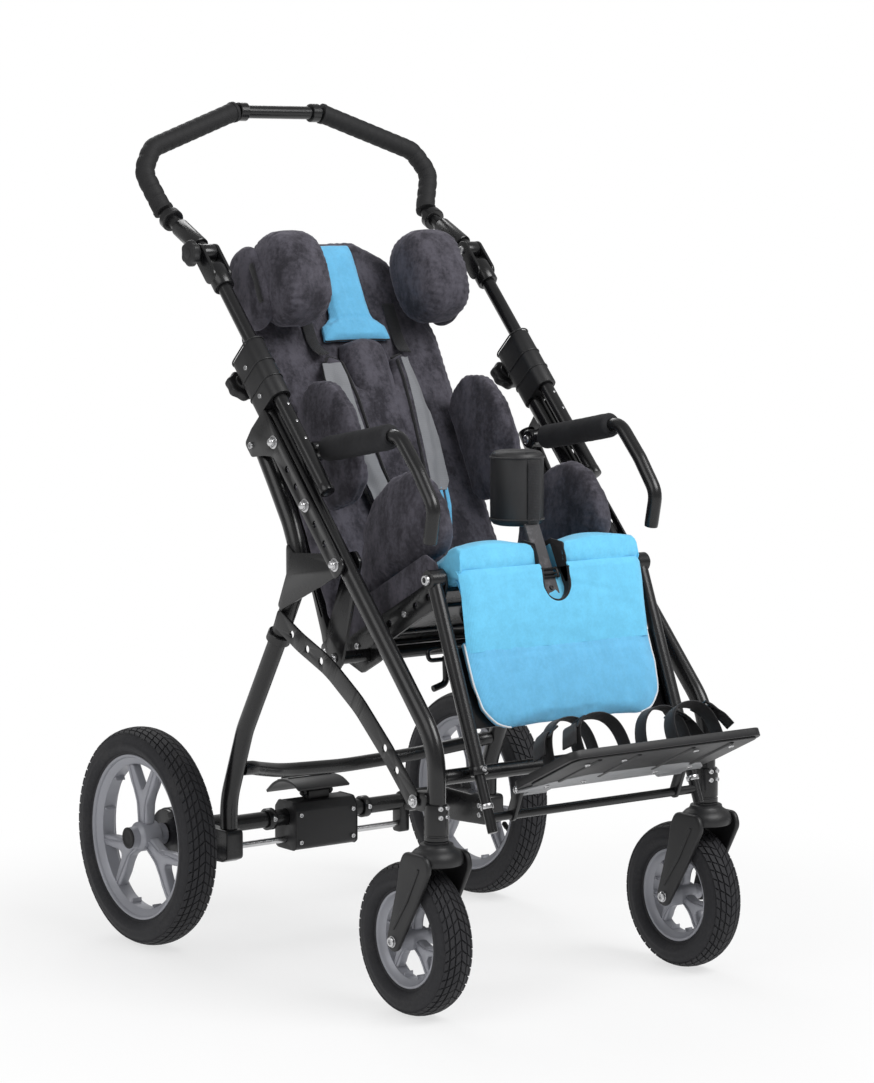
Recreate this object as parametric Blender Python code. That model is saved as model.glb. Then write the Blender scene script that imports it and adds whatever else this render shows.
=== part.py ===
"""Child's tilt-in-space pushchair wheelchair, as named pieces on their joint axes.

Metres, +Z up. The occupant faces -Y, and right and left are the occupant's own.
While the pieces are drawn, Y is measured from the rear axle. The last step moves
the whole chair so that the origin lies under the middle of its outline.
"""

import math

import bmesh
import bpy
from mathutils import Matrix, Vector

# Clearances
GAP = 0.0003
LAYER_GAP = 0.0003
RUN = 0.0005

# Widths that the rest is set from
FRAME_HALF_WIDTH = 0.2285
SEAT_HALF = 0.1575

# Rear wheels
REAR_WHEEL_R = 0.155
REAR_WHEEL_OFFSET = 0.0635
REAR_HALF_TRACK = FRAME_HALF_WIDTH + REAR_WHEEL_OFFSET
REAR_TYRE_HALF_WIDTH = 0.0265
REAR_RIM_R = 0.1172
REAR_RIM_HALF_WIDTH = 0.019
REAR_HUB_R = 0.021
REAR_HUB_HALF_WIDTH = 0.0295
AXLE_R = 0.0078

# Casters
CASTER_R = 0.1008
CASTER_TYRE_HALF_WIDTH = 0.0252
CASTER_RIM_R = 0.0640
CASTER_RIM_HALF_WIDTH = 0.0165
CASTER_HUB_R = 0.0150
CASTER_TRAIL = 0.0466
FORK_LEG_INNER = 0.0285
FORK_LEG_THICK = 0.0080
FORK_LEG_END_R = 0.0140
FORK_BOLT_R = 0.0040
FORK_CROWN_LOW = 0.2065
FORK_CROWN_TOP = 0.2315
STEM_PIN_R = 0.0085
STEM_PIN_TOP = 0.2720
STEM_HOUSING_R = 0.0160
STEM_HOUSING_TOP = 0.2840
STEM_Y = -0.6015

# Side frames: oval tubes on one slope, and the push handle's tubes in front of them
FRAME_SLOPE = math.radians(47.0)
FRAME_REF_Y = -0.2376
FRAME_REF_Z = 0.7487
FRAME_TUBE_DEPTH = 0.0270
FRAME_TUBE_WIDTH = 0.0220
FRAME_BEND_R = 0.100
HANDLE_PITCH = 0.033
HANDLE_TUBE_R = 0.0100
HANDLE_LOW_T = -0.145
CLAMP_LOW_T = 0.0176
CLAMP_HIGH_T = 0.112
CLAMP_R = 0.0155
KNOB_T = 0.090
KNOB_R = 0.0235
KNOB_THICK = 0.014
ANGLE_T = 0.280
ANGLE_LUG_R = 0.0165
ANGLE_KNOB_R = 0.0185
CLEVIS_SLEEVE_LOW_T = 0.2157
CLEVIS_SLEEVE_HIGH_T = 0.252
TONGUE_HALF = 0.0100
CHEEK_THICK = 0.0050

# Push bow
BOW_R = 0.0095
BOW_RING_R = 0.0165
BOW_RING_LENGTH = 0.012
BOW_ELBOW_YZ = (0.041, 1.032)
BOW_CORNER = (FRAME_HALF_WIDTH + 0.0215, 0.060, 1.088)
BOW_SHOULDER = (FRAME_HALF_WIDTH - 0.0005, 0.072, 1.122)
BOW_TOP = (0.076, 0.092, 1.176)
GRIP_R = 0.0148

# Plates on the outer side of each side frame, in two layers
PLATE_THICK = 0.0028
HINGE_T = -0.240
NUT_TS = (-0.031, -0.140)
ARM_PIN_T = -0.0504
PLATE_BOLT_R = 0.0045
PLATE_HOLE_R = 0.0056
NUT_R = 0.0075
NUT_LENGTH = 0.0072
SIDE_PLATE_HALF = 0.014
SIDE_PLATE_TOP_T = 0.0165
LEG_TOP_N = -0.045

# Rear legs, bent tubes that meet the hinge through a welded gusset
LEG_R = 0.0125
LEG_ROUTE = (
    (-0.205, 0.718), (-0.241, 0.667), (-0.2745, 0.617), (-0.2925, 0.578), (-0.2885, 0.536),
    (-0.2414, 0.455), (-0.1586, 0.3207), (-0.1200, 0.225),
)
LEG_BOTTOM_Y = -0.1164
LEG_RING_YZ = (-0.2475, 0.4650)
DIAGONAL_PIVOT = (-0.575, 0.285)
DIAGONAL_ROUTE = (
    (-0.262, 0.4895), (-0.3179, 0.4619), (-0.3855, 0.4360), (-0.4537, 0.3938),
    (-0.516, 0.3415), (-0.575, 0.285),
)
DIAGONAL_HALF = 0.0135

# Rear axle beam and parking brake
AXLE_BAR_R = 0.012
BRACKET_LOW = REAR_WHEEL_R - 0.029
BRACKET_TOP = REAR_WHEEL_R + 0.021
BRACKET_FRONT_Y = -0.135
BRACKET_BACK_Y = 0.014
BRACKET_IN_X = FRAME_HALF_WIDTH - 0.012
BRACKET_OUT_X = FRAME_HALF_WIDTH + 0.015
DRUM_R = 0.036
BLOCK_HALF_X = 0.055
BLOCK_LOW = REAR_WHEEL_R - 0.047
BLOCK_TOP = REAR_WHEEL_R + 0.023
BLOCK_HALF_Y = 0.027
ROD_Z = REAR_WHEEL_R - 0.033
ROD_R = 0.0048
ROD_HALF = BRACKET_IN_X - 0.0718
PEDAL_PIVOT = (0.0, BLOCK_TOP + 0.009)
PEDAL_HALF_X = 0.045
REAR_CROSS_R = 0.010
FRONT_CROSS_R = 0.010
FRONT_CROSS_YZ = (-0.592, 0.314)

# Seat: its plane rises to the front, and the back stands square to it
SEAT_SIDE_GAP = 0.0015
SEAT_PLATE_THICK = 0.0040
SEAT_TILT = math.radians(27.0)
SEAT_BACK_CORNER = (-0.288, 0.481)
SEAT_DEPTH = 0.295
CUSHION_THICK = 0.045
APRON_DROP = 0.118
SEAT_PAN_THICK = 0.006
SEAT_PLATE_IN = SEAT_HALF + SEAT_SIDE_GAP
SEAT_PLATE_OUT = SEAT_PLATE_IN + SEAT_PLATE_THICK
TILT_PIVOT = (-0.358, 0.442)
TILT_TUBE_R = 0.009
CARRIER_OUT_X = FRAME_HALF_WIDTH - FRAME_TUBE_WIDTH / 2 - 0.0007
CARRIER_THICK = 0.0043
BACK_PIVOT_UV = (-0.045, -0.030)
BACK_PAD_THICK = 0.035
BACK_SHELL_THICK = 0.008
BACK_SHELL_HALF = SEAT_PLATE_IN - 0.0010
BACK_HALF = BACK_SHELL_HALF + 0.010
BACK_HEIGHT = 0.585
HEAD_V = BACK_HEIGHT - 0.105
PIN_R = 0.0040

# Leg rest and foot plate
LEG_PIVOT = (-0.522, 0.560)
LEG_ANGLE = math.radians(22.0)
LEG_TUBE_R = 0.0100
LEG_TUBE_X = SEAT_PLATE_OUT + 0.0008 + LEG_TUBE_R
LEG_EYE_REACH = 0.0104
LEG_TUBE_LENGTH = 0.262
LEG_BORE_R = 0.0078
LEG_BORE_FROM = 0.165
CALF_FROM = 0.086
CALF_TO = 0.200
CALF_HALF = SEAT_HALF + 0.0005
CALF_FRONT = 0.0128
CALF_PLATE_FROM = 0.0085
CALF_PLATE_THICK = 0.0030
SLIDER_ROD_R = 0.0072
SLIDER_FROM = 0.205
SLIDER_TO = 0.338
SLIDER_BAR_AT = 0.318
FOOT_HINGE_ALONG = 0.291
FOOT_HINGE_FRONT = 0.026
FOOT_TILT = math.radians(25.5)
FOOT_LENGTH = 0.151
FOOT_HALF = 0.160
FOOT_EAR_X = FOOT_HALF - 0.0255
FOOT_EAR_THICK = 0.0055
FOOT_PLATE_LOW = -0.008
FOOT_PLATE_TOP = -0.005
FOOT_TRAY_TOP = 0.006
STRAP_RISE = 0.062
STRAP_SPAN = 0.060

# Armrests
ARM_SET_IN = 0.0415
ARM_X = FRAME_HALF_WIDTH - ARM_SET_IN
ARM_TUBE_R = 0.0095
ARM_PAD_R = 0.0170
ARM_ROUTE = (
    (-0.300, 0.7165), (-0.355, 0.7255), (-0.4640, 0.7450), (-0.5070, 0.7000),
    (-0.5410, 0.6550), (-0.5310, 0.6080),
)
ARM_PAD_ROUTE = ((-0.2995, 0.7164), (-0.355, 0.7255), (-0.4480, 0.7422))

# Soft supports
POMMEL_R = 0.036
POMMEL_Y = -0.4745
POMMEL_LOW = 0.6175
POMMEL_TOP = 0.7175
POMMEL_BAR_U = 0.2548
POMMEL_BAR_THICK = 0.004
POMMEL_BAR_HALF = 0.0120
SLOT_HALF = 0.024
HIP_THICK = 0.045
HIP_OUT_X = SEAT_HALF + 0.0005
HIP_IN_X = HIP_OUT_X - HIP_THICK
TRUNK_THICK = 0.040
TRUNK_OUT_X = SEAT_HALF - 0.0055
TRUNK_IN_X = TRUNK_OUT_X - TRUNK_THICK
WING_THICK = 0.078
WING_OUT_X = SEAT_HALF + 0.0105
WING_IN_X = WING_OUT_X - WING_THICK

FINISHES = {
    "frame_black": ((0.018, 0.018, 0.020), 0.35, 0.6),
    "moulded_black": ((0.022, 0.022, 0.024), 0.55, 0.0),
    "rubber_black": ((0.020, 0.020, 0.022), 0.80, 0.0),
    "tyre_black": ((0.030, 0.030, 0.033), 0.85, 0.0),
    "rim_grey": ((0.270, 0.270, 0.310), 0.38, 0.5),
    "steel": ((0.550, 0.550, 0.560), 0.25, 1.0),
    "suede_grey": ((0.075, 0.068, 0.090), 0.95, 0.0),
    "cover_blue": ((0.120, 0.520, 0.830), 0.90, 0.0),
    "plate_grey": ((0.420, 0.420, 0.420), 0.40, 0.8),
    "webbing_black": ((0.020, 0.019, 0.024), 0.85, 0.0),
}

SIDES = (("right", -1), ("left", 1))
PIVOTS = {}
EMPTIES = {}


def clear_scene():
    """Remove what the opened file holds."""
    for thing in list(bpy.data.objects):
        bpy.data.objects.remove(thing, do_unlink=True)


def finish(name):
    """The Principled material of one finish, made once."""
    material = bpy.data.materials.get(name)
    if material is None:
        colour, roughness, metallic = FINISHES[name]
        material = bpy.data.materials.new(name)
        material.use_nodes = True
        shader = material.node_tree.nodes["Principled BSDF"]
        shader.inputs["Base Color"].default_value = (*colour, 1.0)
        shader.inputs["Roughness"].default_value = roughness
        shader.inputs["Metallic"].default_value = metallic
        material.diffuse_color = (*colour, 1.0)
    return material


# Bodies: one empty on each joint's axis, in the tree in which they move


def body(name, pivot, parent=None):
    """An empty on a joint's axis, which carries the pieces that turn or slide there."""
    empty = bpy.data.objects.new("axis_" + name, None)
    empty.empty_display_size = 0.03
    bpy.context.scene.collection.objects.link(empty)
    base = Vector((0, 0, 0))
    if parent is not None:
        empty.parent = EMPTIES[parent]
        base = PIVOTS[parent]
    empty.location = Vector(pivot) - base
    PIVOTS[name] = Vector(pivot)
    EMPTIES[name] = empty


def settle(thing, name, body_name, finish_name):
    """Name a finished solid, give it its finish and hang it on its body's axis."""
    thing.name = name
    thing.data.name = name
    thing.data.materials.clear()
    thing.data.materials.append(finish(finish_name))
    thing.data.transform(Matrix.Translation(-PIVOTS[body_name]))
    thing.parent = EMPTIES[body_name]
    thing.data.shade_smooth()
    thing.data.set_sharp_from_angle(angle=math.radians(35))
    return thing


def from_bmesh(bm):
    """A loose object from a bmesh, its faces pointing out."""
    bmesh.ops.recalc_face_normals(bm, faces=bm.faces)
    if bm.calc_volume(signed=True) < 0:
        bmesh.ops.reverse_faces(bm, faces=bm.faces)
    mesh = bpy.data.meshes.new("solid")
    bm.to_mesh(mesh)
    bm.free()
    thing = bpy.data.objects.new("solid", mesh)
    bpy.context.scene.collection.objects.link(thing)
    return thing


def evaluated(thing):
    """A new mesh of an object as its modifiers or its bevel leave it."""
    bpy.context.view_layer.update()
    graph = bpy.context.evaluated_depsgraph_get()
    return bpy.data.meshes.new_from_object(thing.evaluated_get(graph))


def fuse(solids, cuts=()):
    """Join overlapping solids into one body, and take the cutters out of it."""
    base = solids[0]
    steps = [(tool, "UNION") for tool in solids[1:]] + [(tool, "DIFFERENCE") for tool in cuts]
    for tool, operation in steps:
        modifier = base.modifiers.new(operation.lower(), "BOOLEAN")
        modifier.operation = operation
        modifier.solver = "EXACT"
        modifier.object = tool
    mesh = evaluated(base)
    base.modifiers.clear()
    base.data = mesh
    for tool, _ in steps:
        bpy.data.objects.remove(tool, do_unlink=True)
    bm = bmesh.new()
    bm.from_mesh(mesh)
    bmesh.ops.remove_doubles(bm, verts=bm.verts, dist=2e-6)
    bmesh.ops.dissolve_degenerate(bm, edges=bm.edges, dist=1e-6)
    bm.to_mesh(mesh)
    bm.free()
    return base


# Solids


def rod(start, end, radius, sides=12, end_radius=None):
    """A round bar between two points, or a cone frustum."""
    start = Vector(start)
    end = Vector(end)
    along = end - start
    bm = bmesh.new()
    bmesh.ops.create_cone(
        bm, cap_ends=True, segments=sides, radius1=radius,
        radius2=radius if end_radius is None else end_radius, depth=along.length,
    )
    turn = Vector((0, 0, 1)).rotation_difference(along).to_matrix().to_4x4()
    bmesh.ops.transform(bm, matrix=Matrix.Translation((start + end) / 2) @ turn, verts=bm.verts)
    return from_bmesh(bm)


def cross_rod(x_from, x_to, yz, radius, sides=12):
    """A round bar along X."""
    return rod((x_from, *yz), (x_to, *yz), radius, sides)


def block(low, high):
    """A box between two corners."""
    bm = bmesh.new()
    bmesh.ops.create_cube(bm, size=1)
    low = Vector(low)
    high = Vector(high)
    size = high - low
    bmesh.ops.scale(bm, vec=size, verts=bm.verts)
    bmesh.ops.translate(bm, vec=(low + high) / 2, verts=bm.verts)
    return from_bmesh(bm)


def plate(outline, x_from, x_to):
    """A flat plate square to X, from its outline in Y and Z."""
    bm = bmesh.new()
    corners = [bm.verts.new((x_from, y, z)) for y, z in outline]
    face = bm.faces.new(corners)
    grown = bmesh.ops.extrude_face_region(bm, geom=[face])
    top = [v for v in grown["geom"] if isinstance(v, bmesh.types.BMVert)]
    bmesh.ops.translate(bm, vec=(x_to - x_from, 0, 0), verts=top)
    return from_bmesh(bm)


def fillet(points, radius, steps=4):
    """The route with each inner corner rounded, as far as its neighbours leave room."""
    points = [Vector(p) for p in points]
    out = [points[0]]
    for before, corner, after in zip(points, points[1:], points[2:]):
        back = (before - corner).normalized()
        ahead = (after - corner).normalized()
        half = back.angle(ahead) / 2
        reach = radius / math.tan(half)
        reach = min(reach, 0.48 * (before - corner).length, 0.48 * (after - corner).length)
        start = corner + back * reach
        end = corner + ahead * reach
        for k in range(steps + 1):
            s = k / steps
            out.append(start.lerp(corner, s).lerp(corner.lerp(end, s), s))
    out.append(points[-1])
    return out


def pipe(route, radius, sides=10):
    """A round tube along a route, with closed ends."""
    curve = bpy.data.curves.new("route", "CURVE")
    curve.dimensions = "3D"
    curve.bevel_depth = radius
    curve.bevel_resolution = (sides - 4) // 2
    curve.use_fill_caps = True
    spline = curve.splines.new("POLY")
    spline.points.add(len(route) - 1)
    for point, place in zip(spline.points, route):
        point.co = (*place, 1.0)
    guide = bpy.data.objects.new("route", curve)
    bpy.context.scene.collection.objects.link(guide)
    mesh = evaluated(guide)
    bpy.data.objects.remove(guide, do_unlink=True)
    bm = bmesh.new()
    bm.from_mesh(mesh)
    bmesh.ops.remove_doubles(bm, verts=bm.verts, dist=1e-6)
    return from_bmesh(bm)


def bore_radius(radius, sides):
    """The radius of a bore that clears a bar of any turn, both with few sides."""
    return radius / math.cos(math.pi / sides) + RUN


def turned(profile, centre, steps):
    """A ring or a solid of revolution about an X axis, from (offset, radius) points."""
    bm = bmesh.new()
    closed = all(r > 0 for _, r in profile)
    corners = [bm.verts.new((x, 0, -r)) for x, r in profile]
    pairs = list(zip(corners, corners[1:]))
    if closed:
        pairs.append((corners[-1], corners[0]))
    edges = [bm.edges.new(pair) for pair in pairs]
    bmesh.ops.spin(
        bm, geom=corners + edges, cent=(0, 0, 0), axis=(1, 0, 0), angle=2 * math.pi,
        steps=steps, use_merge=True,
    )
    bmesh.ops.remove_doubles(bm, verts=bm.verts, dist=1e-6)
    bmesh.ops.translate(bm, vec=centre, verts=bm.verts)
    return from_bmesh(bm)


def pillow(outline, plane, low, high, rounding, crown=0.0, back_crown=0.0, crown_in=0.02):
    """A closed pad: an outline between two depths, its edges rolled and its faces crowned."""
    low += back_crown
    high -= crown
    bm = bmesh.new()
    face = bm.faces.new([bm.verts.new((a, b, low + rounding)) for a, b in outline])
    bmesh.ops.recalc_face_normals(bm, faces=bm.faces)
    if face.normal.z < 0:
        face.normal_flip()
    grown = bmesh.ops.extrude_face_region(bm, geom=[face], use_keep_orig=True)
    top_corners = [v for v in grown["geom"] if isinstance(v, bmesh.types.BMVert)]
    top = next(f for f in grown["geom"] if isinstance(f, bmesh.types.BMFace))
    bmesh.ops.translate(bm, vec=(0, 0, high - low - 2 * rounding), verts=top_corners)
    bmesh.ops.recalc_face_normals(bm, faces=bm.faces)
    for side, swell in ((top, crown), (face, back_crown)):
        bmesh.ops.inset_region(bm, faces=[side], thickness=0.30 * rounding, depth=0.62 * rounding)
        bmesh.ops.inset_region(bm, faces=[side], thickness=0.70 * rounding, depth=0.38 * rounding)
        if swell:
            bmesh.ops.inset_region(bm, faces=[side], thickness=0.35 * crown_in, depth=0.65 * swell)
            bmesh.ops.inset_region(bm, faces=[side], thickness=0.65 * crown_in, depth=0.35 * swell)
    for vert in bm.verts:
        a, b, c = vert.co
        vert.co = plane(a, b, c)
    return from_bmesh(bm)


def rounded_outline(low, high, radius, steps=4):
    """A rectangle's outline with round corners, counter-clockwise."""
    points = []
    centres = (
        (high[0] - radius, high[1] - radius, 0), (low[0] + radius, high[1] - radius, 1),
        (low[0] + radius, low[1] + radius, 2), (high[0] - radius, low[1] + radius, 3),
    )
    for cx, cy, quarter in centres:
        for k in range(steps + 1):
            angle = (quarter + k / steps) * math.pi / 2
            points.append((cx + radius * math.cos(angle), cy + radius * math.sin(angle)))
    return points


def capsule(start, end, radius, steps=6):
    """The outline round two points at one distance."""
    heading = math.atan2(end[1] - start[1], end[0] - start[0])
    points = []
    for centre, turn in ((end, -math.pi / 2), (start, math.pi / 2)):
        for k in range(steps + 1):
            angle = heading + turn + math.pi * k / steps
            points.append((centre[0] + radius * math.cos(angle), centre[1] + radius * math.sin(angle)))
    return points


# Working directions


SLOPE_Y = math.cos(FRAME_SLOPE)
SLOPE_Z = math.sin(FRAME_SLOPE)


def frame_yz(t, n=0.0):
    """A point by its distance up the side frame's slope, and in front of the frame tube."""
    return (
        FRAME_REF_Y + t * SLOPE_Y - n * SLOPE_Z,
        FRAME_REF_Z + t * SLOPE_Z + n * SLOPE_Y,
    )


def seat_yz(u, v):
    """A point by its distance forward along the seat and up from its surface."""
    return (
        SEAT_BACK_CORNER[0] - u * math.cos(SEAT_TILT) + v * math.sin(SEAT_TILT),
        SEAT_BACK_CORNER[1] + u * math.sin(SEAT_TILT) + v * math.cos(SEAT_TILT),
    )


def leg_yz(along, front=0.0):
    """A point by its distance down the leg rest, and in front of its tubes."""
    return (
        LEG_PIVOT[0] - along * math.sin(LEG_ANGLE) - front * math.cos(LEG_ANGLE),
        LEG_PIVOT[1] - along * math.cos(LEG_ANGLE) + front * math.sin(LEG_ANGLE),
    )


FOOT_HINGE = leg_yz(FOOT_HINGE_ALONG, FOOT_HINGE_FRONT)


def foot_yz(p, q):
    """A point by its distance forward along the foot plate and up from its hinge line."""
    return (
        FOOT_HINGE[0] - p * math.cos(FOOT_TILT) + q * math.sin(FOOT_TILT),
        FOOT_HINGE[1] + p * math.sin(FOOT_TILT) + q * math.cos(FOOT_TILT),
    )


TUBE_FACE_X = FRAME_HALF_WIDTH + FRAME_TUBE_WIDTH / 2
INNER_LAYER = (TUBE_FACE_X + 0.0005, TUBE_FACE_X + 0.0005 + PLATE_THICK)
OUTER_LAYER = (INNER_LAYER[1] + LAYER_GAP, INNER_LAYER[1] + LAYER_GAP + PLATE_THICK)
NUT_FACE_X = OUTER_LAYER[1] + GAP
HOLE_FROM = FRAME_HALF_WIDTH - 0.030
HOLE_TO = FRAME_HALF_WIDTH + 0.032
HINGE_YZ = frame_yz(HINGE_T)
ANGLE_YZ = frame_yz(ANGLE_T, HANDLE_PITCH)
CASTER_Y = STEM_Y + CASTER_TRAIL
BACK_PIVOT = seat_yz(*BACK_PIVOT_UV)


def make_bodies():
    """The tree of joint axes."""
    body("frame", (0, 0, 0))
    body("rear_frame", (0, *HINGE_YZ), "frame")
    body("brake_pedal", (0, *PEDAL_PIVOT), "rear_frame")
    body("brake_rod", (0, 0, ROD_Z), "rear_frame")
    body("handle", (0, *frame_yz(CLAMP_HIGH_T, HANDLE_PITCH)), "frame")
    body("push_bow", (0, *ANGLE_YZ), "handle")
    knob_x = -(FRAME_HALF_WIDTH + TONGUE_HALF + CHEEK_THICK + GAP)
    body("angle_knob", (knob_x, *ANGLE_YZ), "handle")
    body("seat", (0, *TILT_PIVOT), "frame")
    body("back", (0, *BACK_PIVOT), "seat")
    body("head", (0, *seat_yz(0.0, HEAD_V)), "back")
    body("pommel", (0, *seat_yz(POMMEL_BAR_U, 0.0)), "seat")
    body("release_lever", (0, *seat_yz(0.145, -0.062)), "seat")
    body("leg_rest", (0, *LEG_PIVOT), "seat")
    body("foot_slider", (0, *leg_yz(SLIDER_BAR_AT)), "leg_rest")
    body("foot_plate", (0, *FOOT_HINGE), "foot_slider")
    for side, s in SIDES:
        body("diagonal_" + side, (s * OUTER_LAYER[0], *DIAGONAL_PIVOT), "frame")
        body("rear_wheel_" + side, (s * REAR_HALF_TRACK, 0, REAR_WHEEL_R), "rear_frame")
        body("caster_fork_" + side, (s * FRAME_HALF_WIDTH, STEM_Y, FORK_CROWN_TOP), "frame")
        body("caster_wheel_" + side, (s * FRAME_HALF_WIDTH, CASTER_Y, CASTER_R), "caster_fork_" + side)
        body("clamp_knob_" + side, (s * FRAME_HALF_WIDTH, *frame_yz(KNOB_T, -CLAMP_R)), "frame")
        body("armrest_" + side, (s * ARM_X, *frame_yz(ARM_PIN_T)), "frame")
        body("hip_pad_" + side, (s * HIP_OUT_X, *seat_yz(0.15, 0.0)), "seat")
        body("trunk_pad_" + side, (s * TRUNK_OUT_X, *seat_yz(0.0, 0.23)), "back")
        body("head_wing_" + side, (s * WING_OUT_X, *seat_yz(0.0, HEAD_V)), "head")


# Frame


def side_tube(side, s):
    """Oval side tube with the caster housing, its bolts and the armrest's pin."""
    x = s * FRAME_HALF_WIDTH
    corner_z = FRAME_REF_Z + (STEM_Y - FRAME_REF_Y) * math.tan(FRAME_SLOPE)
    route = fillet(
        [(0, *frame_yz(CLAMP_LOW_T - GAP)), (0, STEM_Y, corner_z), (0, STEM_Y, 0.255)],
        FRAME_BEND_R, 5,
    )
    tube = pipe(route, FRAME_TUBE_DEPTH / 2, 10)
    tube.data.transform(Matrix.Scale(FRAME_TUBE_WIDTH / FRAME_TUBE_DEPTH, 4, Vector((1, 0, 0))))
    tube.data.transform(Matrix.Translation((x, 0, 0)))
    ring_low = FORK_CROWN_TOP + 0.0045
    housing = rod((x, STEM_Y, ring_low), (x, STEM_Y, STEM_HOUSING_TOP), STEM_HOUSING_R, 16)
    lug_low = (s * (FRAME_HALF_WIDTH - 0.006), STEM_Y, DIAGONAL_PIVOT[1] - 0.012)
    lug_high = (s * (OUTER_LAYER[0] - GAP), DIAGONAL_PIVOT[0] + 0.010, DIAGONAL_PIVOT[1] + 0.012)
    lug = block([min(a, b) for a, b in zip(lug_low, lug_high)], [max(a, b) for a, b in zip(lug_low, lug_high)])
    solids = [tube, housing, lug]
    solids.append(cross_rod(x, s * (NUT_FACE_X + 0.001), DIAGONAL_PIVOT, PLATE_BOLT_R, 10))
    solids.append(cross_rod(s * NUT_FACE_X, s * (NUT_FACE_X + NUT_LENGTH * 0.6), DIAGONAL_PIVOT, NUT_R, 6))
    for t in (HINGE_T, *NUT_TS):
        place = frame_yz(t)
        solids.append(cross_rod(x, s * (NUT_FACE_X + 0.001), place, PLATE_BOLT_R, 10))
        solids.append(cross_rod(s * NUT_FACE_X, s * (NUT_FACE_X + NUT_LENGTH), place, NUT_R, 6))
    inner_head = CARRIER_OUT_X - CARRIER_THICK - GAP
    solids.append(cross_rod(x, s * (inner_head - 0.001), HINGE_YZ, PLATE_BOLT_R, 10))
    solids.append(cross_rod(s * inner_head, s * (inner_head - 0.004), HINGE_YZ, NUT_R, 6))
    solids.append(cross_rod(x, s * (ARM_X - 0.010), frame_yz(ARM_PIN_T), 0.0055, 12))
    solids.append(cross_rod(s * (FRAME_HALF_WIDTH - 0.006), s * (ARM_X + 0.0095), frame_yz(ARM_PIN_T), 0.0085, 12))
    bore = rod((x, STEM_Y, 0.20), (x, STEM_Y, STEM_PIN_TOP + 0.001), STEM_PIN_R + 0.0008, 16)
    settle(fuse(solids, [bore]), "side_tube_" + side, "frame", "frame_black")


def side_plate(side, s):
    """Perforated plate bolted along the side tube, reaching back to the leg's top."""
    low_t = HINGE_T - 0.015
    corners = (
        (low_t, -SIDE_PLATE_HALF), (low_t, SIDE_PLATE_HALF), (SIDE_PLATE_TOP_T, SIDE_PLATE_HALF),
        (SIDE_PLATE_TOP_T, -0.030), (0.012, LEG_TOP_N - 0.010), (-0.012, LEG_TOP_N - 0.010),
        (-0.030, -0.030), (-0.045, -SIDE_PLATE_HALF),
    )
    outline = [frame_yz(t, n) for t, n in corners]
    sheet = plate(outline, s * OUTER_LAYER[0], s * OUTER_LAYER[1])
    cuts = []
    for t in (HINGE_T, *NUT_TS):
        cuts.append(cross_rod(s * HOLE_FROM, s * HOLE_TO, frame_yz(t), PLATE_HOLE_R, 10))
    for t in (-0.205, -0.172, -0.108, -0.078):
        cuts.append(cross_rod(s * HOLE_FROM, s * HOLE_TO, frame_yz(t), 0.0048, 8))
    bolt = cross_rod(s * (OUTER_LAYER[0] + 0.001), s * (OUTER_LAYER[1] + 0.004), frame_yz(0.0, LEG_TOP_N), 0.0075, 8)
    settle(fuse([sheet, bolt], cuts), "side_plate_" + side, "frame", "frame_black")


def handle_clamp(side, s):
    """Moulded block over the side tube's end, with the bore that the handle slides in."""
    x = s * FRAME_HALF_WIDTH
    bm = bmesh.new()
    outline = capsule((0.0, 0.0), (0.0, HANDLE_PITCH), CLAMP_R)
    face = bm.faces.new([bm.verts.new((x + a, *frame_yz(CLAMP_LOW_T, n))) for a, n in outline])
    grown = bmesh.ops.extrude_face_region(bm, geom=[face])
    length = CLAMP_HIGH_T - CLAMP_LOW_T
    top = [v for v in grown["geom"] if isinstance(v, bmesh.types.BMVert)]
    bmesh.ops.translate(bm, vec=(0, length * SLOPE_Y, length * SLOPE_Z), verts=top)
    shell = from_bmesh(bm)
    start = (x, *frame_yz(CLAMP_LOW_T - 0.02, HANDLE_PITCH))
    end = (x, *frame_yz(CLAMP_HIGH_T + 0.02, HANDLE_PITCH))
    bore = rod(start, end, HANDLE_TUBE_R + 0.0008, 16)
    settle(fuse([shell], [bore]), "handle_clamp_" + side, "frame", "moulded_black")


def clamp_knob(side, s):
    """Round clamping knob behind the block."""
    x = s * FRAME_HALF_WIDTH
    n = -CLAMP_R - GAP
    neck = rod((x, *frame_yz(KNOB_T, n)), (x, *frame_yz(KNOB_T, n - 0.006)), 0.010, 12)
    disc = rod((x, *frame_yz(KNOB_T, n - 0.005)), (x, *frame_yz(KNOB_T, n - 0.005 - KNOB_THICK)), KNOB_R, 16)
    settle(fuse([neck, disc]), "clamp_knob_" + side, "clamp_knob_" + side, "moulded_black")


def front_cross_tube():
    """Tube between the side frames, above the casters."""
    reach = FRAME_HALF_WIDTH - FRAME_TUBE_WIDTH / 2 - GAP
    tube = cross_rod(-reach, reach, FRONT_CROSS_YZ, FRONT_CROSS_R, 12)
    settle(tube, "front_cross_tube", "frame", "frame_black")


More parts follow.
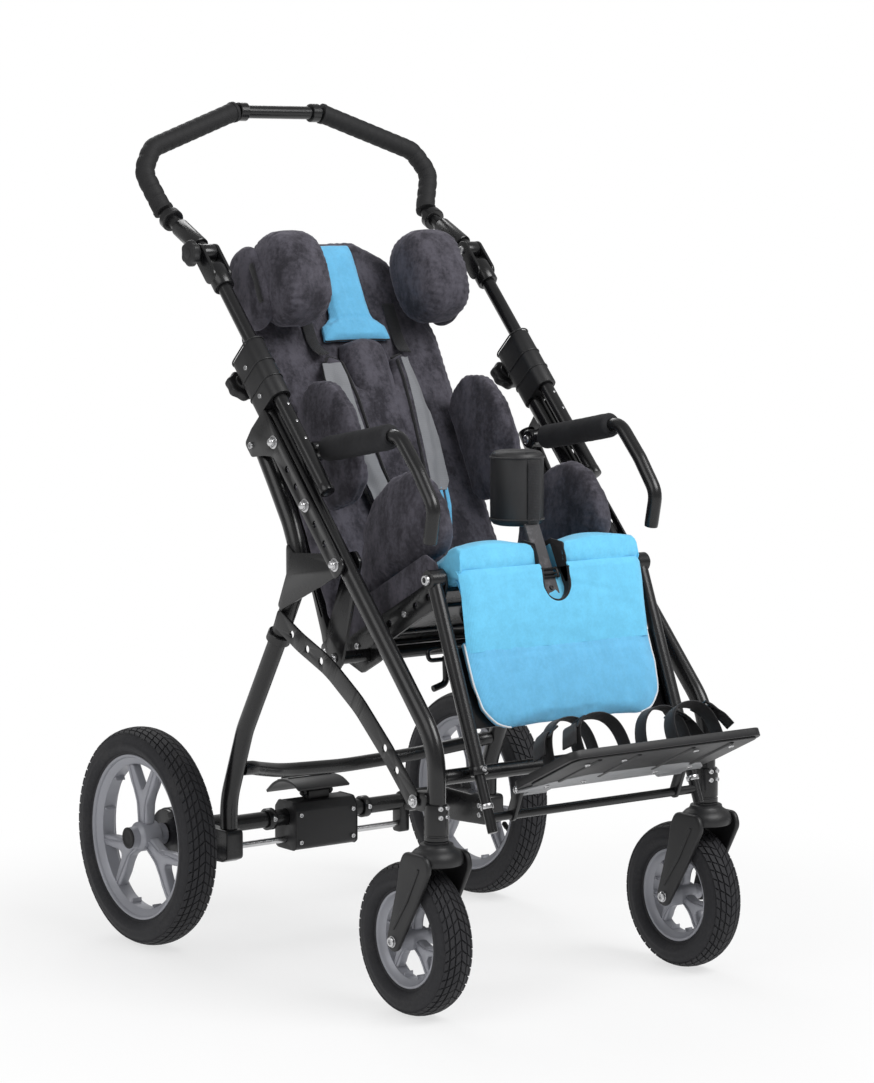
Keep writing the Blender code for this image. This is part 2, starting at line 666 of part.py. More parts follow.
def seat_carrier():
    """Two brackets from the hinge bolts, and the tube on which the seat tilts."""
    inner_x = CARRIER_OUT_X - CARRIER_THICK
    hinge_y, hinge_z = HINGE_YZ
    tilt_y, tilt_z = TILT_PIVOT
    outline = [
        (hinge_y - 0.016, hinge_z + 0.004), (hinge_y - 0.004, hinge_z + 0.017), (hinge_y + 0.013, hinge_z + 0.013),
        (tilt_y + 0.019, tilt_z + 0.030), (tilt_y + 0.017, tilt_z - 0.006), (tilt_y + 0.006, tilt_z - 0.017),
        (tilt_y - 0.010, tilt_z - 0.014), (tilt_y - 0.020, tilt_z + 0.006),
    ]
    solids = [cross_rod(-inner_x - 0.002, inner_x + 0.002, TILT_PIVOT, TILT_TUBE_R, 12)]
    holes = []
    for _, s in SIDES:
        solids.append(plate(outline, s * inner_x, s * CARRIER_OUT_X))
        holes.append(cross_rod(s * (inner_x - 0.01), s * (CARRIER_OUT_X + 0.01), HINGE_YZ, PLATE_HOLE_R, 10))
    settle(fuse(solids, holes), "seat_carrier", "frame", "frame_black")


# Rear frame, wheels and brake


def rear_leg(side, s):
    """Bent leg tube with the gusset that hangs it on the hinge bolt."""
    x = s * FRAME_HALF_WIDTH
    points = [(x, *yz) for yz in LEG_ROUTE]
    points += [(x, LEG_BOTTOM_Y, BRACKET_TOP + 0.027), (x, LEG_BOTTOM_Y, BRACKET_TOP + GAP)]
    tube = pipe(fillet(points, 0.12, 1), LEG_R, 10)
    hinge_y, hinge_z = HINGE_YZ
    outline = [
        (-0.283, 0.594), (-0.300, 0.580), (hinge_y + 0.004, hinge_z + 0.014), (hinge_y - 0.010, hinge_z + 0.010),
        (hinge_y - 0.014, hinge_z - 0.003), (hinge_y - 0.006, hinge_z - 0.013), (-0.270, 0.500), (-0.262, 0.505),
        (-0.283, 0.550),
    ]
    gusset = plate(outline, s * INNER_LAYER[0], s * INNER_LAYER[1])
    ring_y, ring_z = LEG_RING_YZ
    down_y = 0.0065
    down_z = -0.0108
    ring = rod((x, ring_y, ring_z), (x, ring_y + down_y, ring_z + down_z), LEG_R + 0.0045, 12)
    hole = cross_rod(s * HOLE_FROM, s * HOLE_TO, HINGE_YZ, PLATE_HOLE_R, 10)
    settle(fuse([tube, gusset, ring], [hole]), "rear_leg_" + side, "rear_frame", "frame_black")


def offset_band(centre_line, half):
    """The outline of a band of one width along a line of points."""
    left = []
    right = []
    last = len(centre_line) - 1
    for k, (y, z) in enumerate(centre_line):
        before = centre_line[max(k - 1, 0)]
        after = centre_line[min(k + 1, last)]
        heading = Vector((after[0] - before[0], after[1] - before[1])).normalized()
        left.append((y - heading.y * half, z + heading.x * half))
        right.append((y + heading.y * half, z - heading.x * half))
    return left + right[::-1]


def diagonal_plate(side, s):
    """Curved perforated stay from the caster housing to the leg."""
    line = [(p.y, p.z) for p in fillet([(0, *yz) for yz in DIAGONAL_ROUTE], 0.2, 2)]
    band = plate(offset_band(line, DIAGONAL_HALF), s * OUTER_LAYER[0], s * OUTER_LAYER[1])
    cuts = [cross_rod(s * HOLE_FROM, s * HOLE_TO, DIAGONAL_PIVOT, PLATE_HOLE_R, 10)]
    for yz in ((-0.300, 0.4706), (-0.336, 0.4545), (-0.368, 0.442), (-0.512, 0.345), (-0.538, 0.3195)):
        cuts.append(cross_rod(s * HOLE_FROM, s * HOLE_TO, yz, 0.0052, 8))
    settle(fuse([band], cuts), "diagonal_plate_" + side, "diagonal_" + side, "frame_black")


def axle_beam():
    """Axle bar with its end castings, the wheels' stub axles and the brake drums' plates."""
    solids = [cross_rod(-BRACKET_IN_X - 0.002, BRACKET_IN_X + 0.002, (0, REAR_WHEEL_R), AXLE_BAR_R, 12)]
    for _, s in SIDES:
        x_low, x_high = sorted((s * BRACKET_IN_X, s * BRACKET_OUT_X))
        casting = block((x_low, BRACKET_FRONT_Y, BRACKET_LOW), (x_high, BRACKET_BACK_Y, BRACKET_TOP))
        solids.append(casting)
        solids.append(cross_rod(s * (BRACKET_IN_X - 0.0665), s * (BRACKET_IN_X + 0.002), (0, REAR_WHEEL_R), 0.0165, 12))
        x_low, x_high = sorted((s * (ROD_HALF + GAP), s * (ROD_HALF + 0.0173)))
        solids.append(block((x_low, -0.010, ROD_Z - 0.012), (x_high, 0.010, REAR_WHEEL_R)))
        solids.append(cross_rod(s * 0.078, s * 0.090, (0, REAR_WHEEL_R), 0.0160, 12))
        drum_out = REAR_HALF_TRACK - REAR_HUB_HALF_WIDTH - GAP
        solids.append(cross_rod(s * (BRACKET_OUT_X - 0.001), s * drum_out, (0, REAR_WHEEL_R), DRUM_R, 16))
        solids.append(cross_rod(s * (BRACKET_OUT_X - 0.002), s * (REAR_HALF_TRACK + 0.014), (0, REAR_WHEEL_R), AXLE_R, 12))
    settle(fuse(solids), "axle_beam", "rear_frame", "frame_black")


def rear_cross_tube():
    """Bowed tube between the legs."""
    reach = FRAME_HALF_WIDTH - LEG_R - GAP
    half = [(reach, -0.1345, 0.2620), (reach - 0.014, -0.1345, 0.2620), (reach - 0.036, -0.1200, 0.2560),
            (reach - 0.096, -0.0850, 0.2420), (0.0, -0.0700, 0.2350)]
    points = [(-x, y, z) for x, y, z in half[:-1]] + [(x, y, z) for x, y, z in half[::-1]]
    tube = pipe(fillet(points, 0.15, 2), REAR_CROSS_R, 8)
    settle(tube, "rear_cross_tube", "rear_frame", "frame_black")


def brake_block():
    """Housing of the parking brake on the axle bar, with the pedal's lug and pin."""
    housing = block((-BLOCK_HALF_X, -BLOCK_HALF_Y, BLOCK_LOW), (BLOCK_HALF_X, BLOCK_HALF_Y, BLOCK_TOP))
    lug = block((-0.018, -0.007, BLOCK_TOP - 0.002), (0.018, 0.007, PEDAL_PIVOT[1] + 0.006))
    pin = cross_rod(-0.028, 0.028, PEDAL_PIVOT, 0.0030, 8)
    bore = cross_rod(-0.07, 0.07, (0, REAR_WHEEL_R), AXLE_BAR_R + RUN, 12)
    rod_bore = cross_rod(-0.07, 0.07, (0, ROD_Z), ROD_R + RUN, 12)
    settle(fuse([housing, lug, pin], [bore, rod_bore]), "brake_block", "rear_frame", "moulded_black")


def brake_rod():
    """Bright rod that the pedal turns to lock both wheels."""
    settle(cross_rod(-ROD_HALF, ROD_HALF, (0, ROD_Z), ROD_R, 12), "brake_rod", "brake_rod", "steel")


def brake_pedal():
    """Arched foot flap over the block, with two cheeks on the pin."""
    top = [(-0.022, 0.0100), (-0.004, 0.0185), (0.022, 0.0205), (0.046, 0.0130), (0.066, -0.0030)]
    under = [(0.063, -0.0065), (0.044, 0.0090), (0.021, 0.0165), (-0.003, 0.0145), (-0.020, 0.0065)]
    outline = [(y, PEDAL_PIVOT[1] + rise) for y, rise in top + under]
    flap = plate(outline, -PEDAL_HALF_X, PEDAL_HALF_X)
    solids = [flap]
    for _, s in SIDES:
        solids.append(plate(capsule(PEDAL_PIVOT, (0.002, PEDAL_PIVOT[1] + 0.013), 0.0055, 4), s * 0.0205, s * 0.0250))
    hole = cross_rod(-0.04, 0.04, PEDAL_PIVOT, 0.0036, 8)
    settle(fuse(solids, [hole]), "brake_pedal", "brake_pedal", "moulded_black")


def wheel(names, body_name, centre, sizes, spokes):
    """A tyre and a moulded rim with forked spokes on one hub."""
    radius, tyre_half, rim_r, rim_half, hub_r, hub_half, steps = sizes
    seat = rim_r + GAP
    wall = radius - seat
    profile = [
        (-rim_half + 0.001, seat), (-tyre_half, seat + 0.42 * wall), (-0.80 * tyre_half, seat + 0.82 * wall),
        (-0.36 * tyre_half, radius),
    ]
    profile += [(-x, r) for x, r in profile[::-1]]
    settle(turned(profile, centre, steps), names[0], body_name, "tyre_black")
    inner = rim_r - (0.0142 if rim_r > 0.1 else 0.0110)
    ring_profile = [(-rim_half, rim_r), (rim_half, rim_r), (0.55 * rim_half, inner), (-0.55 * rim_half, inner)]
    ring = turned(ring_profile, centre, steps)
    hub = cross_rod(centre[0] - hub_half, centre[0] + hub_half, centre[1:], hub_r, 16)
    solids = [ring, hub]
    trunk, split, arm_out, arm_in, thick = spokes
    foot = 0.7 * hub_r
    shape = [
        (foot, -trunk), (split, -trunk), (inner + 0.003, -arm_out), (inner + 0.003, -arm_in), (split * 1.28, 0.0),
        (inner + 0.003, arm_in), (inner + 0.003, arm_out), (split, trunk), (foot, trunk),
    ]
    for k in range(3):
        angle = 2 * math.pi * k / 3 + math.radians(90)
        c = math.cos(angle)
        d = math.sin(angle)
        outline = [(centre[1] + r * c - w * d, centre[2] + r * d + w * c) for r, w in shape]
        solids.append(plate(outline, centre[0] - thick, centre[0] + thick))
    return solids


def rear_wheel(side, s):
    """Twelve-inch tyre and grey rim on the stub axle."""
    centre = (s * REAR_HALF_TRACK, 0.0, REAR_WHEEL_R)
    sizes = (
        REAR_WHEEL_R, REAR_TYRE_HALF_WIDTH, REAR_RIM_R, REAR_RIM_HALF_WIDTH, REAR_HUB_R, REAR_HUB_HALF_WIDTH, 28,
    )
    name = "rear_wheel_" + side
    names = ("rear_tyre_" + side,)
    solids = wheel(names, name, centre, sizes, (0.012, 0.048, 0.044, 0.028, 0.0075))
    bore = cross_rod(
        s * (REAR_HALF_TRACK - 0.052), s * (REAR_HALF_TRACK + 0.0145), (0, REAR_WHEEL_R), AXLE_R + RUN, 12
    )
    settle(fuse(solids, [bore]), "rear_rim_" + side, name, "rim_grey")


def caster_wheel(side, s):
    """Eight-inch tyre and grey rim on the fork's bolt."""
    centre = (s * FRAME_HALF_WIDTH, CASTER_Y, CASTER_R)
    hub_half = FORK_LEG_INNER - GAP
    sizes = (
        CASTER_R, CASTER_TYRE_HALF_WIDTH, CASTER_RIM_R, CASTER_RIM_HALF_WIDTH, CASTER_HUB_R, hub_half, 24,
    )
    name = "caster_wheel_" + side
    solids = wheel(("caster_tyre_" + side,), name, centre, sizes, (0.0095, 0.028, 0.026, 0.015, 0.0065))
    bore = cross_rod(centre[0] - 0.04, centre[0] + 0.04, centre[1:], FORK_BOLT_R + RUN, 12)
    settle(fuse(solids, [bore]), "caster_rim_" + side, name, "rim_grey")


def caster_fork(side, s):
    """Moulded fork with its stem pin and the wheel's bolt."""
    x = s * FRAME_HALF_WIDTH
    outer = FORK_LEG_INNER + FORK_LEG_THICK
    front = STEM_Y - 0.030
    rear = STEM_Y + 0.030
    end_r = FORK_LEG_END_R
    outline = [(front, FORK_CROWN_TOP), (front, FORK_CROWN_LOW), (STEM_Y + 0.004, 0.160)]
    for degrees in (190, 230, 270, 310, 350, 30):
        angle = math.radians(degrees)
        outline.append((CASTER_Y + end_r * math.cos(angle), CASTER_R + end_r * math.sin(angle)))
    outline += [(rear + 0.006, 0.190), (rear, FORK_CROWN_TOP)]
    crown = block((x - outer, front, FORK_CROWN_LOW), (x + outer, rear, FORK_CROWN_TOP))
    solids = [crown]
    for inner_x, outer_x in ((FORK_LEG_INNER, outer), (-FORK_LEG_INNER, -outer)):
        solids.append(plate(outline, x + inner_x, x + outer_x))
    solids.append(rod((x, STEM_Y, FORK_CROWN_TOP - 0.002), (x, STEM_Y, FORK_CROWN_TOP + 0.0042), 0.0165, 16))
    solids.append(rod((x, STEM_Y, FORK_CROWN_TOP), (x, STEM_Y, STEM_PIN_TOP), STEM_PIN_R, 12))
    solids.append(cross_rod(x - outer - 0.001, x + outer + 0.001, (CASTER_Y, CASTER_R), FORK_BOLT_R, 10))
    for d in (-1, 1):
        solids.append(
            cross_rod(x + d * (outer - 0.001), x + d * (outer + 0.0038), (CASTER_Y, CASTER_R), 0.0068, 8)
        )
    settle(fuse(solids), "caster_fork_" + side, "caster_fork_" + side, "moulded_black")


# Push handle


def handle_tube(side, s):
    """Telescopic tube with the clevis of the angle joint."""
    x = s * FRAME_HALF_WIDTH
    n = HANDLE_PITCH
    tube = rod((x, *frame_yz(HANDLE_LOW_T, n)), (x, *frame_yz(CLEVIS_SLEEVE_LOW_T + 0.01, n)), HANDLE_TUBE_R, 12)
    sleeve_end = frame_yz(CLEVIS_SLEEVE_HIGH_T, n)
    sleeve = rod((x, *frame_yz(CLEVIS_SLEEVE_LOW_T, n)), (x, *sleeve_end), TONGUE_HALF + CHEEK_THICK, 12)
    solids = [tube, sleeve]
    cheek = capsule(frame_yz(CLEVIS_SLEEVE_HIGH_T - 0.012, n), ANGLE_YZ, 0.0130, 5)
    for d in (-1, 1):
        near = x + d * (TONGUE_HALF + GAP)
        far = x + d * (TONGUE_HALF + CHEEK_THICK)
        solids.append(plate(cheek, near, far))
    solids.append(cross_rod(x - TONGUE_HALF - 0.003, x + TONGUE_HALF + 0.003, ANGLE_YZ, PIN_R, 10))
    settle(fuse(solids), "handle_tube_" + side, "handle", "frame_black")


def bow_route():
    """The bow's centre line, from one angle joint to the other."""
    half = [
        (FRAME_HALF_WIDTH, *ANGLE_YZ), (FRAME_HALF_WIDTH, *BOW_ELBOW_YZ), BOW_CORNER, BOW_SHOULDER, BOW_TOP,
    ]
    points = [(-x, y, z) for x, y, z in half] + half[::-1]
    return fillet(points, 0.030, 2)


def grip_range(route, side_sign):
    """The first and last points of the bow's route that one grip covers."""
    covered = []
    for k, point in enumerate(route):
        on_side = point.x * side_sign > BOW_TOP[0] + BOW_RING_LENGTH / 2
        if on_side and point.z > BOW_ELBOW_YZ[1] - 0.001:
            covered.append(k)
    return covered[0], covered[-1]


def push_bow():
    """Bent push bar with the tongues of its angle joints and the rings at its grips."""
    route = bow_route()
    solids = [pipe(route, BOW_R, 8)]
    cuts = []
    for _, s in SIDES:
        x = s * FRAME_HALF_WIDTH
        solids.append(plate(capsule(ANGLE_YZ, ANGLE_YZ, 0.0125, 8), x - TONGUE_HALF, x + TONGUE_HALF))
        arm = Vector((0, BOW_ELBOW_YZ[0] - ANGLE_YZ[0], BOW_ELBOW_YZ[1] - ANGLE_YZ[1])).normalized()
        start = Vector((x, *ANGLE_YZ)) + arm * 0.019
        solids.append(rod(start, start + arm * 0.060, 0.0130, 8))
        elbow = Vector((x, *BOW_ELBOW_YZ))
        solids.append(rod(elbow - arm * 0.028, elbow - arm * 0.016, BOW_RING_R, 10))
        cuts.append(cross_rod(x - 0.02, x + 0.02, ANGLE_YZ, PIN_R + RUN, 10))
        solids.append(cross_rod(s * (BOW_TOP[0] - 0.020), s * (BOW_TOP[0] - 0.006), BOW_TOP[1:], 0.0135, 8))
    settle(fuse(solids, cuts), "push_bow", "push_bow", "frame_black")


def grip(side, s):
    """Rubber grip round one shoulder of the bow."""
    route = bow_route()
    first, last = grip_range(route, s)
    outer = pipe(route[first:last + 1], GRIP_R, 8)
    inner = pipe(route[first - 1:last + 2], bore_radius(BOW_R, 8), 8)
    settle(fuse([outer], [inner]), "grip_" + side, "push_bow", "rubber_black")


def angle_knob():
    """Knob that locks the bow's angle, on the right side only."""
    x = PIVOTS["angle_knob"].x
    neck = cross_rod(x, x - 0.005, ANGLE_YZ, 0.009, 12)
    disc = cross_rod(x - 0.004, x - 0.018, ANGLE_YZ, ANGLE_KNOB_R, 16)
    settle(fuse([neck, disc]), "angle_knob", "angle_knob", "moulded_black")


# Seat unit


def seat_frame():
    """Seat pan with its side plates, pins and the socket of the pommel's bar."""
    outline_uv = (
        (-0.058, -0.036), (-0.052, -0.016), (-0.036, -0.014), (0.0, -0.030), (0.226, -0.030), (0.232, -0.023),
        (0.250, -0.022), (0.256, -0.034), (0.252, -0.048), (0.236, -0.064), (0.090, -0.068), (0.068, -0.084),
        (0.022, -0.084), (0.0, -0.062), (-0.040, -0.046),
    )
    outline = [seat_yz(u, v) for u, v in outline_uv]
    tilt_hole = cross_rod(-0.2, 0.2, TILT_PIVOT, TILT_TUBE_R + RUN, 12)
    pan_top = -CUSHION_THICK - GAP
    pan_corners = ((0.010, pan_top), (0.236, pan_top), (0.236, pan_top - SEAT_PAN_THICK), (0.010, pan_top - SEAT_PAN_THICK))
    pan = plate([seat_yz(u, v) for u, v in pan_corners], -SEAT_PLATE_IN - 0.001, SEAT_PLATE_IN + 0.001)
    socket_corners = ((0.2306, -0.042), (POMMEL_BAR_U - GAP, -0.042), (POMMEL_BAR_U - GAP, -0.078), (0.2306, -0.078))
    socket = plate([seat_yz(u, v) for u, v in socket_corners], -0.016, 0.016)
    solids = [pan, socket]
    for _, s in SIDES:
        solids.append(plate(outline, s * SEAT_PLATE_IN, s * SEAT_PLATE_OUT))
        solids.append(cross_rod(s * (SEAT_PLATE_OUT - 0.002), s * (BACK_SHELL_HALF - 0.006), BACK_PIVOT, PIN_R, 10))
        solids.append(cross_rod(s * (SEAT_PLATE_IN + 0.001), s * (LEG_TUBE_X + 0.0125), LEG_PIVOT, PIN_R, 10))
        head = LEG_TUBE_X + LEG_EYE_REACH + GAP
        solids.append(cross_rod(s * head, s * (head + 0.005), LEG_PIVOT, 0.0075, 8))
        lug = [seat_yz(u, v) for u, v in ((0.135, -0.050), (0.156, -0.050), (0.152, -0.070), (0.139, -0.070))]
        solids.append(plate(lug, s * 0.0605, s * 0.0645))
    lever_hole = cross_rod(-0.08, 0.08, seat_yz(0.145, -0.062), 0.0036, 8)
    settle(fuse(solids, [tilt_hole, lever_hole]), "seat_frame", "seat", "frame_black")


def release_lever():
    """Wire loop under the seat that frees the tilt, with its hook."""
    yz = seat_yz(0.145, -0.062)
    axle = cross_rod(-0.0680, 0.0680, yz, 0.0030, 8)
    drop = 0.030
    y, z = yz
    loop_points = [
        (-0.0560, y, z), (-0.0560, y - 0.010, z - drop), (-0.1150, y - 0.012, z - drop - 0.002),
        (-0.1150, y - 0.014, z - drop - 0.016), (-0.0300, y - 0.014, z - drop - 0.018),
        (-0.0300, y - 0.006, z - 0.010), (-0.0300, y, z),
    ]
    loop = pipe(fillet(loop_points, 0.006, 2), 0.0030, 6)
    hook_points = [
        (-0.088, y - 0.014, z - drop - 0.014), (-0.088, y - 0.016, z - drop - 0.050),
        (-0.106, y - 0.016, z - drop - 0.056),
    ]
    hook = pipe(fillet(hook_points, 0.008, 2), 0.0045, 6)
    settle(fuse([axle, loop, hook]), "release_lever", "release_lever", "frame_black")


def seat_cushion():
    """Crowned seat cushion with a rolled front, its apron and the slot for the pommel."""
    front = SEAT_DEPTH
    profile = [
        (0.004, -CUSHION_THICK), (0.004, -0.010), (0.010, 0.0), (0.080, 0.0), (0.160, 0.0), (0.235, 0.0),
        (0.266, -0.001), (0.284, -0.007), (front, -0.022), (front - 0.001, -0.042), (0.283, -0.066),
        (0.267, -0.092), (0.2535, -APRON_DROP), (0.2440, -APRON_DROP + 0.001), (0.2500, -0.090), (0.2585, -0.068),
        (0.2585, -CUSHION_THICK),
    ]
    stations = (-1.0, -0.955, -0.80, -0.60, -0.30, -0.16, 0.0, 0.16, 0.30, 0.60, 0.80, 0.955, 1.0)
    bm = bmesh.new()
    face = bm.faces.new([bm.verts.new((stations[0] * SEAT_HALF, u, v)) for u, v in profile])
    for before, after in zip(stations, stations[1:]):
        grown = bmesh.ops.extrude_face_region(bm, geom=[face])
        inner = face
        face = next(f for f in grown["geom"] if isinstance(f, bmesh.types.BMFace))
        bmesh.ops.translate(bm, vec=((after - before) * SEAT_HALF, 0, 0), verts=face.verts[:])
        if before != stations[0]:
            bmesh.ops.delete(bm, geom=[inner], context="FACES_ONLY")
    for vert in bm.verts:
        x, u, v = vert.co
        across = abs(x) / SEAT_HALF
        crown = 0.006 * max(0.0, 1.0 - (across / 0.62) ** 2) * math.sin(math.pi * min(max(u / front, 0.0), 1.0))
        edge = max(0.0, (across - 0.80) / 0.20)
        if v > -CUSHION_THICK + 0.001 and u < 0.262:
            v += crown - 0.010 * edge ** 2
        elif u > 0.262:
            u -= 0.008 * edge ** 2
        vert.co = (x, *seat_yz(u, v))
    cushion = from_bmesh(bm)
    slot = plate(
        [seat_yz(u, v) for u, v in ((0.2300, 0.03), (0.32, 0.03), (0.32, -0.082), (0.2300, -0.082))],
        -SLOT_HALF, SLOT_HALF,
    )
    settle(fuse([cushion], [slot]), "seat_cushion", "seat", "cover_blue")


def hip_pad(side, s):
    """Tall padded side support standing on the seat cushion."""
    outline = [
        (0.060, 0.0), (0.235, 0.0), (0.256, 0.018), (0.262, 0.060), (0.250, 0.104), (0.222, 0.132), (0.180, 0.140),
        (0.128, 0.130), (0.085, 0.104), (0.056, 0.064), (0.048, 0.024),
    ]
    line = [(p.x, p.y) for p in fillet([(*outline[-1], 0)] + [(*p, 0) for p in outline], 0.02, 1)]
    line = line[1:]

    def plane(a, b, c):
        return (s * c, *seat_yz(a, b + GAP))

    pad = pillow(line, plane, HIP_IN_X, HIP_OUT_X, 0.013, 0.005, 0.002, 0.030)
    settle(pad, "hip_pad_" + side, "hip_pad_" + side, "suede_grey")


def pommel():
    """Round pommel on a flat bar that lifts out of its socket."""
    drum = rod((0, POMMEL_Y, POMMEL_LOW), (0, POMMEL_Y, POMMEL_TOP), POMMEL_R, 20)
    u = POMMEL_BAR_U
    thick = POMMEL_BAR_THICK
    corners = (
        (u, -0.076), (u + thick, -0.076), (u + thick, 0.026), (0.236, 0.0485), (0.226, 0.0420), (0.2300, 0.0400),
        (u, 0.0235),
    )
    bar = plate([seat_yz(a, b) for a, b in corners], -POMMEL_BAR_HALF, POMMEL_BAR_HALF)
    settle(fuse([drum, bar]), "pommel", "pommel", "rubber_black")


def back_shell():
    """Stiff back panel with its hinge ears."""
    front = -BACK_PAD_THICK - GAP
    rear = front - BACK_SHELL_THICK
    outline = [
        (BACK_SHELL_HALF, 0.0), (BACK_SHELL_HALF, BACK_HEIGHT - 0.145),
        (BACK_SHELL_HALF - 0.018, BACK_HEIGHT - 0.075), (BACK_SHELL_HALF - 0.050, BACK_HEIGHT - 0.025),
        (0.060, BACK_HEIGHT), (-0.060, BACK_HEIGHT),
        (0.050 - BACK_SHELL_HALF, BACK_HEIGHT - 0.025), (0.018 - BACK_SHELL_HALF, BACK_HEIGHT - 0.075),
        (-BACK_SHELL_HALF, BACK_HEIGHT - 0.145), (-BACK_SHELL_HALF, 0.0),
    ]
    bm = bmesh.new()
    face = bm.faces.new([bm.verts.new((x, *seat_yz(rear, v))) for x, v in outline])
    grown = bmesh.ops.extrude_face_region(bm, geom=[face])
    top = [v for v in grown["geom"] if isinstance(v, bmesh.types.BMVert)]
    forward = Vector((0, *seat_yz(front, 0))) - Vector((0, *seat_yz(rear, 0)))
    bmesh.ops.translate(bm, vec=forward, verts=top)
    solids = [from_bmesh(bm)]
    u, v = BACK_PIVOT_UV
    ear = ((front, 0.09), (front, 0.0), (u + 0.012, v), (u, v - 0.011), (u - 0.012, v), (rear - 0.008, 0.0), (rear, 0.09))
    for _, s in SIDES:
        solids.append(plate([seat_yz(a, b) for a, b in ear], s * (BACK_SHELL_HALF - 0.005), s * BACK_SHELL_HALF))
    hole = cross_rod(-0.2, 0.2, BACK_PIVOT, PIN_R + RUN, 10)
    settle(fuse(solids, [hole]), "back_shell", "back", "frame_black")


def back_pad():
    """Padded back cover with a round top, drawn-in edge and a sewn hollow down its middle."""
    outline = []
    for x, v in (
        (BACK_HALF - 0.018, -0.008), (BACK_HALF, 0.010), (BACK_HALF, 0.20), (BACK_HALF, BACK_HEIGHT - 0.165),
        (BACK_HALF - 0.016, BACK_HEIGHT - 0.090), (BACK_HALF - 0.056, BACK_HEIGHT - 0.032),
        (BACK_HALF - 0.110, BACK_HEIGHT - 0.0002),
    ):
        outline.append((x, v))
    outline += [(-x, v) for x, v in outline[::-1]]

    def plane(a, b, c):
        return (a, *seat_yz(c, b))

    pad = pillow(outline, plane, -BACK_PAD_THICK, -GAP, 0.010, 0.003, 0.0, 0.024)
    settle(pad, "back_pad", "back", "suede_grey")


def head_cushion():
    """Blue head strip on the back pad, wider at its lower band."""
    outline = [
        (0.060, HEAD_V - 0.075), (0.060, HEAD_V - 0.049), (0.042, HEAD_V - 0.029), (0.038, HEAD_V + 0.063),
        (0.032, HEAD_V + 0.085), (-0.032, HEAD_V + 0.085), (-0.038, HEAD_V + 0.063),
        (-0.042, HEAD_V - 0.029), (-0.060, HEAD_V - 0.049), (-0.060, HEAD_V - 0.075),
    ]

    def plane(a, b, c):
        return (a, *seat_yz(c, b))

    pad = pillow(outline, plane, 0.0, 0.014, 0.0045, 0.0030, 0.0, 0.014)
    settle(pad, "head_cushion", "head", "cover_blue")


def head_wing(side, s):
    """Large rounded side support of the head."""
    outline = []
    steps = 18
    for k in range(steps):
        angle = 2 * math.pi * k / steps
        u = 0.056 + 0.056 * math.copysign(abs(math.cos(angle)) ** 0.82, math.cos(angle))
        v = HEAD_V + 0.007 + 0.070 * math.copysign(abs(math.sin(angle)) ** 0.82, math.sin(angle))
        outline.append((max(u, 0.0), v))

    def plane(a, b, c):
        return (s * c, *seat_yz(a, b))

    pad = pillow(outline, plane, WING_IN_X, WING_OUT_X, 0.022, 0.006, 0.003, 0.024)
    settle(pad, "head_wing_" + side, "head_wing_" + side, "suede_grey")


def trunk_pad(side, s):
    """Rounded side support of the trunk, standing off the back pad."""
    outline = [
        (0.0, 0.150), (0.070, 0.138), (0.110, 0.158), (0.128, 0.205), (0.126, 0.262), (0.104, 0.312),
        (0.066, 0.334), (0.026, 0.326), (0.0, 0.300),
    ]
    line = [(p.x, p.y) for p in fillet([(*outline[-1], 0)] + [(*p, 0) for p in outline], 0.02, 1)][1:]

    def plane(a, b, c):
        return (s * c, *seat_yz(max(a, 0.0), b))

    pad = pillow(line, plane, TRUNK_IN_X, TRUNK_OUT_X, 0.012, 0.004, 0.002, 0.026)
    settle(pad, "trunk_pad_" + side, "trunk_pad_" + side, "suede_grey")


def harness_vest():
    """Padded chest harness lying on the back pad."""
    outline = [
        (0.030, 0.060), (0.056, 0.106), (0.080, 0.220), (0.088, 0.300), (0.084, 0.365), (0.070, 0.390),
        (0.044, 0.382), (0.030, 0.345), (-0.030, 0.345), (-0.044, 0.382), (-0.070, 0.390), (-0.084, 0.365),
        (-0.088, 0.300), (-0.080, 0.220), (-0.056, 0.106), (-0.030, 0.060),
    ]

    def plane(a, b, c):
        return (a, *seat_yz(c, b))

    pad = pillow(outline, plane, 0.0, 0.024, 0.007, 0.003, 0.0, 0.014)
    settle(pad, "harness_vest", "back", "suede_grey")


# Armrests


def armrest(side, s):
    """Bent arm tube with the eye that turns on the frame's pin."""
    x = s * ARM_X
    eye_yz = frame_yz(ARM_PIN_T)
    route = fillet([(x, *eye_yz)] + [(x, *yz) for yz in ARM_ROUTE], 0.022, 2)
    tube = pipe(route, ARM_TUBE_R, 8)
    eye = cross_rod(x - 0.0090, x + 0.0090, eye_yz, 0.0135, 16)
    hole = cross_rod(x - 0.03, x + 0.03, eye_yz, 0.0055 + RUN, 12)
    settle(fuse([tube, eye], [hole]), "armrest_" + side, "armrest_" + side, "frame_black")


def arm_pad(side, s):
    """Foam sleeve on the arm tube."""
    x = s * ARM_X
    eye_yz = frame_yz(ARM_PIN_T)
    whole = fillet([(x, *eye_yz)] + [(x, *yz) for yz in ARM_ROUTE], 0.022, 2)
    route = fillet([(x, *yz) for yz in ARM_PAD_ROUTE], 0.05, 2)
    outer = pipe(route, ARM_PAD_R, 12)
    hollow = pipe(whole, ARM_TUBE_R + GAP, 8)
    settle(fuse([outer], [hollow]), "arm_pad_" + side, "armrest_" + side, "rubber_black")


# Leg rest


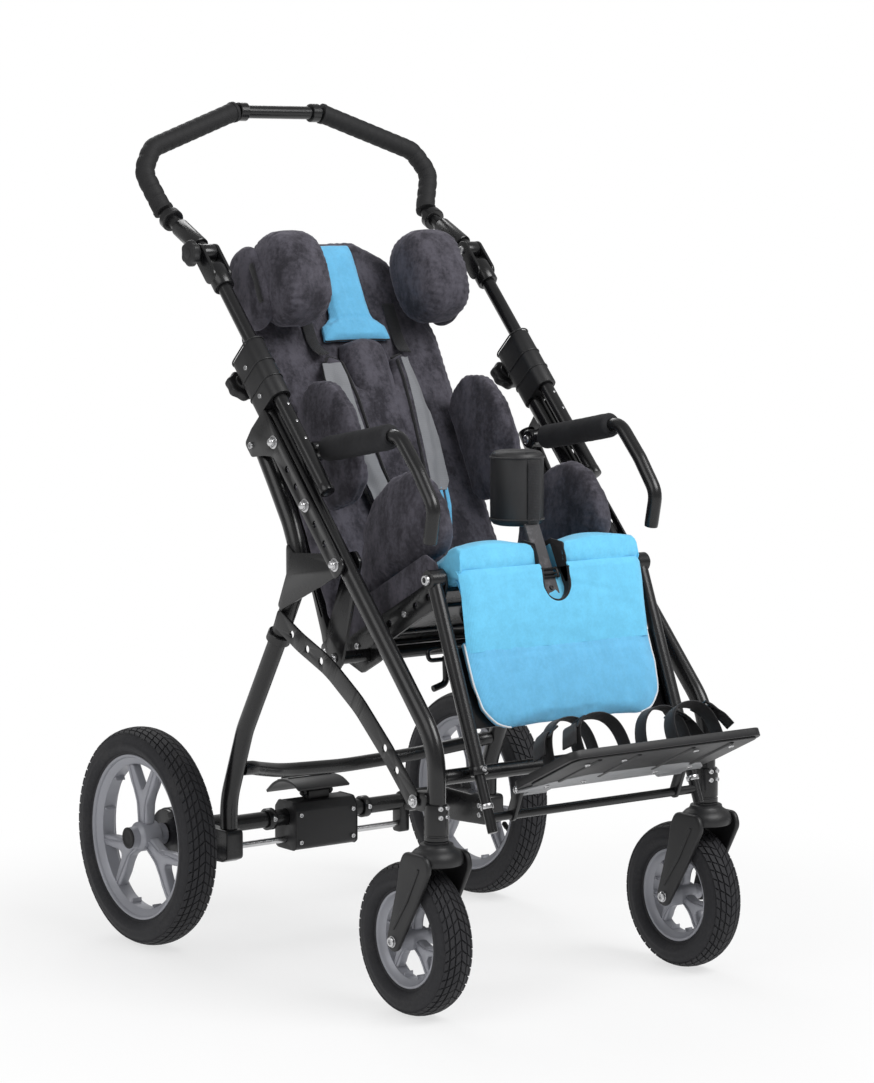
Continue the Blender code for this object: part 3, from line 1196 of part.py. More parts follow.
def leg_rest_frame():
    """Two hollow leg tubes on their eyes, joined by the calf plate."""
    solids = []
    cuts = []
    half = LEG_TUBE_X + 0.001
    corners = (
        (CALF_FROM + 0.006, -CALF_PLATE_FROM), (CALF_TO + 0.012, -CALF_PLATE_FROM),
        (CALF_TO + 0.012, -CALF_PLATE_FROM - CALF_PLATE_THICK), (CALF_FROM + 0.006, -CALF_PLATE_FROM - CALF_PLATE_THICK),
    )
    solids.append(plate([leg_yz(a, f) for a, f in corners], -half, half))
    for _, s in SIDES:
        x = s * LEG_TUBE_X
        solids.append(rod((x, *leg_yz(0.006)), (x, *leg_yz(LEG_TUBE_LENGTH)), LEG_TUBE_R, 12))
        inner = s * (SEAT_PLATE_OUT + GAP)
        solids.append(cross_rod(inner, s * (LEG_TUBE_X + LEG_EYE_REACH), LEG_PIVOT, 0.0130, 16))
        cuts.append(cross_rod(s * (LEG_TUBE_X - 0.024), s * (LEG_TUBE_X + 0.026), LEG_PIVOT, PIN_R + RUN, 10))
        start = (x, *leg_yz(LEG_BORE_FROM))
        cuts.append(rod(start, (x, *leg_yz(LEG_TUBE_LENGTH + 0.02)), LEG_BORE_R, 12))
    settle(fuse(solids, cuts), "leg_rest_frame", "leg_rest", "frame_black")


def calf_pad():
    """Blue calf pad on its plate, narrower at its rounded foot."""
    outline = [
        (CALF_HALF, CALF_FROM), (CALF_HALF, 0.140), (CALF_HALF - 0.006, 0.172), (CALF_HALF - 0.024, 0.192),
        (CALF_HALF - 0.046, CALF_TO), (0.046 - CALF_HALF, CALF_TO), (0.024 - CALF_HALF, 0.192),
        (0.006 - CALF_HALF, 0.172), (-CALF_HALF, 0.140), (-CALF_HALF, CALF_FROM),
    ]

    def plane(a, b, c):
        return (a, *leg_yz(b, c))

    pad = pillow(outline, plane, -CALF_PLATE_FROM + GAP, CALF_FRONT, 0.006, 0.004, 0.0, 0.034)
    settle(pad, "calf_pad", "leg_rest", "cover_blue")


def foot_slider():
    """Rods that slide in the leg tubes, with the foot plate's cross bar and hinge pin."""
    solids = [cross_rod(-LEG_TUBE_X, LEG_TUBE_X, leg_yz(SLIDER_BAR_AT), 0.0060, 12)]
    pin_half = FOOT_EAR_X + FOOT_EAR_THICK + 0.002
    solids.append(cross_rod(-pin_half, pin_half, FOOT_HINGE, PIN_R, 10))
    for _, s in SIDES:
        x = s * LEG_TUBE_X
        solids.append(rod((x, *leg_yz(SLIDER_FROM)), (x, *leg_yz(SLIDER_TO)), SLIDER_ROD_R, 12))
        ear = capsule(leg_yz(SLIDER_BAR_AT), FOOT_HINGE, 0.0080, 5)
        solids.append(plate(ear, s * FOOT_EAR_X, s * (FOOT_EAR_X + FOOT_EAR_THICK)))
    settle(fuse(solids), "foot_slider", "foot_slider", "frame_black")


def foot_plate():
    """Bright aluminium plate with its hinge knuckles."""
    corners = [foot_yz(p, q) for p, q in (
        (0.014, FOOT_PLATE_TOP), (0.014, FOOT_PLATE_LOW), (FOOT_LENGTH - 0.004, FOOT_PLATE_LOW),
        (FOOT_LENGTH - 0.004, FOOT_PLATE_TOP),
    )]
    solids = [plate(corners, -FOOT_HALF + 0.006, FOOT_HALF - 0.006)]
    for _, s in SIDES:
        solids.append(cross_rod(s * (FOOT_EAR_X - 0.0395), s * (FOOT_EAR_X - 0.0010), FOOT_HINGE, 0.0085, 12))
        web = [foot_yz(p, q) for p, q in ((0.0, -0.0045), (0.0, -0.0075), (0.020, -0.0075), (0.020, -0.0057))]
        solids.append(plate(web, s * (FOOT_EAR_X - 0.0385), s * (FOOT_EAR_X - 0.0020)))
    hole = cross_rod(-0.15, 0.15, FOOT_HINGE, PIN_R + RUN, 10)
    settle(fuse(solids, [hole]), "foot_plate", "foot_plate", "plate_grey")


def foot_tray():
    """Moulded foot tray with a raised rim."""
    outline = rounded_outline((-FOOT_HALF, 0.0145), (FOOT_HALF, FOOT_LENGTH), 0.016, 3)

    def plane(a, b, c):
        return (a, *foot_yz(b, c))

    bm = bmesh.new()
    face = bm.faces.new([bm.verts.new((a, b, FOOT_PLATE_TOP + GAP)) for a, b in outline])
    bmesh.ops.recalc_face_normals(bm, faces=bm.faces)
    grown = bmesh.ops.extrude_face_region(bm, geom=[face], use_keep_orig=True)
    top_corners = [v for v in grown["geom"] if isinstance(v, bmesh.types.BMVert)]
    top = next(f for f in grown["geom"] if isinstance(f, bmesh.types.BMFace))
    bmesh.ops.translate(bm, vec=(0, 0, FOOT_TRAY_TOP - FOOT_PLATE_TOP - GAP), verts=top_corners)
    bmesh.ops.recalc_face_normals(bm, faces=bm.faces)
    bmesh.ops.inset_region(bm, faces=[top], thickness=0.006, depth=0.0)
    bmesh.ops.inset_region(bm, faces=[top], thickness=0.002, depth=-0.005)
    for vert in bm.verts:
        vert.co = plane(*vert.co)
    settle(from_bmesh(bm), "foot_tray", "foot_plate", "moulded_black")


def arch_band(p_centre, width, x_centre, half_span, rise, base_q, thick, steps=8):
    """A webbing band that arches over the foot, as a solid of one thickness."""
    outer = []
    inner = []
    for k in range(steps + 1):
        angle = math.pi * k / steps
        bulge = math.sin(angle) ** 0.75 if 0 < k < steps else 0.0
        x = x_centre - half_span * math.cos(angle)
        outer.append((x, base_q + rise * bulge))
        inner_x = x_centre - (half_span - thick) * math.cos(angle)
        inner.append((inner_x, base_q + (rise - thick) * bulge))
    bm = bmesh.new()
    corners = [bm.verts.new((x, *foot_yz(p_centre - width / 2, q))) for x, q in outer + inner[::-1]]
    face = bm.faces.new(corners)
    grown = bmesh.ops.extrude_face_region(bm, geom=[face])
    far = [v for v in grown["geom"] if isinstance(v, bmesh.types.BMVert)]
    step = Vector((0, *foot_yz(width, 0))) - Vector((0, *foot_yz(0, 0)))
    bmesh.ops.translate(bm, vec=step, verts=far)
    return from_bmesh(bm)


def foot_straps(side, s):
    """Sole pad with a toe strap and an ankle strap for one foot."""
    x = s * 0.078
    low = FOOT_TRAY_TOP - 0.005 + GAP
    corners = [foot_yz(p, q) for p, q in ((0.026, low), (0.139, low), (0.139, low + 0.004), (0.026, low + 0.004))]
    solids = [plate(corners, x - 0.040, x + 0.040)]
    base = low + 0.001
    solids.append(arch_band(0.048, 0.022, x, 0.038, STRAP_RISE, base, 0.0028))
    solids.append(arch_band(0.112, 0.022, x, 0.038, STRAP_RISE * 0.86, base, 0.0028))
    settle(fuse(solids), "foot_straps_" + side, "foot_plate", "webbing_black")


def centre_on_origin():
    """Move the whole chair so that the origin is under the middle of its outline."""
    bpy.context.view_layer.update()
    low = math.inf
    high = -math.inf
    for thing in bpy.data.objects:
        if thing.type == "MESH":
            ys = [(thing.matrix_world @ v.co).y for v in thing.data.vertices]
            low = min(low, min(ys))
            high = max(high, max(ys))
    EMPTIES["frame"].location.y -= (low + high) / 2
    bpy.context.view_layer.update()


def main():
    """Build the chair."""
    clear_scene()
    make_bodies()
    for side, s in SIDES:
        side_tube(side, s)
        side_plate(side, s)
        handle_clamp(side, s)
        clamp_knob(side, s)
        rear_leg(side, s)
        diagonal_plate(side, s)
        rear_wheel(side, s)
        caster_fork(side, s)
        caster_wheel(side, s)
        handle_tube(side, s)
        grip(side, s)
        hip_pad(side, s)
        head_wing(side, s)
        trunk_pad(side, s)
        armrest(side, s)
        arm_pad(side, s)
        foot_straps(side, s)
    for make in (
        front_cross_tube, seat_carrier, axle_beam, rear_cross_tube, brake_block, brake_rod, brake_pedal,
        push_bow, angle_knob, seat_frame, release_lever, seat_cushion, pommel, back_shell, back_pad,
        head_cushion, harness_vest, leg_rest_frame, calf_pad, foot_slider, foot_plate, foot_tray,
    ):
        make()
    centre_on_origin()


main()
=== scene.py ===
"""Child's tilt-in-space wheelchair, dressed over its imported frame.

Metres, +Z up, in the same frame as the solids: the occupant faces -Y, and right
and left are the occupant's own.
"""

import math

import bmesh
import bpy
from mathutils import Matrix, Vector, noise
from mathutils.bvhtree import BVHTree
from mathutils.kdtree import KDTree


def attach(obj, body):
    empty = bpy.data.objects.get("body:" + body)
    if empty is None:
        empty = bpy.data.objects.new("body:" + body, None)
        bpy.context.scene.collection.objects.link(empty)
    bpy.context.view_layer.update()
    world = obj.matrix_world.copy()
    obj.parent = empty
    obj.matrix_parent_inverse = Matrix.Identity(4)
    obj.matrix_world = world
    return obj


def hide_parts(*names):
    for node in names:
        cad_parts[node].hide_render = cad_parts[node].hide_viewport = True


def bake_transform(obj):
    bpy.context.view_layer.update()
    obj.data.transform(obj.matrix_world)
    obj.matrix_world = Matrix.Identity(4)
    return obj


bl_info = {
    "name": "Tilting child's wheelchair",
    "version": (1, 0, 0),
    "blender": (4, 5, 0),
    "location": "View3D > Sidebar > Wheelchair",
    "description": "Dresses the packed frame of a child's wheelchair with covers, tubes, wheels and stage",
    "category": "Add Mesh",
}

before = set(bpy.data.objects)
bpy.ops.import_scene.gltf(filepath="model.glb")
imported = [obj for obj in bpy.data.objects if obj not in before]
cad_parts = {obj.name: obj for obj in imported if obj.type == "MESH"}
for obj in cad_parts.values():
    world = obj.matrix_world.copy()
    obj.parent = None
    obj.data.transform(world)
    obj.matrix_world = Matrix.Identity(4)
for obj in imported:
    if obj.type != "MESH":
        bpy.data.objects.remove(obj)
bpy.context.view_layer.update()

# Fixed places, repeated from the solids
AXLE_Y = 0.3192155
SIDES = (("right", -1), ("left", 1))
TUBE_X = 0.2285
INNER_PLATE = (0.24, 0.2428)
OUTER_PLATE = (0.2431, 0.2459)
NUT_FACE_X = 0.2462
FRAME_Y = -0.2376
FRAME_Z = 0.7487
SEAT_Y = -0.288
SEAT_Z = 0.481
SLOPE = math.radians(47)
TILT = math.radians(27)
LEG_ANGLE = math.radians(22)
FOOT_TILT = math.radians(25.5)
HEAD_V = 0.48
HANDLE_PITCH = 0.033
STEM_BACK = 0.6015
STEM_Y = AXLE_Y - STEM_BACK
CASTER_Y = STEM_Y + 0.0466
REAR_R = 0.155
CASTER_R = 0.1008
REAR_X = 0.292
PEDAL_Z = 0.187
ROD_Z = 0.122
LEG_X = 0.1738
TILT_PIVOT = (AXLE_Y - 0.358, 0.442)
STAY_BOLT = (AXLE_Y - 0.575, 0.285)


def frame_at(t, n=0.0):
    """Y and Z of a point up the side tube's slope, and in front of it."""
    y = FRAME_Y + t * math.cos(SLOPE) - n * math.sin(SLOPE)
    return AXLE_Y + y, FRAME_Z + t * math.sin(SLOPE) + n * math.cos(SLOPE)


HINGE = frame_at(-0.24)
ARM_PIN = frame_at(-0.0504)
ANGLE_PIVOT = frame_at(0.28, HANDLE_PITCH)


def seat_at(u, v):
    """Y and Z of a point forward along the seat and up from it."""
    y = SEAT_Y - u * math.cos(TILT) + v * math.sin(TILT)
    return AXLE_Y + y, SEAT_Z + u * math.sin(TILT) + v * math.cos(TILT)


def leg_at(along, front=0.0):
    """Y and Z of a point down the leg rest and in front of it."""
    y = -0.522 - along * math.sin(LEG_ANGLE) - front * math.cos(LEG_ANGLE)
    return AXLE_Y + y, 0.56 - along * math.cos(LEG_ANGLE) + front * math.sin(LEG_ANGLE)


FOOT_HINGE = leg_at(0.291, 0.026)


def foot_at(p, q):
    """Y and Z of a point forward along the foot plate and up from its hinge."""
    y = FOOT_HINGE[0] - p * math.cos(FOOT_TILT) + q * math.sin(FOOT_TILT)
    return y, FOOT_HINGE[1] + p * math.sin(FOOT_TILT) + q * math.cos(FOOT_TILT)


def moved(points):
    """Points drawn from the rear axle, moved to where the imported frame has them."""
    return [Vector((x, y + AXLE_Y, z)) for x, y, z in points]


def fillet(points, radius, steps=8):
    """A route with each inner corner rounded as far as its neighbours leave room."""
    points = [Vector(p) for p in points]
    out = [points[0]]
    for before, corner, after in zip(points, points[1:], points[2:]):
        back = (before - corner).normalized()
        ahead = (after - corner).normalized()
        reach = radius / math.tan(max(back.angle(ahead) / 2, 0.05))
        reach = min(reach, 0.48 * (before - corner).length, 0.48 * (after - corner).length)
        start = corner + back * reach
        end = corner + ahead * reach
        for k in range(steps + 1):
            s = k / steps
            out.append(start.lerp(corner, s).lerp(corner.lerp(end, s), s))
    out.append(points[-1])
    return out


def ramp(value):
    """A share held between 0 and 1, smooth at both ends."""
    value = min(max(value, 0.0), 1.0)
    return value * value * (3 - 2 * value)


def squared(value, power):
    """A sine or cosine pushed out, so that a circle becomes squarer."""
    return math.copysign(abs(value) ** power, value)


def evened(points, step):
    """The same route with points at even steps."""
    points = [Vector(p) for p in points]
    lengths = [0.0]
    for a, b in zip(points, points[1:]):
        lengths.append(lengths[-1] + (b - a).length)
    count = max(2, round(lengths[-1] / step))
    out = []
    k = 0
    for i in range(count + 1):
        at = lengths[-1] * i / count
        while k < len(lengths) - 2 and lengths[k + 1] < at:
            k += 1
        span = max(lengths[k + 1] - lengths[k], 1e-9)
        out.append(points[k].lerp(points[k + 1], (at - lengths[k]) / span))
    return out


# What a user would change


def length_property(name, description, value):
    """A length that the panel shows."""
    return bpy.props.FloatProperty(name=name, description=description, default=value, unit="LENGTH")


class ChairSizes(bpy.types.PropertyGroup):
    """Sizes of the details that are made here."""

    puff: length_property("Puff", "How far the filling may push a cover out", 0.007)
    seam_depth: length_property("Seam depth", "How deep a sewn seam draws the cover in", 0.0032)
    piping: length_property("Piping radius", "Radius of the cord in a cover's edge", 0.0016)
    wrinkle: length_property("Wrinkle height", "Height of the soft folds in a cover", 0.0016)
    tread: length_property("Tread depth", "Depth of the grooves in the tyres", 0.0022)
    rib_pitch: length_property("Rib pitch", "Distance between the ribs of a grip", 0.015)
    webbing: length_property("Webbing width", "Width of the foot straps' webbing", 0.024)
    edge: length_property("Edge radius", "Rounding of cut plates and castings", 0.0007)


def colour_property(name, description, value):
    """A colour that the panel shows."""
    return bpy.props.FloatVectorProperty(
        name=name, description=description, default=value, subtype="COLOR", size=3, min=0.0, max=1.0)


class ChairColours(bpy.types.PropertyGroup):
    """Colours of the finishes."""

    paint: colour_property("Frame paint", "Powder coat of the tubes and plates", (0.0075, 0.0075, 0.0082))
    moulded: colour_property("Moulded parts", "Black moulded plastic", (0.0085, 0.0085, 0.0095))
    rubber: colour_property("Rubber", "Grips and sole pads", (0.01, 0.01, 0.0108))
    foam: colour_property("Foam", "Arm pads", (0.021, 0.021, 0.023))
    pommel: colour_property("Pommel", "Skin of the pommel", (0.019, 0.019, 0.02))
    tyre: colour_property("Tyres", "Tyre rubber", (0.0165, 0.0165, 0.0195))
    rim: colour_property("Rims", "Moulded rims", (0.3, 0.305, 0.335))
    steel: colour_property("Hardware", "Bright bolts and rods", (0.62, 0.62, 0.63))
    suede: colour_property("Suede", "Grey suede of the supports", (0.054, 0.051, 0.062))
    blue: colour_property("Seat cover", "Blue cover of seat and calf pad", (0.175, 0.63, 0.94))
    band: colour_property("Head strip", "Blue of the head strip and calf pad", (0.165, 0.54, 0.85))
    plate: colour_property("Foot plate", "Bare aluminium of the foot plate", (0.33, 0.335, 0.345))
    webbing: colour_property("Webbing", "Straps", (0.0095, 0.0092, 0.0108))
    strap: colour_property("Pommel strap", "Grey strap of the pommel", (0.07, 0.068, 0.072))
    patch: colour_property("Patches", "Light grey panels of the harness", (0.225, 0.23, 0.245))
    piping: colour_property("Piping", "Pale cord in the calf pad's edge", (0.8, 0.82, 0.84))
    floor: colour_property("Floor", "Studio floor", (0.93, 0.931, 0.935))


def sizes():
    """The sizes in use."""
    return bpy.context.scene.chair_sizes


def colours():
    """The colours in use."""
    return bpy.context.scene.chair_colours


# Materials


class Value:
    """A shader socket that takes part in sums."""

    def __init__(self, shade, socket):
        self.shade = shade
        self.socket = socket

    def maths(self, operation, *others):
        """One Math node on this value and others."""
        return self.shade.node("ShaderNodeMath", {"operation": operation}, {
            k: other for k, other in enumerate((self, *others))})

    def __add__(self, other):
        return self.maths("ADD", other)

    def __sub__(self, other):
        return self.maths("SUBTRACT", other)

    def __rsub__(self, other):
        return self.shade.node("ShaderNodeMath", {"operation": "SUBTRACT"}, {0: other, 1: self})

    def __mul__(self, other):
        return self.maths("MULTIPLY", other)

    def __truediv__(self, other):
        return self.maths("DIVIDE", other)

    def power(self, exponent):
        """This value to a power."""
        return self.maths("POWER", exponent)

    def wave(self, rate):
        """Even waves from 0 to 1 along this value."""
        return (self * rate).maths("SINE") * 0.5 + 0.5

    def between(self, low, high):
        """0 below low and 1 above high, smooth between."""
        return self.shade.node("ShaderNodeMapRange", {"interpolation_type": "SMOOTHSTEP"}, {
            "Value": self, "From Min": low, "From Max": high})


class Shade:
    """A material in the making, with its nodes."""

    def __init__(self, name, key):
        self.colour = tuple(getattr(colours(), key))
        self.material = bpy.data.materials.new(name)
        self.material.use_nodes = True
        self.tree = self.material.node_tree
        self.shader = self.tree.nodes["Principled BSDF"]
        self.place = 0

    def node(self, kind, settings=None, inputs=None, output=0):
        """A node with its settings, then its inputs, as a value to use."""
        made = self.tree.nodes.new(kind)
        self.place += 1
        made.location = (-200 * (1 + self.place % 8), -240 * (self.place // 8))
        for key, setting in (settings or {}).items():
            setattr(made, key, setting)
        for key, value in (inputs or {}).items():
            self.feed(made.inputs[key], value)
        return Value(self, made.outputs[output])

    def feed(self, socket, value):
        """Link or set one input."""
        if isinstance(value, Value):
            self.tree.links.new(value.socket, socket)
        elif isinstance(value, (tuple, list)) and socket.type == "RGBA":
            socket.default_value = (*value[:3], 1.0)
        else:
            socket.default_value = value

    def where(self, scale=(1, 1, 1), turn=(0, 0, 0), attribute=None):
        """Coordinates on the object itself, or its own attribute, scaled and turned."""
        if attribute:
            base = self.node("ShaderNodeAttribute", {"attribute_name": attribute}, output=1)
        else:
            base = self.node("ShaderNodeTexCoord", output=3)
        return self.node("ShaderNodeMapping", None, {"Vector": base, "Scale": scale, "Rotation": turn})

    def grain(self, scale, detail=3.0, rough=0.55, where=None):
        """Noise from 0 to 1."""
        return self.node("ShaderNodeTexNoise", None, {
            "Vector": where or self.where(), "Scale": scale, "Detail": detail, "Roughness": rough})

    def cells(self, scale, where=None, feature="F1"):
        """Distance to the nearest of scattered points."""
        return self.node("ShaderNodeTexVoronoi", {"feature": feature}, {
            "Vector": where or self.where(), "Scale": scale})

    def axes(self, where):
        """The three parts of a vector."""
        parts = self.node("ShaderNodeSeparateXYZ", None, {"Vector": where})
        return [Value(self, socket) for socket in parts.socket.node.outputs]

    def mixed(self, factor, first, second):
        """One colour over another."""
        return self.node(
            "ShaderNodeMix", {"data_type": "RGBA"}, {"Factor": factor, 6: first, 7: second}, output=2)

    def toned(self, factor):
        """The finish's colour, darker or lighter."""
        return [c * factor for c in self.colour]

    def tones(self, mask, low, high):
        """The finish's colour, running from darker to lighter with a mask."""
        dark, light = ([min(1.0, c) for c in self.toned(factor)] for factor in (low, high))
        return self.mixed(mask, dark, light)

    def bumped(self, height, distance, strength=1.0, under=None):
        """A surface raised by a height."""
        links = {"Height": height, "Distance": distance, "Strength": strength}
        if under:
            links["Normal"] = under
        return self.node("ShaderNodeBump", None, links)

    def finished(self, **inputs):
        """Set the shader's sockets and give back the material."""
        for key, value in inputs.items():
            self.feed(self.shader.inputs[key.replace("_", " ")], value)
        return self.material


def paint():
    """Satin black powder coat: fine orange peel, rubbed tones and a little dust."""
    s = Shade("frame_paint", "paint")
    peel = s.grain(900, 2.0)
    drift = s.grain(14, 4.0)
    scuffs = s.grain(60, 5.0, 0.7, s.where((1, 1, 0.25))).between(0.62, 0.8)
    base = s.mixed(scuffs * 0.25, s.tones(drift, 0.7, 1.3), s.toned(2.2))
    return s.finished(
        Base_Color=base, Roughness=drift * 0.14 + scuffs * 0.12 + 0.2, Specular_IOR_Level=0.42,
        Coat_Weight=0.15, Coat_Roughness=0.18, Normal=s.bumped(peel, 0.00006, 0.6))


def moulded():
    """Black moulded plastic with a spark-eroded grain."""
    s = Shade("moulded_plastic", "moulded")
    grain = s.cells(1500).maths("POWER", 0.7)
    drift = s.grain(18, 4.0)
    worn = s.grain(70, 4.0, 0.65).between(0.6, 0.78)
    base = s.mixed(worn * 0.25, s.tones(drift, 0.8, 1.3), s.toned(2.2))
    return s.finished(
        Base_Color=base, Roughness=drift * 0.18 + 0.38, Specular_IOR_Level=0.5,
        Normal=s.bumped(grain, 0.00009, 0.55))


def rubber(name="grip_rubber", key="rubber", rough=0.58):
    """Matt rubber with fine pores and handled patches."""
    s = Shade(name, key)
    pores = s.cells(2100)
    drift = s.grain(26, 4.0)
    base = s.tones(drift, 0.75, 1.6)
    return s.finished(
        Base_Color=base, Roughness=drift * 0.22 + rough, Specular_IOR_Level=0.42,
        Normal=s.bumped(pores + drift * 0.6, 0.0001, 0.5))


def foam():
    """Closed-cell foam: a soft skin with open pores, painted darker inside as shade."""
    s = Shade("arm_foam", "foam")
    pores = s.cells(900).between(0.05, 0.45)
    drift = s.grain(30, 4.0)
    # The pores' hollows are painted darker: painted shade in the pores.
    base = s.mixed(1 - pores, s.tones(drift, 0.8, 1.6), s.toned(0.45))
    return s.finished(
        Base_Color=base, Roughness=0.93 - drift * 0.12, Specular_IOR_Level=0.3,
        Normal=s.bumped(pores, 0.0003, 0.6))


def tyre_rubber():
    """Tyre rubber: dull tread dusted by the floor, smoother side walls, moulding grain."""
    s = Shade("tyre_rubber", "tyre")
    drift = s.grain(20, 5.0, 0.6)
    grit = s.grain(240, 4.0, 0.7)
    dust = (drift * 0.6 + grit * 0.4).between(0.46, 0.66)
    base = s.mixed(dust * 0.3, s.tones(grit, 0.7, 1.3), (0.055, 0.053, 0.053))
    return s.finished(
        Base_Color=base, Roughness=drift * 0.2 + 0.62, Specular_IOR_Level=0.42,
        Normal=s.bumped(grit + s.cells(1300) * 0.4, 0.00012, 0.6))


def rim_plastic():
    """Grey moulded rim with a metallic fleck and faint flow marks."""
    s = Shade("rim_plastic", "rim")
    fleck = s.cells(2600).between(0.0, 0.3)
    drift = s.grain(12, 4.0)
    base = s.mixed(fleck * 0.35, s.tones(drift, 0.82, 1.12), s.toned(1.35))
    return s.finished(
        Base_Color=base, Roughness=drift * 0.16 + 0.34, Metallic=0.25, Specular_IOR_Level=0.5,
        Normal=s.bumped(s.grain(700, 3.0), 0.00005, 0.5))


def bright_steel():
    """Zinc-plated steel, brushed, with darker patches."""
    s = Shade("bright_steel", "steel")
    brushed = s.grain(900, 3.0, 0.7, s.where((0.06, 1, 1)))
    drift = s.grain(45, 4.0)
    base = s.tones(drift, 0.72, 1.12)
    return s.finished(
        Base_Color=base, Metallic=0.95, Roughness=brushed * 0.16 + drift * 0.1 + 0.12,
        Normal=s.bumped(brushed, 0.00004, 0.5))


def suede(name="suede", key="suede"):
    """Suede with a brushed nap: lighter and darker strokes, short fibres and a soft sheen."""
    s = Shade(name, key)
    where = s.where()
    strokes = s.grain(38, 6.0, 0.62, s.where((1, 1, 0.45), (0.4, 0.2, 0.3)))
    nap = s.grain(170, 5.0, 0.7, where)
    fibres = s.grain(1500, 3.0, 0.8, where)
    mask = (strokes * 0.6 + nap * 0.32 + fibres * 0.08).between(0.38, 0.62)
    base = s.tones(mask, 0.55, 1.75)
    under = s.bumped(strokes + nap * 0.5, 0.0007, 0.35)
    return s.finished(
        Base_Color=base, Roughness=0.98 - mask * 0.1, Specular_IOR_Level=0.18,
        Sheen_Weight=0.35, Sheen_Roughness=0.45, Sheen_Tint=(0.52, 0.5, 0.58),
        Normal=s.bumped(fibres + nap * 0.4, 0.00035, 0.6, under))


def blue_cover(name="blue_cover", key="blue"):
    """Blue knitted cover: rows of small loops with painted shade between them, pilling and a soft bloom."""
    s = Shade(name, key)
    x, y, z = s.axes(s.where(turn=(-TILT, 0, 0)))
    rows = x.wave(3600)
    courses = (y + z * 0.8).wave(3600)
    knit = rows.power(0.7) * courses.power(0.7)
    nap = s.grain(48, 6.0, 0.62)
    bloom = s.grain(260, 4.0, 0.7)
    mask = (nap * 0.6 + bloom * 0.4).between(0.32, 0.68)
    # Between the raised loops the blue is painted darker: painted shade in the gaps.
    base = s.mixed((1 - knit) * 0.22, s.tones(mask, 0.9, 1.08), s.toned(0.62))
    under = s.bumped(nap + bloom * 0.5, 0.0006, 0.35)
    return s.finished(
        Base_Color=base, Roughness=0.95 - mask * 0.08, Specular_IOR_Level=0.22,
        Sheen_Weight=0.35, Sheen_Roughness=0.5, Sheen_Tint=(0.75, 0.88, 1.0),
        Normal=s.bumped(knit + bloom * 0.4, 0.00028, 0.65, under))


def webbing_weave(name="webbing_weave", key="webbing"):
    """Webbing, woven in narrow ribs along its length, with painted shade in the grooves and a painted
    highlight on the ribs.
    """
    s = Shade(name, key)
    along, across, _ = s.axes(s.where(attribute="lay"))
    ribs = across.wave(3900)
    picks = along.wave(3100)
    weave = ribs.power(0.8) * (picks * 0.5 + 0.5)
    wear = s.grain(90, 5.0, 0.7).between(0.5, 0.75)
    # The weave runs from dark in the grooves to light on the ribs' tops: painted shade and painted
    # highlight. The lighter patches are real wear.
    base = s.mixed(wear * 0.35, s.tones(weave, 0.5, 1.7), s.toned(4.0))
    return s.finished(
        Base_Color=base, Roughness=0.84 - weave * 0.14, Specular_IOR_Level=0.35,
        Sheen_Weight=0.2, Sheen_Roughness=0.5, Normal=s.bumped(weave, 0.0005, 0.7))


def cover_cloth():
    """Black canvas on the back of the shell: plain weave with creases, painted darker in the weave's
    hollows and lighter on its threads.
    """
    s = Shade("cover_cloth", "webbing")
    x, _, z = s.axes(s.where(turn=(-TILT, 0, 0)))
    weave = x.wave(4200) * z.wave(4200)
    creases = s.grain(16, 5.0, 0.6, s.where((1, 1, 2.4)))
    # The weave is painted darker in its hollows and lighter on its raised threads: painted shade and
    # painted highlight.
    base = s.mixed(creases.between(0.45, 0.75) * 0.4, s.tones(weave, 0.7, 1.5), s.toned(2.4))
    return s.finished(
        Base_Color=base, Roughness=0.86 - weave * 0.1, Specular_IOR_Level=0.35, Sheen_Weight=0.2,
        Normal=s.bumped(weave, 0.0003, 0.5, s.bumped(creases, 0.004, 0.5)))


def patch_cloth():
    """Light grey panels: a tight glossy weave with a painted highlight on its raised threads, a little
    soiled.
    """
    s = Shade("patch_cloth", "patch")
    x, _, z = s.axes(s.where(turn=(-TILT, 0, 0)))
    weave = x.wave(3300) * z.wave(3300)
    soil = s.grain(55, 5.0, 0.6)
    # The weave's raised threads are painted lighter: painted highlight.
    base = s.mixed(weave * 0.3, s.tones(soil, 0.82, 1.1), s.toned(1.25))
    return s.finished(
        Base_Color=base, Roughness=0.72 - weave * 0.12, Specular_IOR_Level=0.35,
        Normal=s.bumped(weave + soil * 0.5, 0.0003, 0.5))


def piping_cord():
    """Pale piping, lightly twisted."""
    s = Shade("piping_cord", "piping")
    twist = s.axes(s.where(attribute="lay"))[0].wave(2600)
    soil = s.grain(120, 4.0)
    return s.finished(
        Base_Color=s.tones(soil, 0.8, 1.05), Roughness=0.78 - twist * 0.1,
        Normal=s.bumped(twist, 0.0004, 0.5))


def bare_plate():
    """Rolled aluminium: long brush strokes, smudges and a dull bloom."""
    s = Shade("bare_plate", "plate")
    strokes = s.grain(420, 3.0, 0.65, s.where((0.04, 1, 1)))
    smudge = s.grain(24, 5.0, 0.6)
    base = s.tones(strokes * 0.5 + smudge * 0.5, 0.78, 1.22)
    return s.finished(
        Base_Color=base, Metallic=0.55, Roughness=smudge * 0.22 + 0.34,
        Normal=s.bumped(strokes, 0.00006, 0.6))


MAKERS = {
    "paint": paint,
    "moulded": moulded,
    "rubber": rubber,
    "foam": foam,
    "tyre": tyre_rubber,
    "pommel": lambda: rubber("pommel_skin", "pommel", 0.34),
    "rim": rim_plastic,
    "steel": bright_steel,
    "suede": suede,
    "blue": blue_cover,
    "band": lambda: blue_cover("band_cover", "band"),
    "webbing": webbing_weave,
    "strap": lambda: webbing_weave("strap_weave", "strap"),
    "canvas": cover_cloth,
    "patch": patch_cloth,
    "piping": piping_cord,
    "plate": bare_plate,
}
MADE = {}


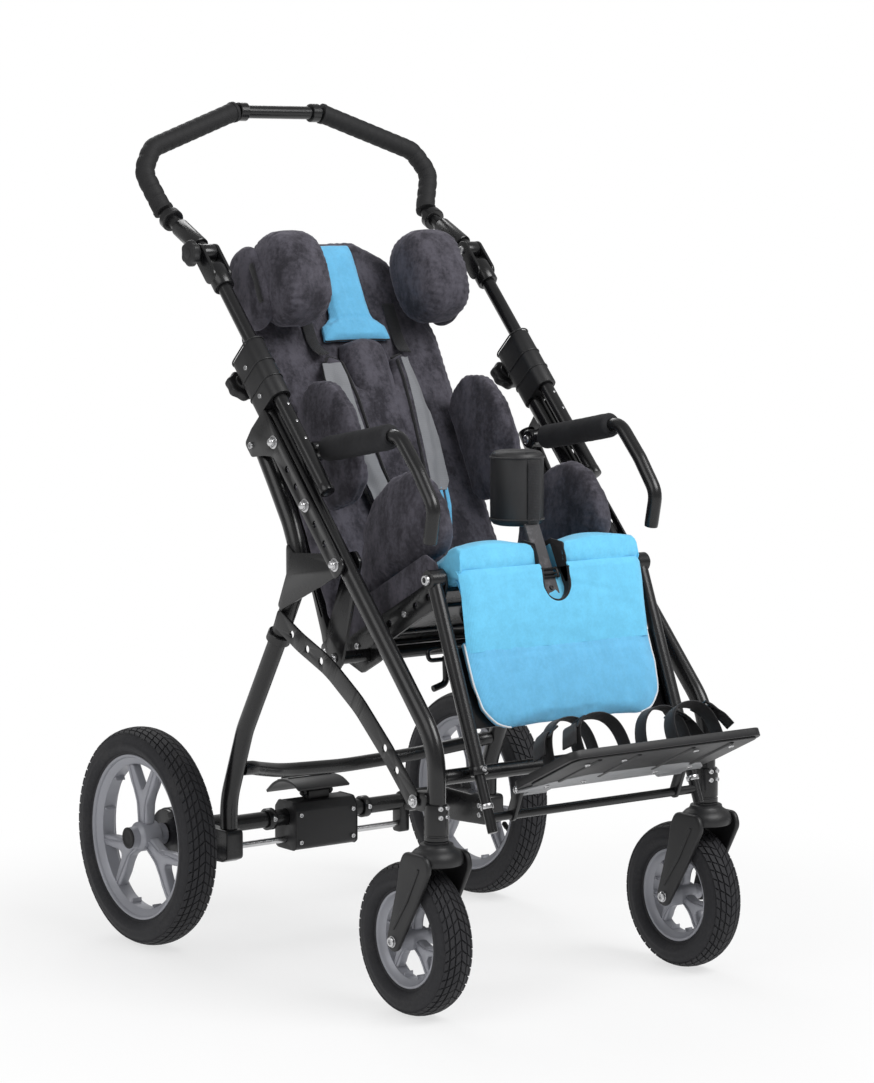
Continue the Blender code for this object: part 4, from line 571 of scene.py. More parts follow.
def finish_of(key):
    """The material of one finish, made once."""
    if key not in MADE:
        MADE[key] = MAKERS[key]()
    return MADE[key]


# Shapes: each is a small bmesh that is then joined to its piece


def outward(bm):
    """Turn a closed shape's faces out."""
    bmesh.ops.recalc_face_normals(bm, faces=bm.faces)
    if bm.calc_volume(signed=True) < 0:
        bmesh.ops.reverse_faces(bm, faces=bm.faces)
    return bm


def join(bm, part, place=None, closed=True):
    """Add one shape to a piece."""
    if place is not None:
        bmesh.ops.transform(part, matrix=place, verts=part.verts)
    if closed:
        outward(part)
    mesh = bpy.data.meshes.new("part")
    part.to_mesh(mesh)
    part.free()
    bm.from_mesh(mesh)
    bpy.data.meshes.remove(mesh)


def lead_for(z):
    """A lead that doesn't run along the heading."""
    return Vector((1, 0, 0)) if abs(z.x) < 0.9 else Vector((0, 0, 1))


def aimed(start, end, lead=None):
    """A place at start whose Z runs to end, and whose X keeps to a lead."""
    z = (Vector(end) - Vector(start)).normalized()
    lead = lead_for(z) if lead is None else Vector(lead)
    x = (lead - z * lead.dot(z)).normalized()
    y = z.cross(x)
    place = Matrix((x, y, z)).transposed().to_4x4()
    place.translation = Vector(start)
    return place


def places_along(points, lead=None):
    """Places along a route, carried without twist."""
    points = [Vector(p) for p in points]
    last = len(points) - 1
    out = []
    normal = Vector(lead) if lead is not None else None
    for k, point in enumerate(points):
        heading = (points[min(k + 1, last)] - points[max(k - 1, 0)]).normalized()
        if normal is None:
            normal = lead_for(heading)
        normal = (normal - heading * normal.dot(heading)).normalized()
        place = Matrix((normal, heading.cross(normal), heading)).transposed().to_4x4()
        place.translation = point
        out.append(place)
    return out


def sweep(points, profile, sizes_along=None, lead=None, round_ends=0.0):
    """A closed profile carried along a route, its ends filled. Its lay is kept for weaves."""
    bm = bmesh.new()
    lay = bm.verts.layers.float_vector.new("lay")
    points = [Vector(p) for p in points]
    scales = list(sizes_along) if sizes_along else [1.0] * len(points)
    if round_ends:
        first = (points[1] - points[0]).normalized()
        final = (points[-2] - points[-1]).normalized()
        start = [points[0] + first * round_ends * d for d in (0.0, 0.08, 0.35)]
        finish = [points[-1] + final * round_ends * d for d in (0.35, 0.08, 0.0)]
        half = max(math.hypot(*p) for p in profile)
        small = [1 - round_ends / half * d for d in (1.0, 0.6, 0.2)]
        points = start + points[1:-1] + finish
        scales = [scales[0] * k for k in small] + scales[1:-1] + [scales[-1] * k for k in small[::-1]]
    places = places_along(points, lead)
    for place, scale in zip(places, scales):
        place @= Matrix.Diagonal((scale, scale, scale, 1.0))
    travelled = 0.0
    around = 0.0
    ring = []
    for k, (a, b) in enumerate(profile):
        if k:
            around += math.dist(profile[k - 1], (a, b))
        vert = bm.verts.new(places[0] @ Vector((a, b, 0)))
        vert[lay] = (0.0, around, 0.0)
        ring.append(vert)
    edges = [bm.edges.new((ring[k - 1], ring[k])) for k in range(len(ring))]
    ends = [edges]
    for k in range(1, len(places)):
        travelled += (points[k] - points[k - 1]).length
        grown = bmesh.ops.extrude_edge_only(bm, edges=edges)["geom"]
        verts = {v for v in grown if isinstance(v, bmesh.types.BMVert)}
        edges = [e for e in grown if isinstance(e, bmesh.types.BMEdge) and all(v in verts for v in e.verts)]
        verts = list(verts)
        bmesh.ops.transform(bm, matrix=places[k] @ places[k - 1].inverted(), verts=verts)
        for vert in verts:
            vert[lay] = (travelled, vert[lay].y, 0.0)
    ends.append(edges)
    for rim in ends:
        bmesh.ops.edgeloop_fill(bm, edges=rim)
    return outward(bm)


def ellipse(a, b=None, sides=24):
    """An ellipse as a profile."""
    b = a if b is None else b
    return [(a * math.cos(2 * math.pi * k / sides), b * math.sin(2 * math.pi * k / sides))
        for k in range(sides)]


def ribbon(width, thick):
    """Webbing's section: flat, with soft edges."""
    w = width / 2
    t = thick / 2
    return [(-w + t, -t), (w - t, -t), (w - 0.3 * t, -0.6 * t), (w, 0), (w - 0.3 * t, 0.6 * t), (w - t, t),
        (0, t * 1.02), (-w + t, t), (-w + 0.3 * t, 0.6 * t), (-w, 0), (-w + 0.3 * t, -0.6 * t)]


def tube(points, radius, sides=24, sizes_along=None, round_ends=0.0008, oval=None, lead=None):
    """A bent tube, its ends softly rounded."""
    return sweep(points, ellipse(radius, oval, sides), sizes_along, lead, round_ends)


def crossbar(half, yz, radius, sides=24):
    """A straight tube from side to side."""
    return tube([(-half, *yz), (half, *yz)], radius, sides)


def bent(points, radius, steps, gap):
    """A route with round corners, its points at even gaps."""
    return evened(fillet(points, radius, steps), gap)


def strap(points, width, thick, radius=0.03, steps=6):
    """A narrow strap whose flat side keeps to X."""
    return sweep(bent(points, radius, steps, 0.004), ribbon(width, thick), None, (1, 0, 0), 0.0004)


def lathe(profile, steps=40):
    """A shape turned about Z from (radius, height) points, closed at its poles."""
    bm = bmesh.new()
    verts = [bm.verts.new((r, 0, z)) for r, z in profile]
    edges = [bm.edges.new(pair) for pair in zip(verts, verts[1:])]
    if profile[0][0] > 0 and profile[-1][0] > 0:
        edges.append(bm.edges.new((verts[-1], verts[0])))
    bmesh.ops.spin(bm, geom=verts + edges, cent=(0, 0, 0), axis=(0, 0, 1), angle=2 * math.pi, steps=steps,
        use_merge=True)
    bmesh.ops.remove_doubles(bm, verts=bm.verts, dist=1e-6)
    bmesh.ops.dissolve_degenerate(bm, edges=bm.edges, dist=1e-7)
    return outward(bm)


def drum(radius, length, edge=0.0008, steps=32, hollow=0.0):
    """A turned disc or bush with eased edges, from 0 to its length along Z."""
    e = edge
    outer = [(radius - e, 0), (radius - 0.3 * e, 0.3 * e), (radius, e), (radius, length - e),
        (radius - 0.3 * e, length - 0.3 * e), (radius - e, length)]
    if hollow:
        return lathe([(hollow, 0)] + outer + [(hollow, length)], steps)
    return lathe([(0, 0)] + outer + [(0, length)], steps)


def lifted(bm, height):
    """Draw all faces of a flat shape up into a solid, and give back one of the new faces."""
    grown = bmesh.ops.extrude_face_region(bm, geom=bm.faces[:], use_keep_orig=True)["geom"]
    bmesh.ops.translate(bm, vec=(0, 0, height),
        verts=[v for v in grown if isinstance(v, bmesh.types.BMVert)])
    return next(f for f in grown if isinstance(f, bmesh.types.BMFace))


def eased(bm, edge, segments=2, angle=60, level=False):
    """Round the edges that are sharper than an angle, or only those that lie level."""
    rims = [e for e in bm.edges if e.calc_face_angle(0.0) > math.radians(angle)]
    if level:
        rims = [e for e in rims if abs(e.verts[0].co.z - e.verts[1].co.z) < 1e-6]
    bmesh.ops.bevel(
        bm, geom=rims, offset=edge, offset_type="OFFSET", affect="EDGES", segments=segments, profile=0.5,
        material=-1, clamp_overlap=True)


def drilled(outline, holes):
    """A flat shape with holes through it."""
    bm = bmesh.new()
    loops = []
    for points in (outline, *holes):
        verts = [bm.verts.new((a, b, 0)) for a, b in points]
        loops += [bm.edges.new((verts[k - 1], verts[k])) for k in range(len(verts))]
    bmesh.ops.triangle_fill(bm, use_beauty=True, use_dissolve=False, edges=loops)
    return bm


def prism(outline, length, edge=0.0006, segments=2):
    """An outline in X and Y drawn out along Z, with eased edges."""
    bm = bmesh.new()
    bm.faces.new([bm.verts.new((a, b, 0)) for a, b in outline])
    lifted(bm, length)
    outward(bm)
    if edge:
        eased(bm, edge, segments, 50)
    return bm


def collar(bore, radius, length, step, edge, steps, start=0.0):
    """A turned ring with chamfers of one step in and one edge up, along Z from its start."""
    end = start + length
    return lathe([(bore, start), (radius - step, start), (radius, start + edge), (radius, end - edge),
        (radius - step, end), (bore, end)], steps)


def ring_outline(low, high, radius, steps=5):
    """A rectangle with round corners."""
    points = []
    corners = ((high[0] - radius, high[1] - radius, 0), (low[0] + radius, high[1] - radius, 1),
        (low[0] + radius, low[1] + radius, 2), (high[0] - radius, low[1] + radius, 3))
    for cx, cy, quarter in corners:
        for k in range(steps + 1):
            angle = (quarter + k / steps) * math.pi / 2
            points.append((cx + radius * math.cos(angle), cy + radius * math.sin(angle)))
    return points


def capsule(start, end, radius, end_radius=None, steps=12):
    """The outline round two points."""
    end_radius = radius if end_radius is None else end_radius
    heading = math.atan2(end[1] - start[1], end[0] - start[0])
    points = []
    for centre, turn, r in ((end, -math.pi / 2, end_radius), (start, math.pi / 2, radius)):
        for k in range(steps + 1):
            angle = heading + turn + math.pi * k / steps
            points.append((centre[0] + r * math.cos(angle), centre[1] + r * math.sin(angle)))
    return points


def circle(centre, radius, sides=28):
    """A hole's outline."""
    return [(centre[0] + a, centre[1] + b) for a, b in ellipse(radius, sides=sides)]


def softened(points, radius, steps=6):
    """A closed outline with its corners rounded."""
    loop = [(*p, 0.0) for p in points]
    rounded = fillet([loop[-1]] + loop + [loop[0]], radius, steps)[1:-1]
    return [(p.x, p.y) for p in rounded]


def band_outline(line, half):
    """The outline of a band of one width along points in a plane."""
    left, right = [], []
    last = len(line) - 1
    for k, (y, z) in enumerate(line):
        before, after = line[max(k - 1, 0)], line[min(k + 1, last)]
        heading = Vector((after[0] - before[0], after[1] - before[1])).normalized()
        left.append((y - heading.y * half, z + heading.x * half))
        right.append((y + heading.y * half, z - heading.x * half))
    return left + right[::-1]


TO_X = Matrix(((0, 0, 1, 0), (1, 0, 0, 0), (0, 1, 0, 0), (0, 0, 0, 1)))


def slab(outline, x_from, x_to, edge=None, holes=(), segments=2):
    """A plate square to X from its outline in Y and Z, with drilled holes."""
    low, high = min(x_from, x_to), max(x_from, x_to)
    edge = sizes().edge if edge is None else edge
    if holes:
        part = drilled(outline, holes)
        lifted(part, high - low)
        outward(part)
        eased(part, edge, segments, level=True)
    else:
        part = prism(outline, high - low, edge, segments)
    bmesh.ops.transform(part, matrix=Matrix.Translation((low, 0, 0)) @ TO_X, verts=part.verts)
    return outward(part)


def crossing(x, yz, out=1):
    """A place at a point whose Z runs along +X or -X."""
    return aimed((x, *yz), (x + out, *yz), (0, 0, 1))


def acorn_nut(size=0.0072, height=0.007):
    """A six-sided nut with a domed cap, its seat at Z 0."""
    bm = bmesh.new()
    join(bm, prism(circle((0, 0), size, 6), height * 0.46, 0.0005))
    dome = [(size * 0.8 * math.cos(a), height * 0.44 + height * 0.56 * math.sin(a))
        for a in [math.pi / 2 * k / 6 for k in range(7)]]
    dome[-1] = (0.0, height)
    join(bm, lathe([(0, height * 0.3), (size * 0.8, height * 0.3)] + dome, 24))
    return bm


def screw(radius=0.0042, height=0.0032):
    """A round screw head with a six-sided socket."""
    bm = bmesh.new()
    bmesh.ops.create_circle(bm, cap_ends=True, segments=24, radius=radius)
    top = lifted(bm, height * 0.7)
    bmesh.ops.inset_region(bm, faces=[top], thickness=radius * 0.14, depth=0.0)
    bmesh.ops.translate(bm, vec=(0, 0, height * 0.3), verts=top.verts[:])
    bmesh.ops.inset_region(bm, faces=[top], thickness=radius * 0.34, depth=0.0)
    bmesh.ops.inset_region(bm, faces=[top], thickness=radius * 0.02, depth=0.0)
    bmesh.ops.translate(bm, vec=(0, 0, -height * 0.55), verts=top.verts[:])
    return outward(bm)


def lobed_knob(radius, thick, lobes=7):
    """A hand knob with finger hollows, its neck at Z 0."""
    bm = bmesh.new()
    points = []
    for k in range(lobes * 12):
        angle = 2 * math.pi * k / (lobes * 12)
        out = radius * (0.945 + 0.055 * math.cos(lobes * angle))
        points.append((out * math.cos(angle), out * math.sin(angle)))
    join(bm, prism(points, thick * 0.72, thick * 0.2, 4), Matrix.Translation((0, 0, thick * 0.28)))
    join(bm, drum(radius * 0.55, thick * 0.4, 0.0008))
    join(bm, lathe([(0, thick * 0.9), (radius * 0.42, thick * 0.9), (radius * 0.4, thick * 1.02),
        (radius * 0.22, thick * 1.055), (0, thick * 1.06)], 32))
    return bm


def buckle(width=0.03, length=0.026):
    """A ladder-lock buckle: two bars in a bowed frame, flat on Z 0."""
    bm = bmesh.new()
    w, h = width / 2, length / 2
    for s in (-1, 1):
        join(bm, sweep([(s * w, -h, 0.002), (s * w, 0, 0.0034), (s * w, h, 0.002)],
            ellipse(0.0022, 0.0017, 10), round_ends=0.0005))
    for y in (-h + 0.002, -0.001, h - 0.002):
        join(bm, sweep([(-w, y, 0.0026), (0, y, 0.003), (w, y, 0.0026)], ellipse(0.0019, 0.0016, 10),
            round_ends=0.0005))
    return bm


# Finished pieces


def shown(name, data):
    """An object in the scene."""
    thing = bpy.data.objects.new(name, data)
    bpy.context.scene.collection.objects.link(thing)
    return thing


def piece(name, bm, body, finish, replaces=(), angle=40):
    """A finished piece: its mesh, its finish, and its one body where one is given."""
    mesh = bpy.data.meshes.new(name)
    bm.to_mesh(mesh)
    bm.free()
    mesh.shade_smooth()
    mesh.set_sharp_from_angle(angle=math.radians(angle))
    thing = shown(name, mesh)
    mesh.materials.append(finish_of(finish))
    bpy.context.view_layer.update()
    if body:
        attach(thing, body)
    if replaces:
        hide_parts(*([replaces] if isinstance(replaces, str) else replaces))
    return thing


def tree_of(bm):
    """A tree that finds the nearest skin of a pad."""
    return BVHTree.FromBMesh(bm)


def nearest(tree, point, off=0.0):
    """The nearest point on a skin, lifted off it."""
    place, normal, _, _ = tree.find_nearest(Vector(point))
    return place + normal * off, normal


# Soft pads: a copy of the solid is remeshed, filled like a cushion, then seamed


FILLING_FRAMES = 20
FILLING = {
    "quality": 4,
    "mass": 0.3,
    "tension_stiffness": 12,
    "compression_stiffness": 12,
    "shear_stiffness": 6,
    "bending_stiffness": 0.6,
    "use_pressure": True,
}


def swollen(mesh, cap, pressure):
    """The mesh after its filling has pushed it out, no point further than the cap."""
    scene = bpy.context.scene
    thing = shown("filling", mesh)
    cloth = thing.modifiers.new("filling", "CLOTH")
    for key, value in FILLING.items():
        setattr(cloth.settings, key, value)
    cloth.settings.uniform_pressure_force = pressure
    cloth.settings.effector_weights.gravity = 0.0
    cloth.collision_settings.use_collision = False
    cloth.collision_settings.use_self_collision = False
    cloth.point_cache.frame_start = 1
    cloth.point_cache.frame_end = FILLING_FRAMES
    for number in range(1, FILLING_FRAMES + 1):
        scene.frame_set(number)
    blown = thing.evaluated_get(bpy.context.evaluated_depsgraph_get())
    places = [v.co.copy() for v in blown.to_mesh().vertices]
    blown.to_mesh_clear()
    for vert, place in zip(mesh.vertices, places):
        shift = place - vert.co
        if shift.length > cap:
            shift *= cap / shift.length
        vert.co += shift
    thing.modifiers.clear()
    scene.frame_set(1)
    bpy.data.objects.remove(thing, do_unlink=True)
    return mesh


def relaxed(bm, factor):
    """Smooth a shape a little."""
    bmesh.ops.smooth_vert(bm, verts=bm.verts, factor=factor, use_axis_x=True, use_axis_y=True,
        use_axis_z=True)


def filled(node, voxel=0.005, shrink=0.004, cap=None, pressure=4.0, smooth=3, shape=None):
    """A soft solid's own form, remeshed and filled, as a bmesh."""
    cap = sizes().puff if cap is None else cap
    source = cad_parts[node]
    copy = source.data.copy()
    copy.transform(source.matrix_world)
    bm = bmesh.new()
    bm.from_mesh(copy)
    bmesh.ops.remove_doubles(bm, verts=bm.verts, dist=1e-5)
    bm.to_mesh(copy)
    bm.free()
    thing = shown("pad", copy)
    remesh = thing.modifiers.new("remesh", "REMESH")
    remesh.mode = "VOXEL"
    remesh.voxel_size = voxel
    bpy.context.view_layer.update()
    mesh = bpy.data.meshes.new_from_object(thing.evaluated_get(bpy.context.evaluated_depsgraph_get()))
    bpy.data.objects.remove(thing, do_unlink=True)
    bm = bmesh.new()
    bm.from_mesh(mesh)
    bmesh.ops.remove_doubles(bm, verts=bm.verts, dist=1e-6)
    for _ in range(smooth):
        relaxed(bm, 0.5)
    bm.normal_update()
    if shape:
        shape(bm)
        bm.normal_update()
    shifts = [v.normal.copy() for v in bm.verts]
    for vert, normal in zip(bm.verts, shifts):
        vert.co -= normal * shrink
    bm.to_mesh(mesh)
    bm.free()
    swollen(mesh, cap, pressure)
    bm = bmesh.new()
    bm.from_mesh(mesh)
    relaxed(bm, 0.4)
    bmesh.ops.subdivide_edges(bm, edges=bm.edges, cuts=1, use_grid_fill=True, smooth=0.4)
    relaxed(bm, 0.5)
    return outward(bm)


def seam(bm, route, depth=None, width=0.006, pucker=0.35):
    """Draw a pad in along a sewn line, gathered a little on both sides."""
    depth = sizes().seam_depth if depth is None else depth
    route = evened(route, width * 0.3)
    line = KDTree(len(route))
    for k, point in enumerate(route):
        line.insert(point, k)
    line.balance()
    bm.normal_update()
    moves = []
    for vert in bm.verts:
        _, at, near = line.find(vert.co)
        reach = near / width
        if reach > 4:
            continue
        pull = math.exp(-(reach * 1.25) ** 2)
        gather = pucker * math.exp(-((reach - 1.5) / 0.9) ** 2) * math.sin(at * width * 156) * 0.5
        moves.append((vert, -vert.normal * depth * (pull + gather)))
    for vert, move in moves:
        vert.co += move
    return bm


def folds(bm, height=None, scale=24.0, stretch=(1, 1, 1), seed=0.0, mask=None):
    """Soft low folds over a cover."""
    height = sizes().wrinkle if height is None else height
    bm.normal_update()
    moves = []
    for vert in bm.verts:
        at = Vector((vert.co.x * stretch[0], vert.co.y * stretch[1], vert.co.z * stretch[2])) * scale
        ridge = 1 - abs(noise.noise(at + Vector((seed, 0, 0)))) * 2.2
        fine = noise.noise(at * 2.7 + Vector((0, seed, 0)))
        weight = mask(vert.co) if mask else 1.0
        moves.append(vert.normal * height * weight * (0.55 * ridge + 0.35 * fine - 0.35))
    for vert, move in zip(bm.verts, moves):
        vert.co += move
    return bm


def piping_on(bm, route, radius=None, off=0.35):
    """A cord laid along a route on a pad's skin."""
    radius = sizes().piping if radius is None else radius
    tree = tree_of(bm)
    points = [nearest(tree, p, radius * off)[0] for p in evened(route, 0.004)]
    for _ in range(2):
        points = [points[0]] + [(a + 2 * b + c) / 4
            for a, b, c in zip(points, points[1:], points[2:])] + [points[-1]]
    return sweep(points, ellipse(radius, sides=10), round_ends=radius * 0.4)


def mirrored(bm):
    """A copy of a shape for the other side."""
    copy = bm.copy()
    bmesh.ops.scale(copy, vec=(-1, 1, 1), verts=copy.verts)
    return outward(copy)


def faces_between(bm, rows):
    """Faces from each row of points to the next."""
    for a, b in zip(rows, rows[1:]):
        for k in range(len(a) - 1):
            bm.faces.new((a[k], a[k + 1], b[k + 1], b[k]))


def thickened(bm, way, thickness):
    """Cloth that faces one way, given its thickness."""
    bm.normal_update()
    if sum(f.normal.dot(way) for f in bm.faces) < 0:
        bmesh.ops.reverse_faces(bm, faces=bm.faces[:])
    bmesh.ops.solidify(bm, geom=bm.faces[:], thickness=thickness)
    return outward(bm)


def held(bm, walls):
    """Keep a pad's points on the free side of flat walls, each a point and the way out."""
    for point, out in walls:
        point = Vector(point)
        out = Vector(out).normalized()
        for vert in bm.verts:
            over = (vert.co - point).dot(out)
            if over > 0:
                vert.co -= out * over
    return bm


SEAT_FORWARD = (0, -math.cos(TILT), math.sin(TILT))
SEAT_UP = (0, math.sin(TILT), math.cos(TILT))
SEAT_BACK = (0, math.cos(TILT), -math.sin(TILT))
SEAT_DOWN = (0, -math.sin(TILT), -math.cos(TILT))
LEG_BACK = (0, math.cos(LEG_ANGLE), -math.sin(LEG_ANGLE))


def on_seat(x, u, v):
    """A point by its place across, along and above the seat."""
    return Vector((x, *seat_at(u, v)))


def seat_points(pairs):
    """Y and Z of points along and up from the seat."""
    return [seat_at(u, v) for u, v in pairs]


def seat_line(x, pairs):
    """Points along and above the seat, at one place across."""
    return [on_seat(x, u, v) for u, v in pairs]


def behind_axle(pairs):
    """Y and Z of points drawn from the rear axle."""
    return [(AXLE_Y + y, z) for y, z in pairs]


def facing(u, v):
    """A place on the back's front or rear whose X and Y lie in the back's plane."""
    turned = Matrix((
        (1, 0, 0, 0),
        (0, math.sin(TILT), -math.cos(TILT), 0),
        (0, math.cos(TILT), math.sin(TILT), 0),
        (0, 0, 0, 1),
    ))
    return Matrix.Translation(on_seat(0, u, v)) @ turned


def padded_pair(name, node, bm):
    """The right pad, and its mirror image on the left."""
    for side, shape in (("right", bm), ("left", mirrored(bm))):
        pad = piece(name + side, shape, node + side, "suede", node + side, 60)


def on_leg(x, along, front):
    """A point by its place across, down and in front of the leg rest."""
    return Vector((x, *leg_at(along, front)))


def on_foot(x, p, q):
    """A point by its place across, along and above the foot plate."""
    return Vector((x, *foot_at(p, q)))


# Side frames


def side_tube_route(s):
    """Centre line of one side tube, from its clamp down to the caster."""
    corner_z = FRAME_Z + (-STEM_BACK - FRAME_Y) * math.tan(SLOPE)
    x = s * TUBE_X
    return fillet([(x, *frame_at(0.0173)), (x, STEM_Y, corner_z), (x, STEM_Y, 0.255)], 0.1, 20)


def side_frame(side, s):
    """Oval tube, caster housing, bolts and plates of one side."""
    x = s * TUBE_X
    bm = bmesh.new()
    join(bm, tube(side_tube_route(s), 0.011, 32, None, 0.0006, 0.0135, (1, 0, 0)))
    join(bm, lathe([(0.0088, 0.0), (0.015, 0.0), (0.016, 0.001), (0.016, 0.0055), (0.0152, 0.0062),
        (0.0152, 0.0078), (0.016, 0.0085), (0.016, 0.04), (0.015, 0.0465), (0.0125, 0.048),
        (0.0088, 0.048)], 40), Matrix.Translation((x, STEM_Y, 0.236)))
    lug_y = STEM_Y + 0.036
    outline = ring_outline((STEM_Y + 0.004, 0.273), (lug_y, 0.297), 0.006)
    join(bm, slab(outline, s * (TUBE_X - 0.006), s * 0.2428, 0.0012))
    join(bm, drum(0.0085, 0.046, 0.0008), crossing(s * (TUBE_X - 0.006), ARM_PIN, -s))
    join(bm, drum(0.0055, 0.034, 0.0006), crossing(s * TUBE_X, ARM_PIN, -s))
    piece("frame_tube_" + side, bm, "frame", "paint", "side_tube_" + side)
    bm = bmesh.new()
    for t in (-0.24, -0.031, -0.14):
        place = frame_at(t)
        join(bm, drum(0.0092, 0.001, 0.0003), crossing(s * (NUT_FACE_X - 0.0003), place, s))
        join(bm, acorn_nut(0.0073, 0.0082), crossing(s * (NUT_FACE_X + 0.0006), place, s))
    join(bm, drum(0.0088, 0.001, 0.0003), crossing(s * (NUT_FACE_X - 0.0003), STAY_BOLT, s))
    join(bm, acorn_nut(0.007, 0.0058), crossing(s * (NUT_FACE_X + 0.0006), STAY_BOLT, s))
    join(bm, screw(0.0062, 0.004), crossing(s * 0.2119, HINGE, -s))
    for z in (0.268, 0.2795):
        for d in (-1, 1):
            place = aimed((x + d * 0.0052, STEM_Y - 0.0148, z), (x + d * 0.009, STEM_Y - 0.03, z))
            join(bm, screw(0.0034, 0.003), place)
    join(bm, screw(0.0048, 0.0032), crossing(s * (0.2459 - 0.0002), frame_at(0.0, -0.045), s))
    piece("frame_bolts_" + side, bm, "frame", "steel")


def side_plate_of(side, s):
    """Drilled plate bolted along one side tube."""
    corners = ((-0.255, -0.014), (-0.255, 0.014), (0.0165, 0.014), (0.0165, -0.03), (0.012, -0.055),
        (-0.012, -0.055), (-0.03, -0.03), (-0.045, -0.014))
    outline = softened([frame_at(t, n) for t, n in corners], 0.0075, 5)
    holes = [circle(frame_at(t), 0.0056) for t in (-0.24, -0.031, -0.14)]
    holes += [circle(frame_at(t), 0.0048) for t in (-0.205, -0.172, -0.108, -0.078)]
    bm = bmesh.new()
    join(bm, slab(outline, s * OUTER_PLATE[0], s * OUTER_PLATE[1], 0.0005, holes))
    piece("frame_plate_" + side, bm, "frame", "paint", "side_plate_" + side)


def clamp_of(side, s):
    """Moulded block over the tube's end, bored for the handle, with its split and screws."""
    x = s * TUBE_X
    start = Vector((x, *frame_at(0.0176)))
    end = Vector((x, *frame_at(0.112)))
    place = aimed(start, end, (1, 0, 0))
    front = place.inverted() @ Vector((x, *frame_at(0.0176, HANDLE_PITCH)))
    way = 1 if front.y > 0 else -1
    bm = bmesh.new()
    outline = capsule((0, 0), (0, way * HANDLE_PITCH), 0.0155)
    block = drilled(outline, [circle((0, way * HANDLE_PITCH), 0.0108, 32)])
    lifted(block, (end - start).length)
    outward(block)
    eased(block, 0.0012, 3)
    join(bm, block, place)
    for at in (0.03, 0.058, 0.096):
        band = sweep([Vector((a * 1.012, b * 1.012 + way * HANDLE_PITCH / 2 * -0.012, at))
            for a, b in outline + outline[:1]], ellipse(0.0011, sides=8))
        join(bm, band, place)
    piece("clamp_block_" + side, bm, "frame", "moulded", "handle_clamp_" + side)
    bm = bmesh.new()
    for at in (0.036, 0.086):
        join(bm, screw(0.0036, 0.0026), crossing(x + s * 0.0153, frame_at(at, HANDLE_PITCH * 0.5), s))
    piece("clamp_screws_" + side, bm, "frame", "steel")
    bm = bmesh.new()
    back = Vector((x, *frame_at(0.09, -0.0158)))
    out = Vector((x, *frame_at(0.09, -0.04)))
    join(bm, lobed_knob(0.0232, 0.0185, 7), aimed(back, out))
    piece("clamp_handwheel_" + side, bm, "clamp_knob_" + side, "moulded", "clamp_knob_" + side)


def carrier():
    """Brackets from the hinge bolts and the tube on which the seat tilts."""
    hinge = HINGE
    tilt = TILT_PIVOT
    outline = softened([(hinge[0] - 0.016, hinge[1] + 0.004), (hinge[0] - 0.004, hinge[1] + 0.017),
        (hinge[0] + 0.013, hinge[1] + 0.013), (tilt[0] + 0.019, tilt[1] + 0.03),
        (tilt[0] + 0.017, tilt[1] - 0.006), (tilt[0] + 0.006, tilt[1] - 0.017),
        (tilt[0] - 0.01, tilt[1] - 0.014), (tilt[0] - 0.02, tilt[1] + 0.006)], 0.008, 4)
    bm = bmesh.new()
    join(bm, crossbar(0.215, tilt, 0.009, 24))
    for _, s in SIDES:
        join(bm, slab(outline, s * 0.2125, s * 0.2168, 0.0006, [circle(hinge, 0.0056)]))
        join(bm, drum(0.0125, 0.0045, 0.0006), crossing(s * 0.2125, tilt, -s))
    piece("carrier", bm, "frame", "paint", "seat_carrier")
    bm = bmesh.new()
    for _, s in SIDES:
        join(bm, acorn_nut(0.0075, 0.0065), crossing(s * 0.2166, tilt, s))
    piece("carrier_nuts", bm, "frame", "steel")
    bm = bmesh.new()
    place = (AXLE_Y - 0.592, 0.314)
    join(bm, crossbar(0.2172, place, 0.01, 28))
    for _, s in SIDES:
        join(bm, drum(0.0118, 0.006, 0.0007), crossing(s * 0.2172, place, -s))
    piece("cross_tube_front", bm, "frame", "paint", "front_cross_tube")


# Rear frame


LEG_ROUTE = (
    (-0.205, 0.718), (-0.241, 0.667), (-0.2745, 0.617), (-0.2925, 0.578), (-0.2885, 0.536),
    (-0.2414, 0.455), (-0.1586, 0.3207), (-0.12, 0.225), (-0.1164, 0.203), (-0.1164, 0.1763),
)
STAY_ROUTE = ((-0.262, 0.4895), (-0.3179, 0.4619), (-0.3855, 0.436), (-0.4537, 0.3938), (-0.516, 0.3415),
    (-0.575, 0.285))


def rear_leg_of(side, s):
    """Bent leg tube with its welded gusset, ring and end plug."""
    x = s * TUBE_X
    bm = bmesh.new()
    route = bent(moved([(x, y, z) for y, z in LEG_ROUTE]), 0.12, 10, 0.006)
    join(bm, tube(route, 0.0125, 28))
    hy, hz = HINGE
    corners = [(-0.283, 0.594), (-0.3, 0.58), (hy - AXLE_Y + 0.004, hz + 0.014),
        (hy - AXLE_Y - 0.01, hz + 0.01), (hy - AXLE_Y - 0.014, hz - 0.003),
        (hy - AXLE_Y - 0.006, hz - 0.013), (-0.27, 0.5), (-0.262, 0.505), (-0.283, 0.55)]
    outline = softened([(y + AXLE_Y, z) for y, z in corners], 0.006, 3)
    join(bm, slab(outline, s * INNER_PLATE[0], s * INNER_PLATE[1], 0.0005, [circle((hy, hz), 0.0056)]))
    ring = Vector((x, AXLE_Y - 0.2475, 0.465))
    down = Vector((0, 0.0065, -0.0108))
    join(bm, collar(0.0126, 0.017, 0.0135, 0.001, 0.001, 36, -0.001), aimed(ring, ring + down))
    weld = moved([(s * 0.24, -0.283, 0.594), (s * 0.2402, -0.292, 0.578), (s * 0.2402, -0.287, 0.552),
        (s * 0.24, -0.272, 0.52)])
    join(bm, tube(bent(weld, 0.02, 5, 0.003), 0.0019, 10))
    piece("leg_tube_" + side, bm, "rear_frame", "paint", "rear_leg_" + side)


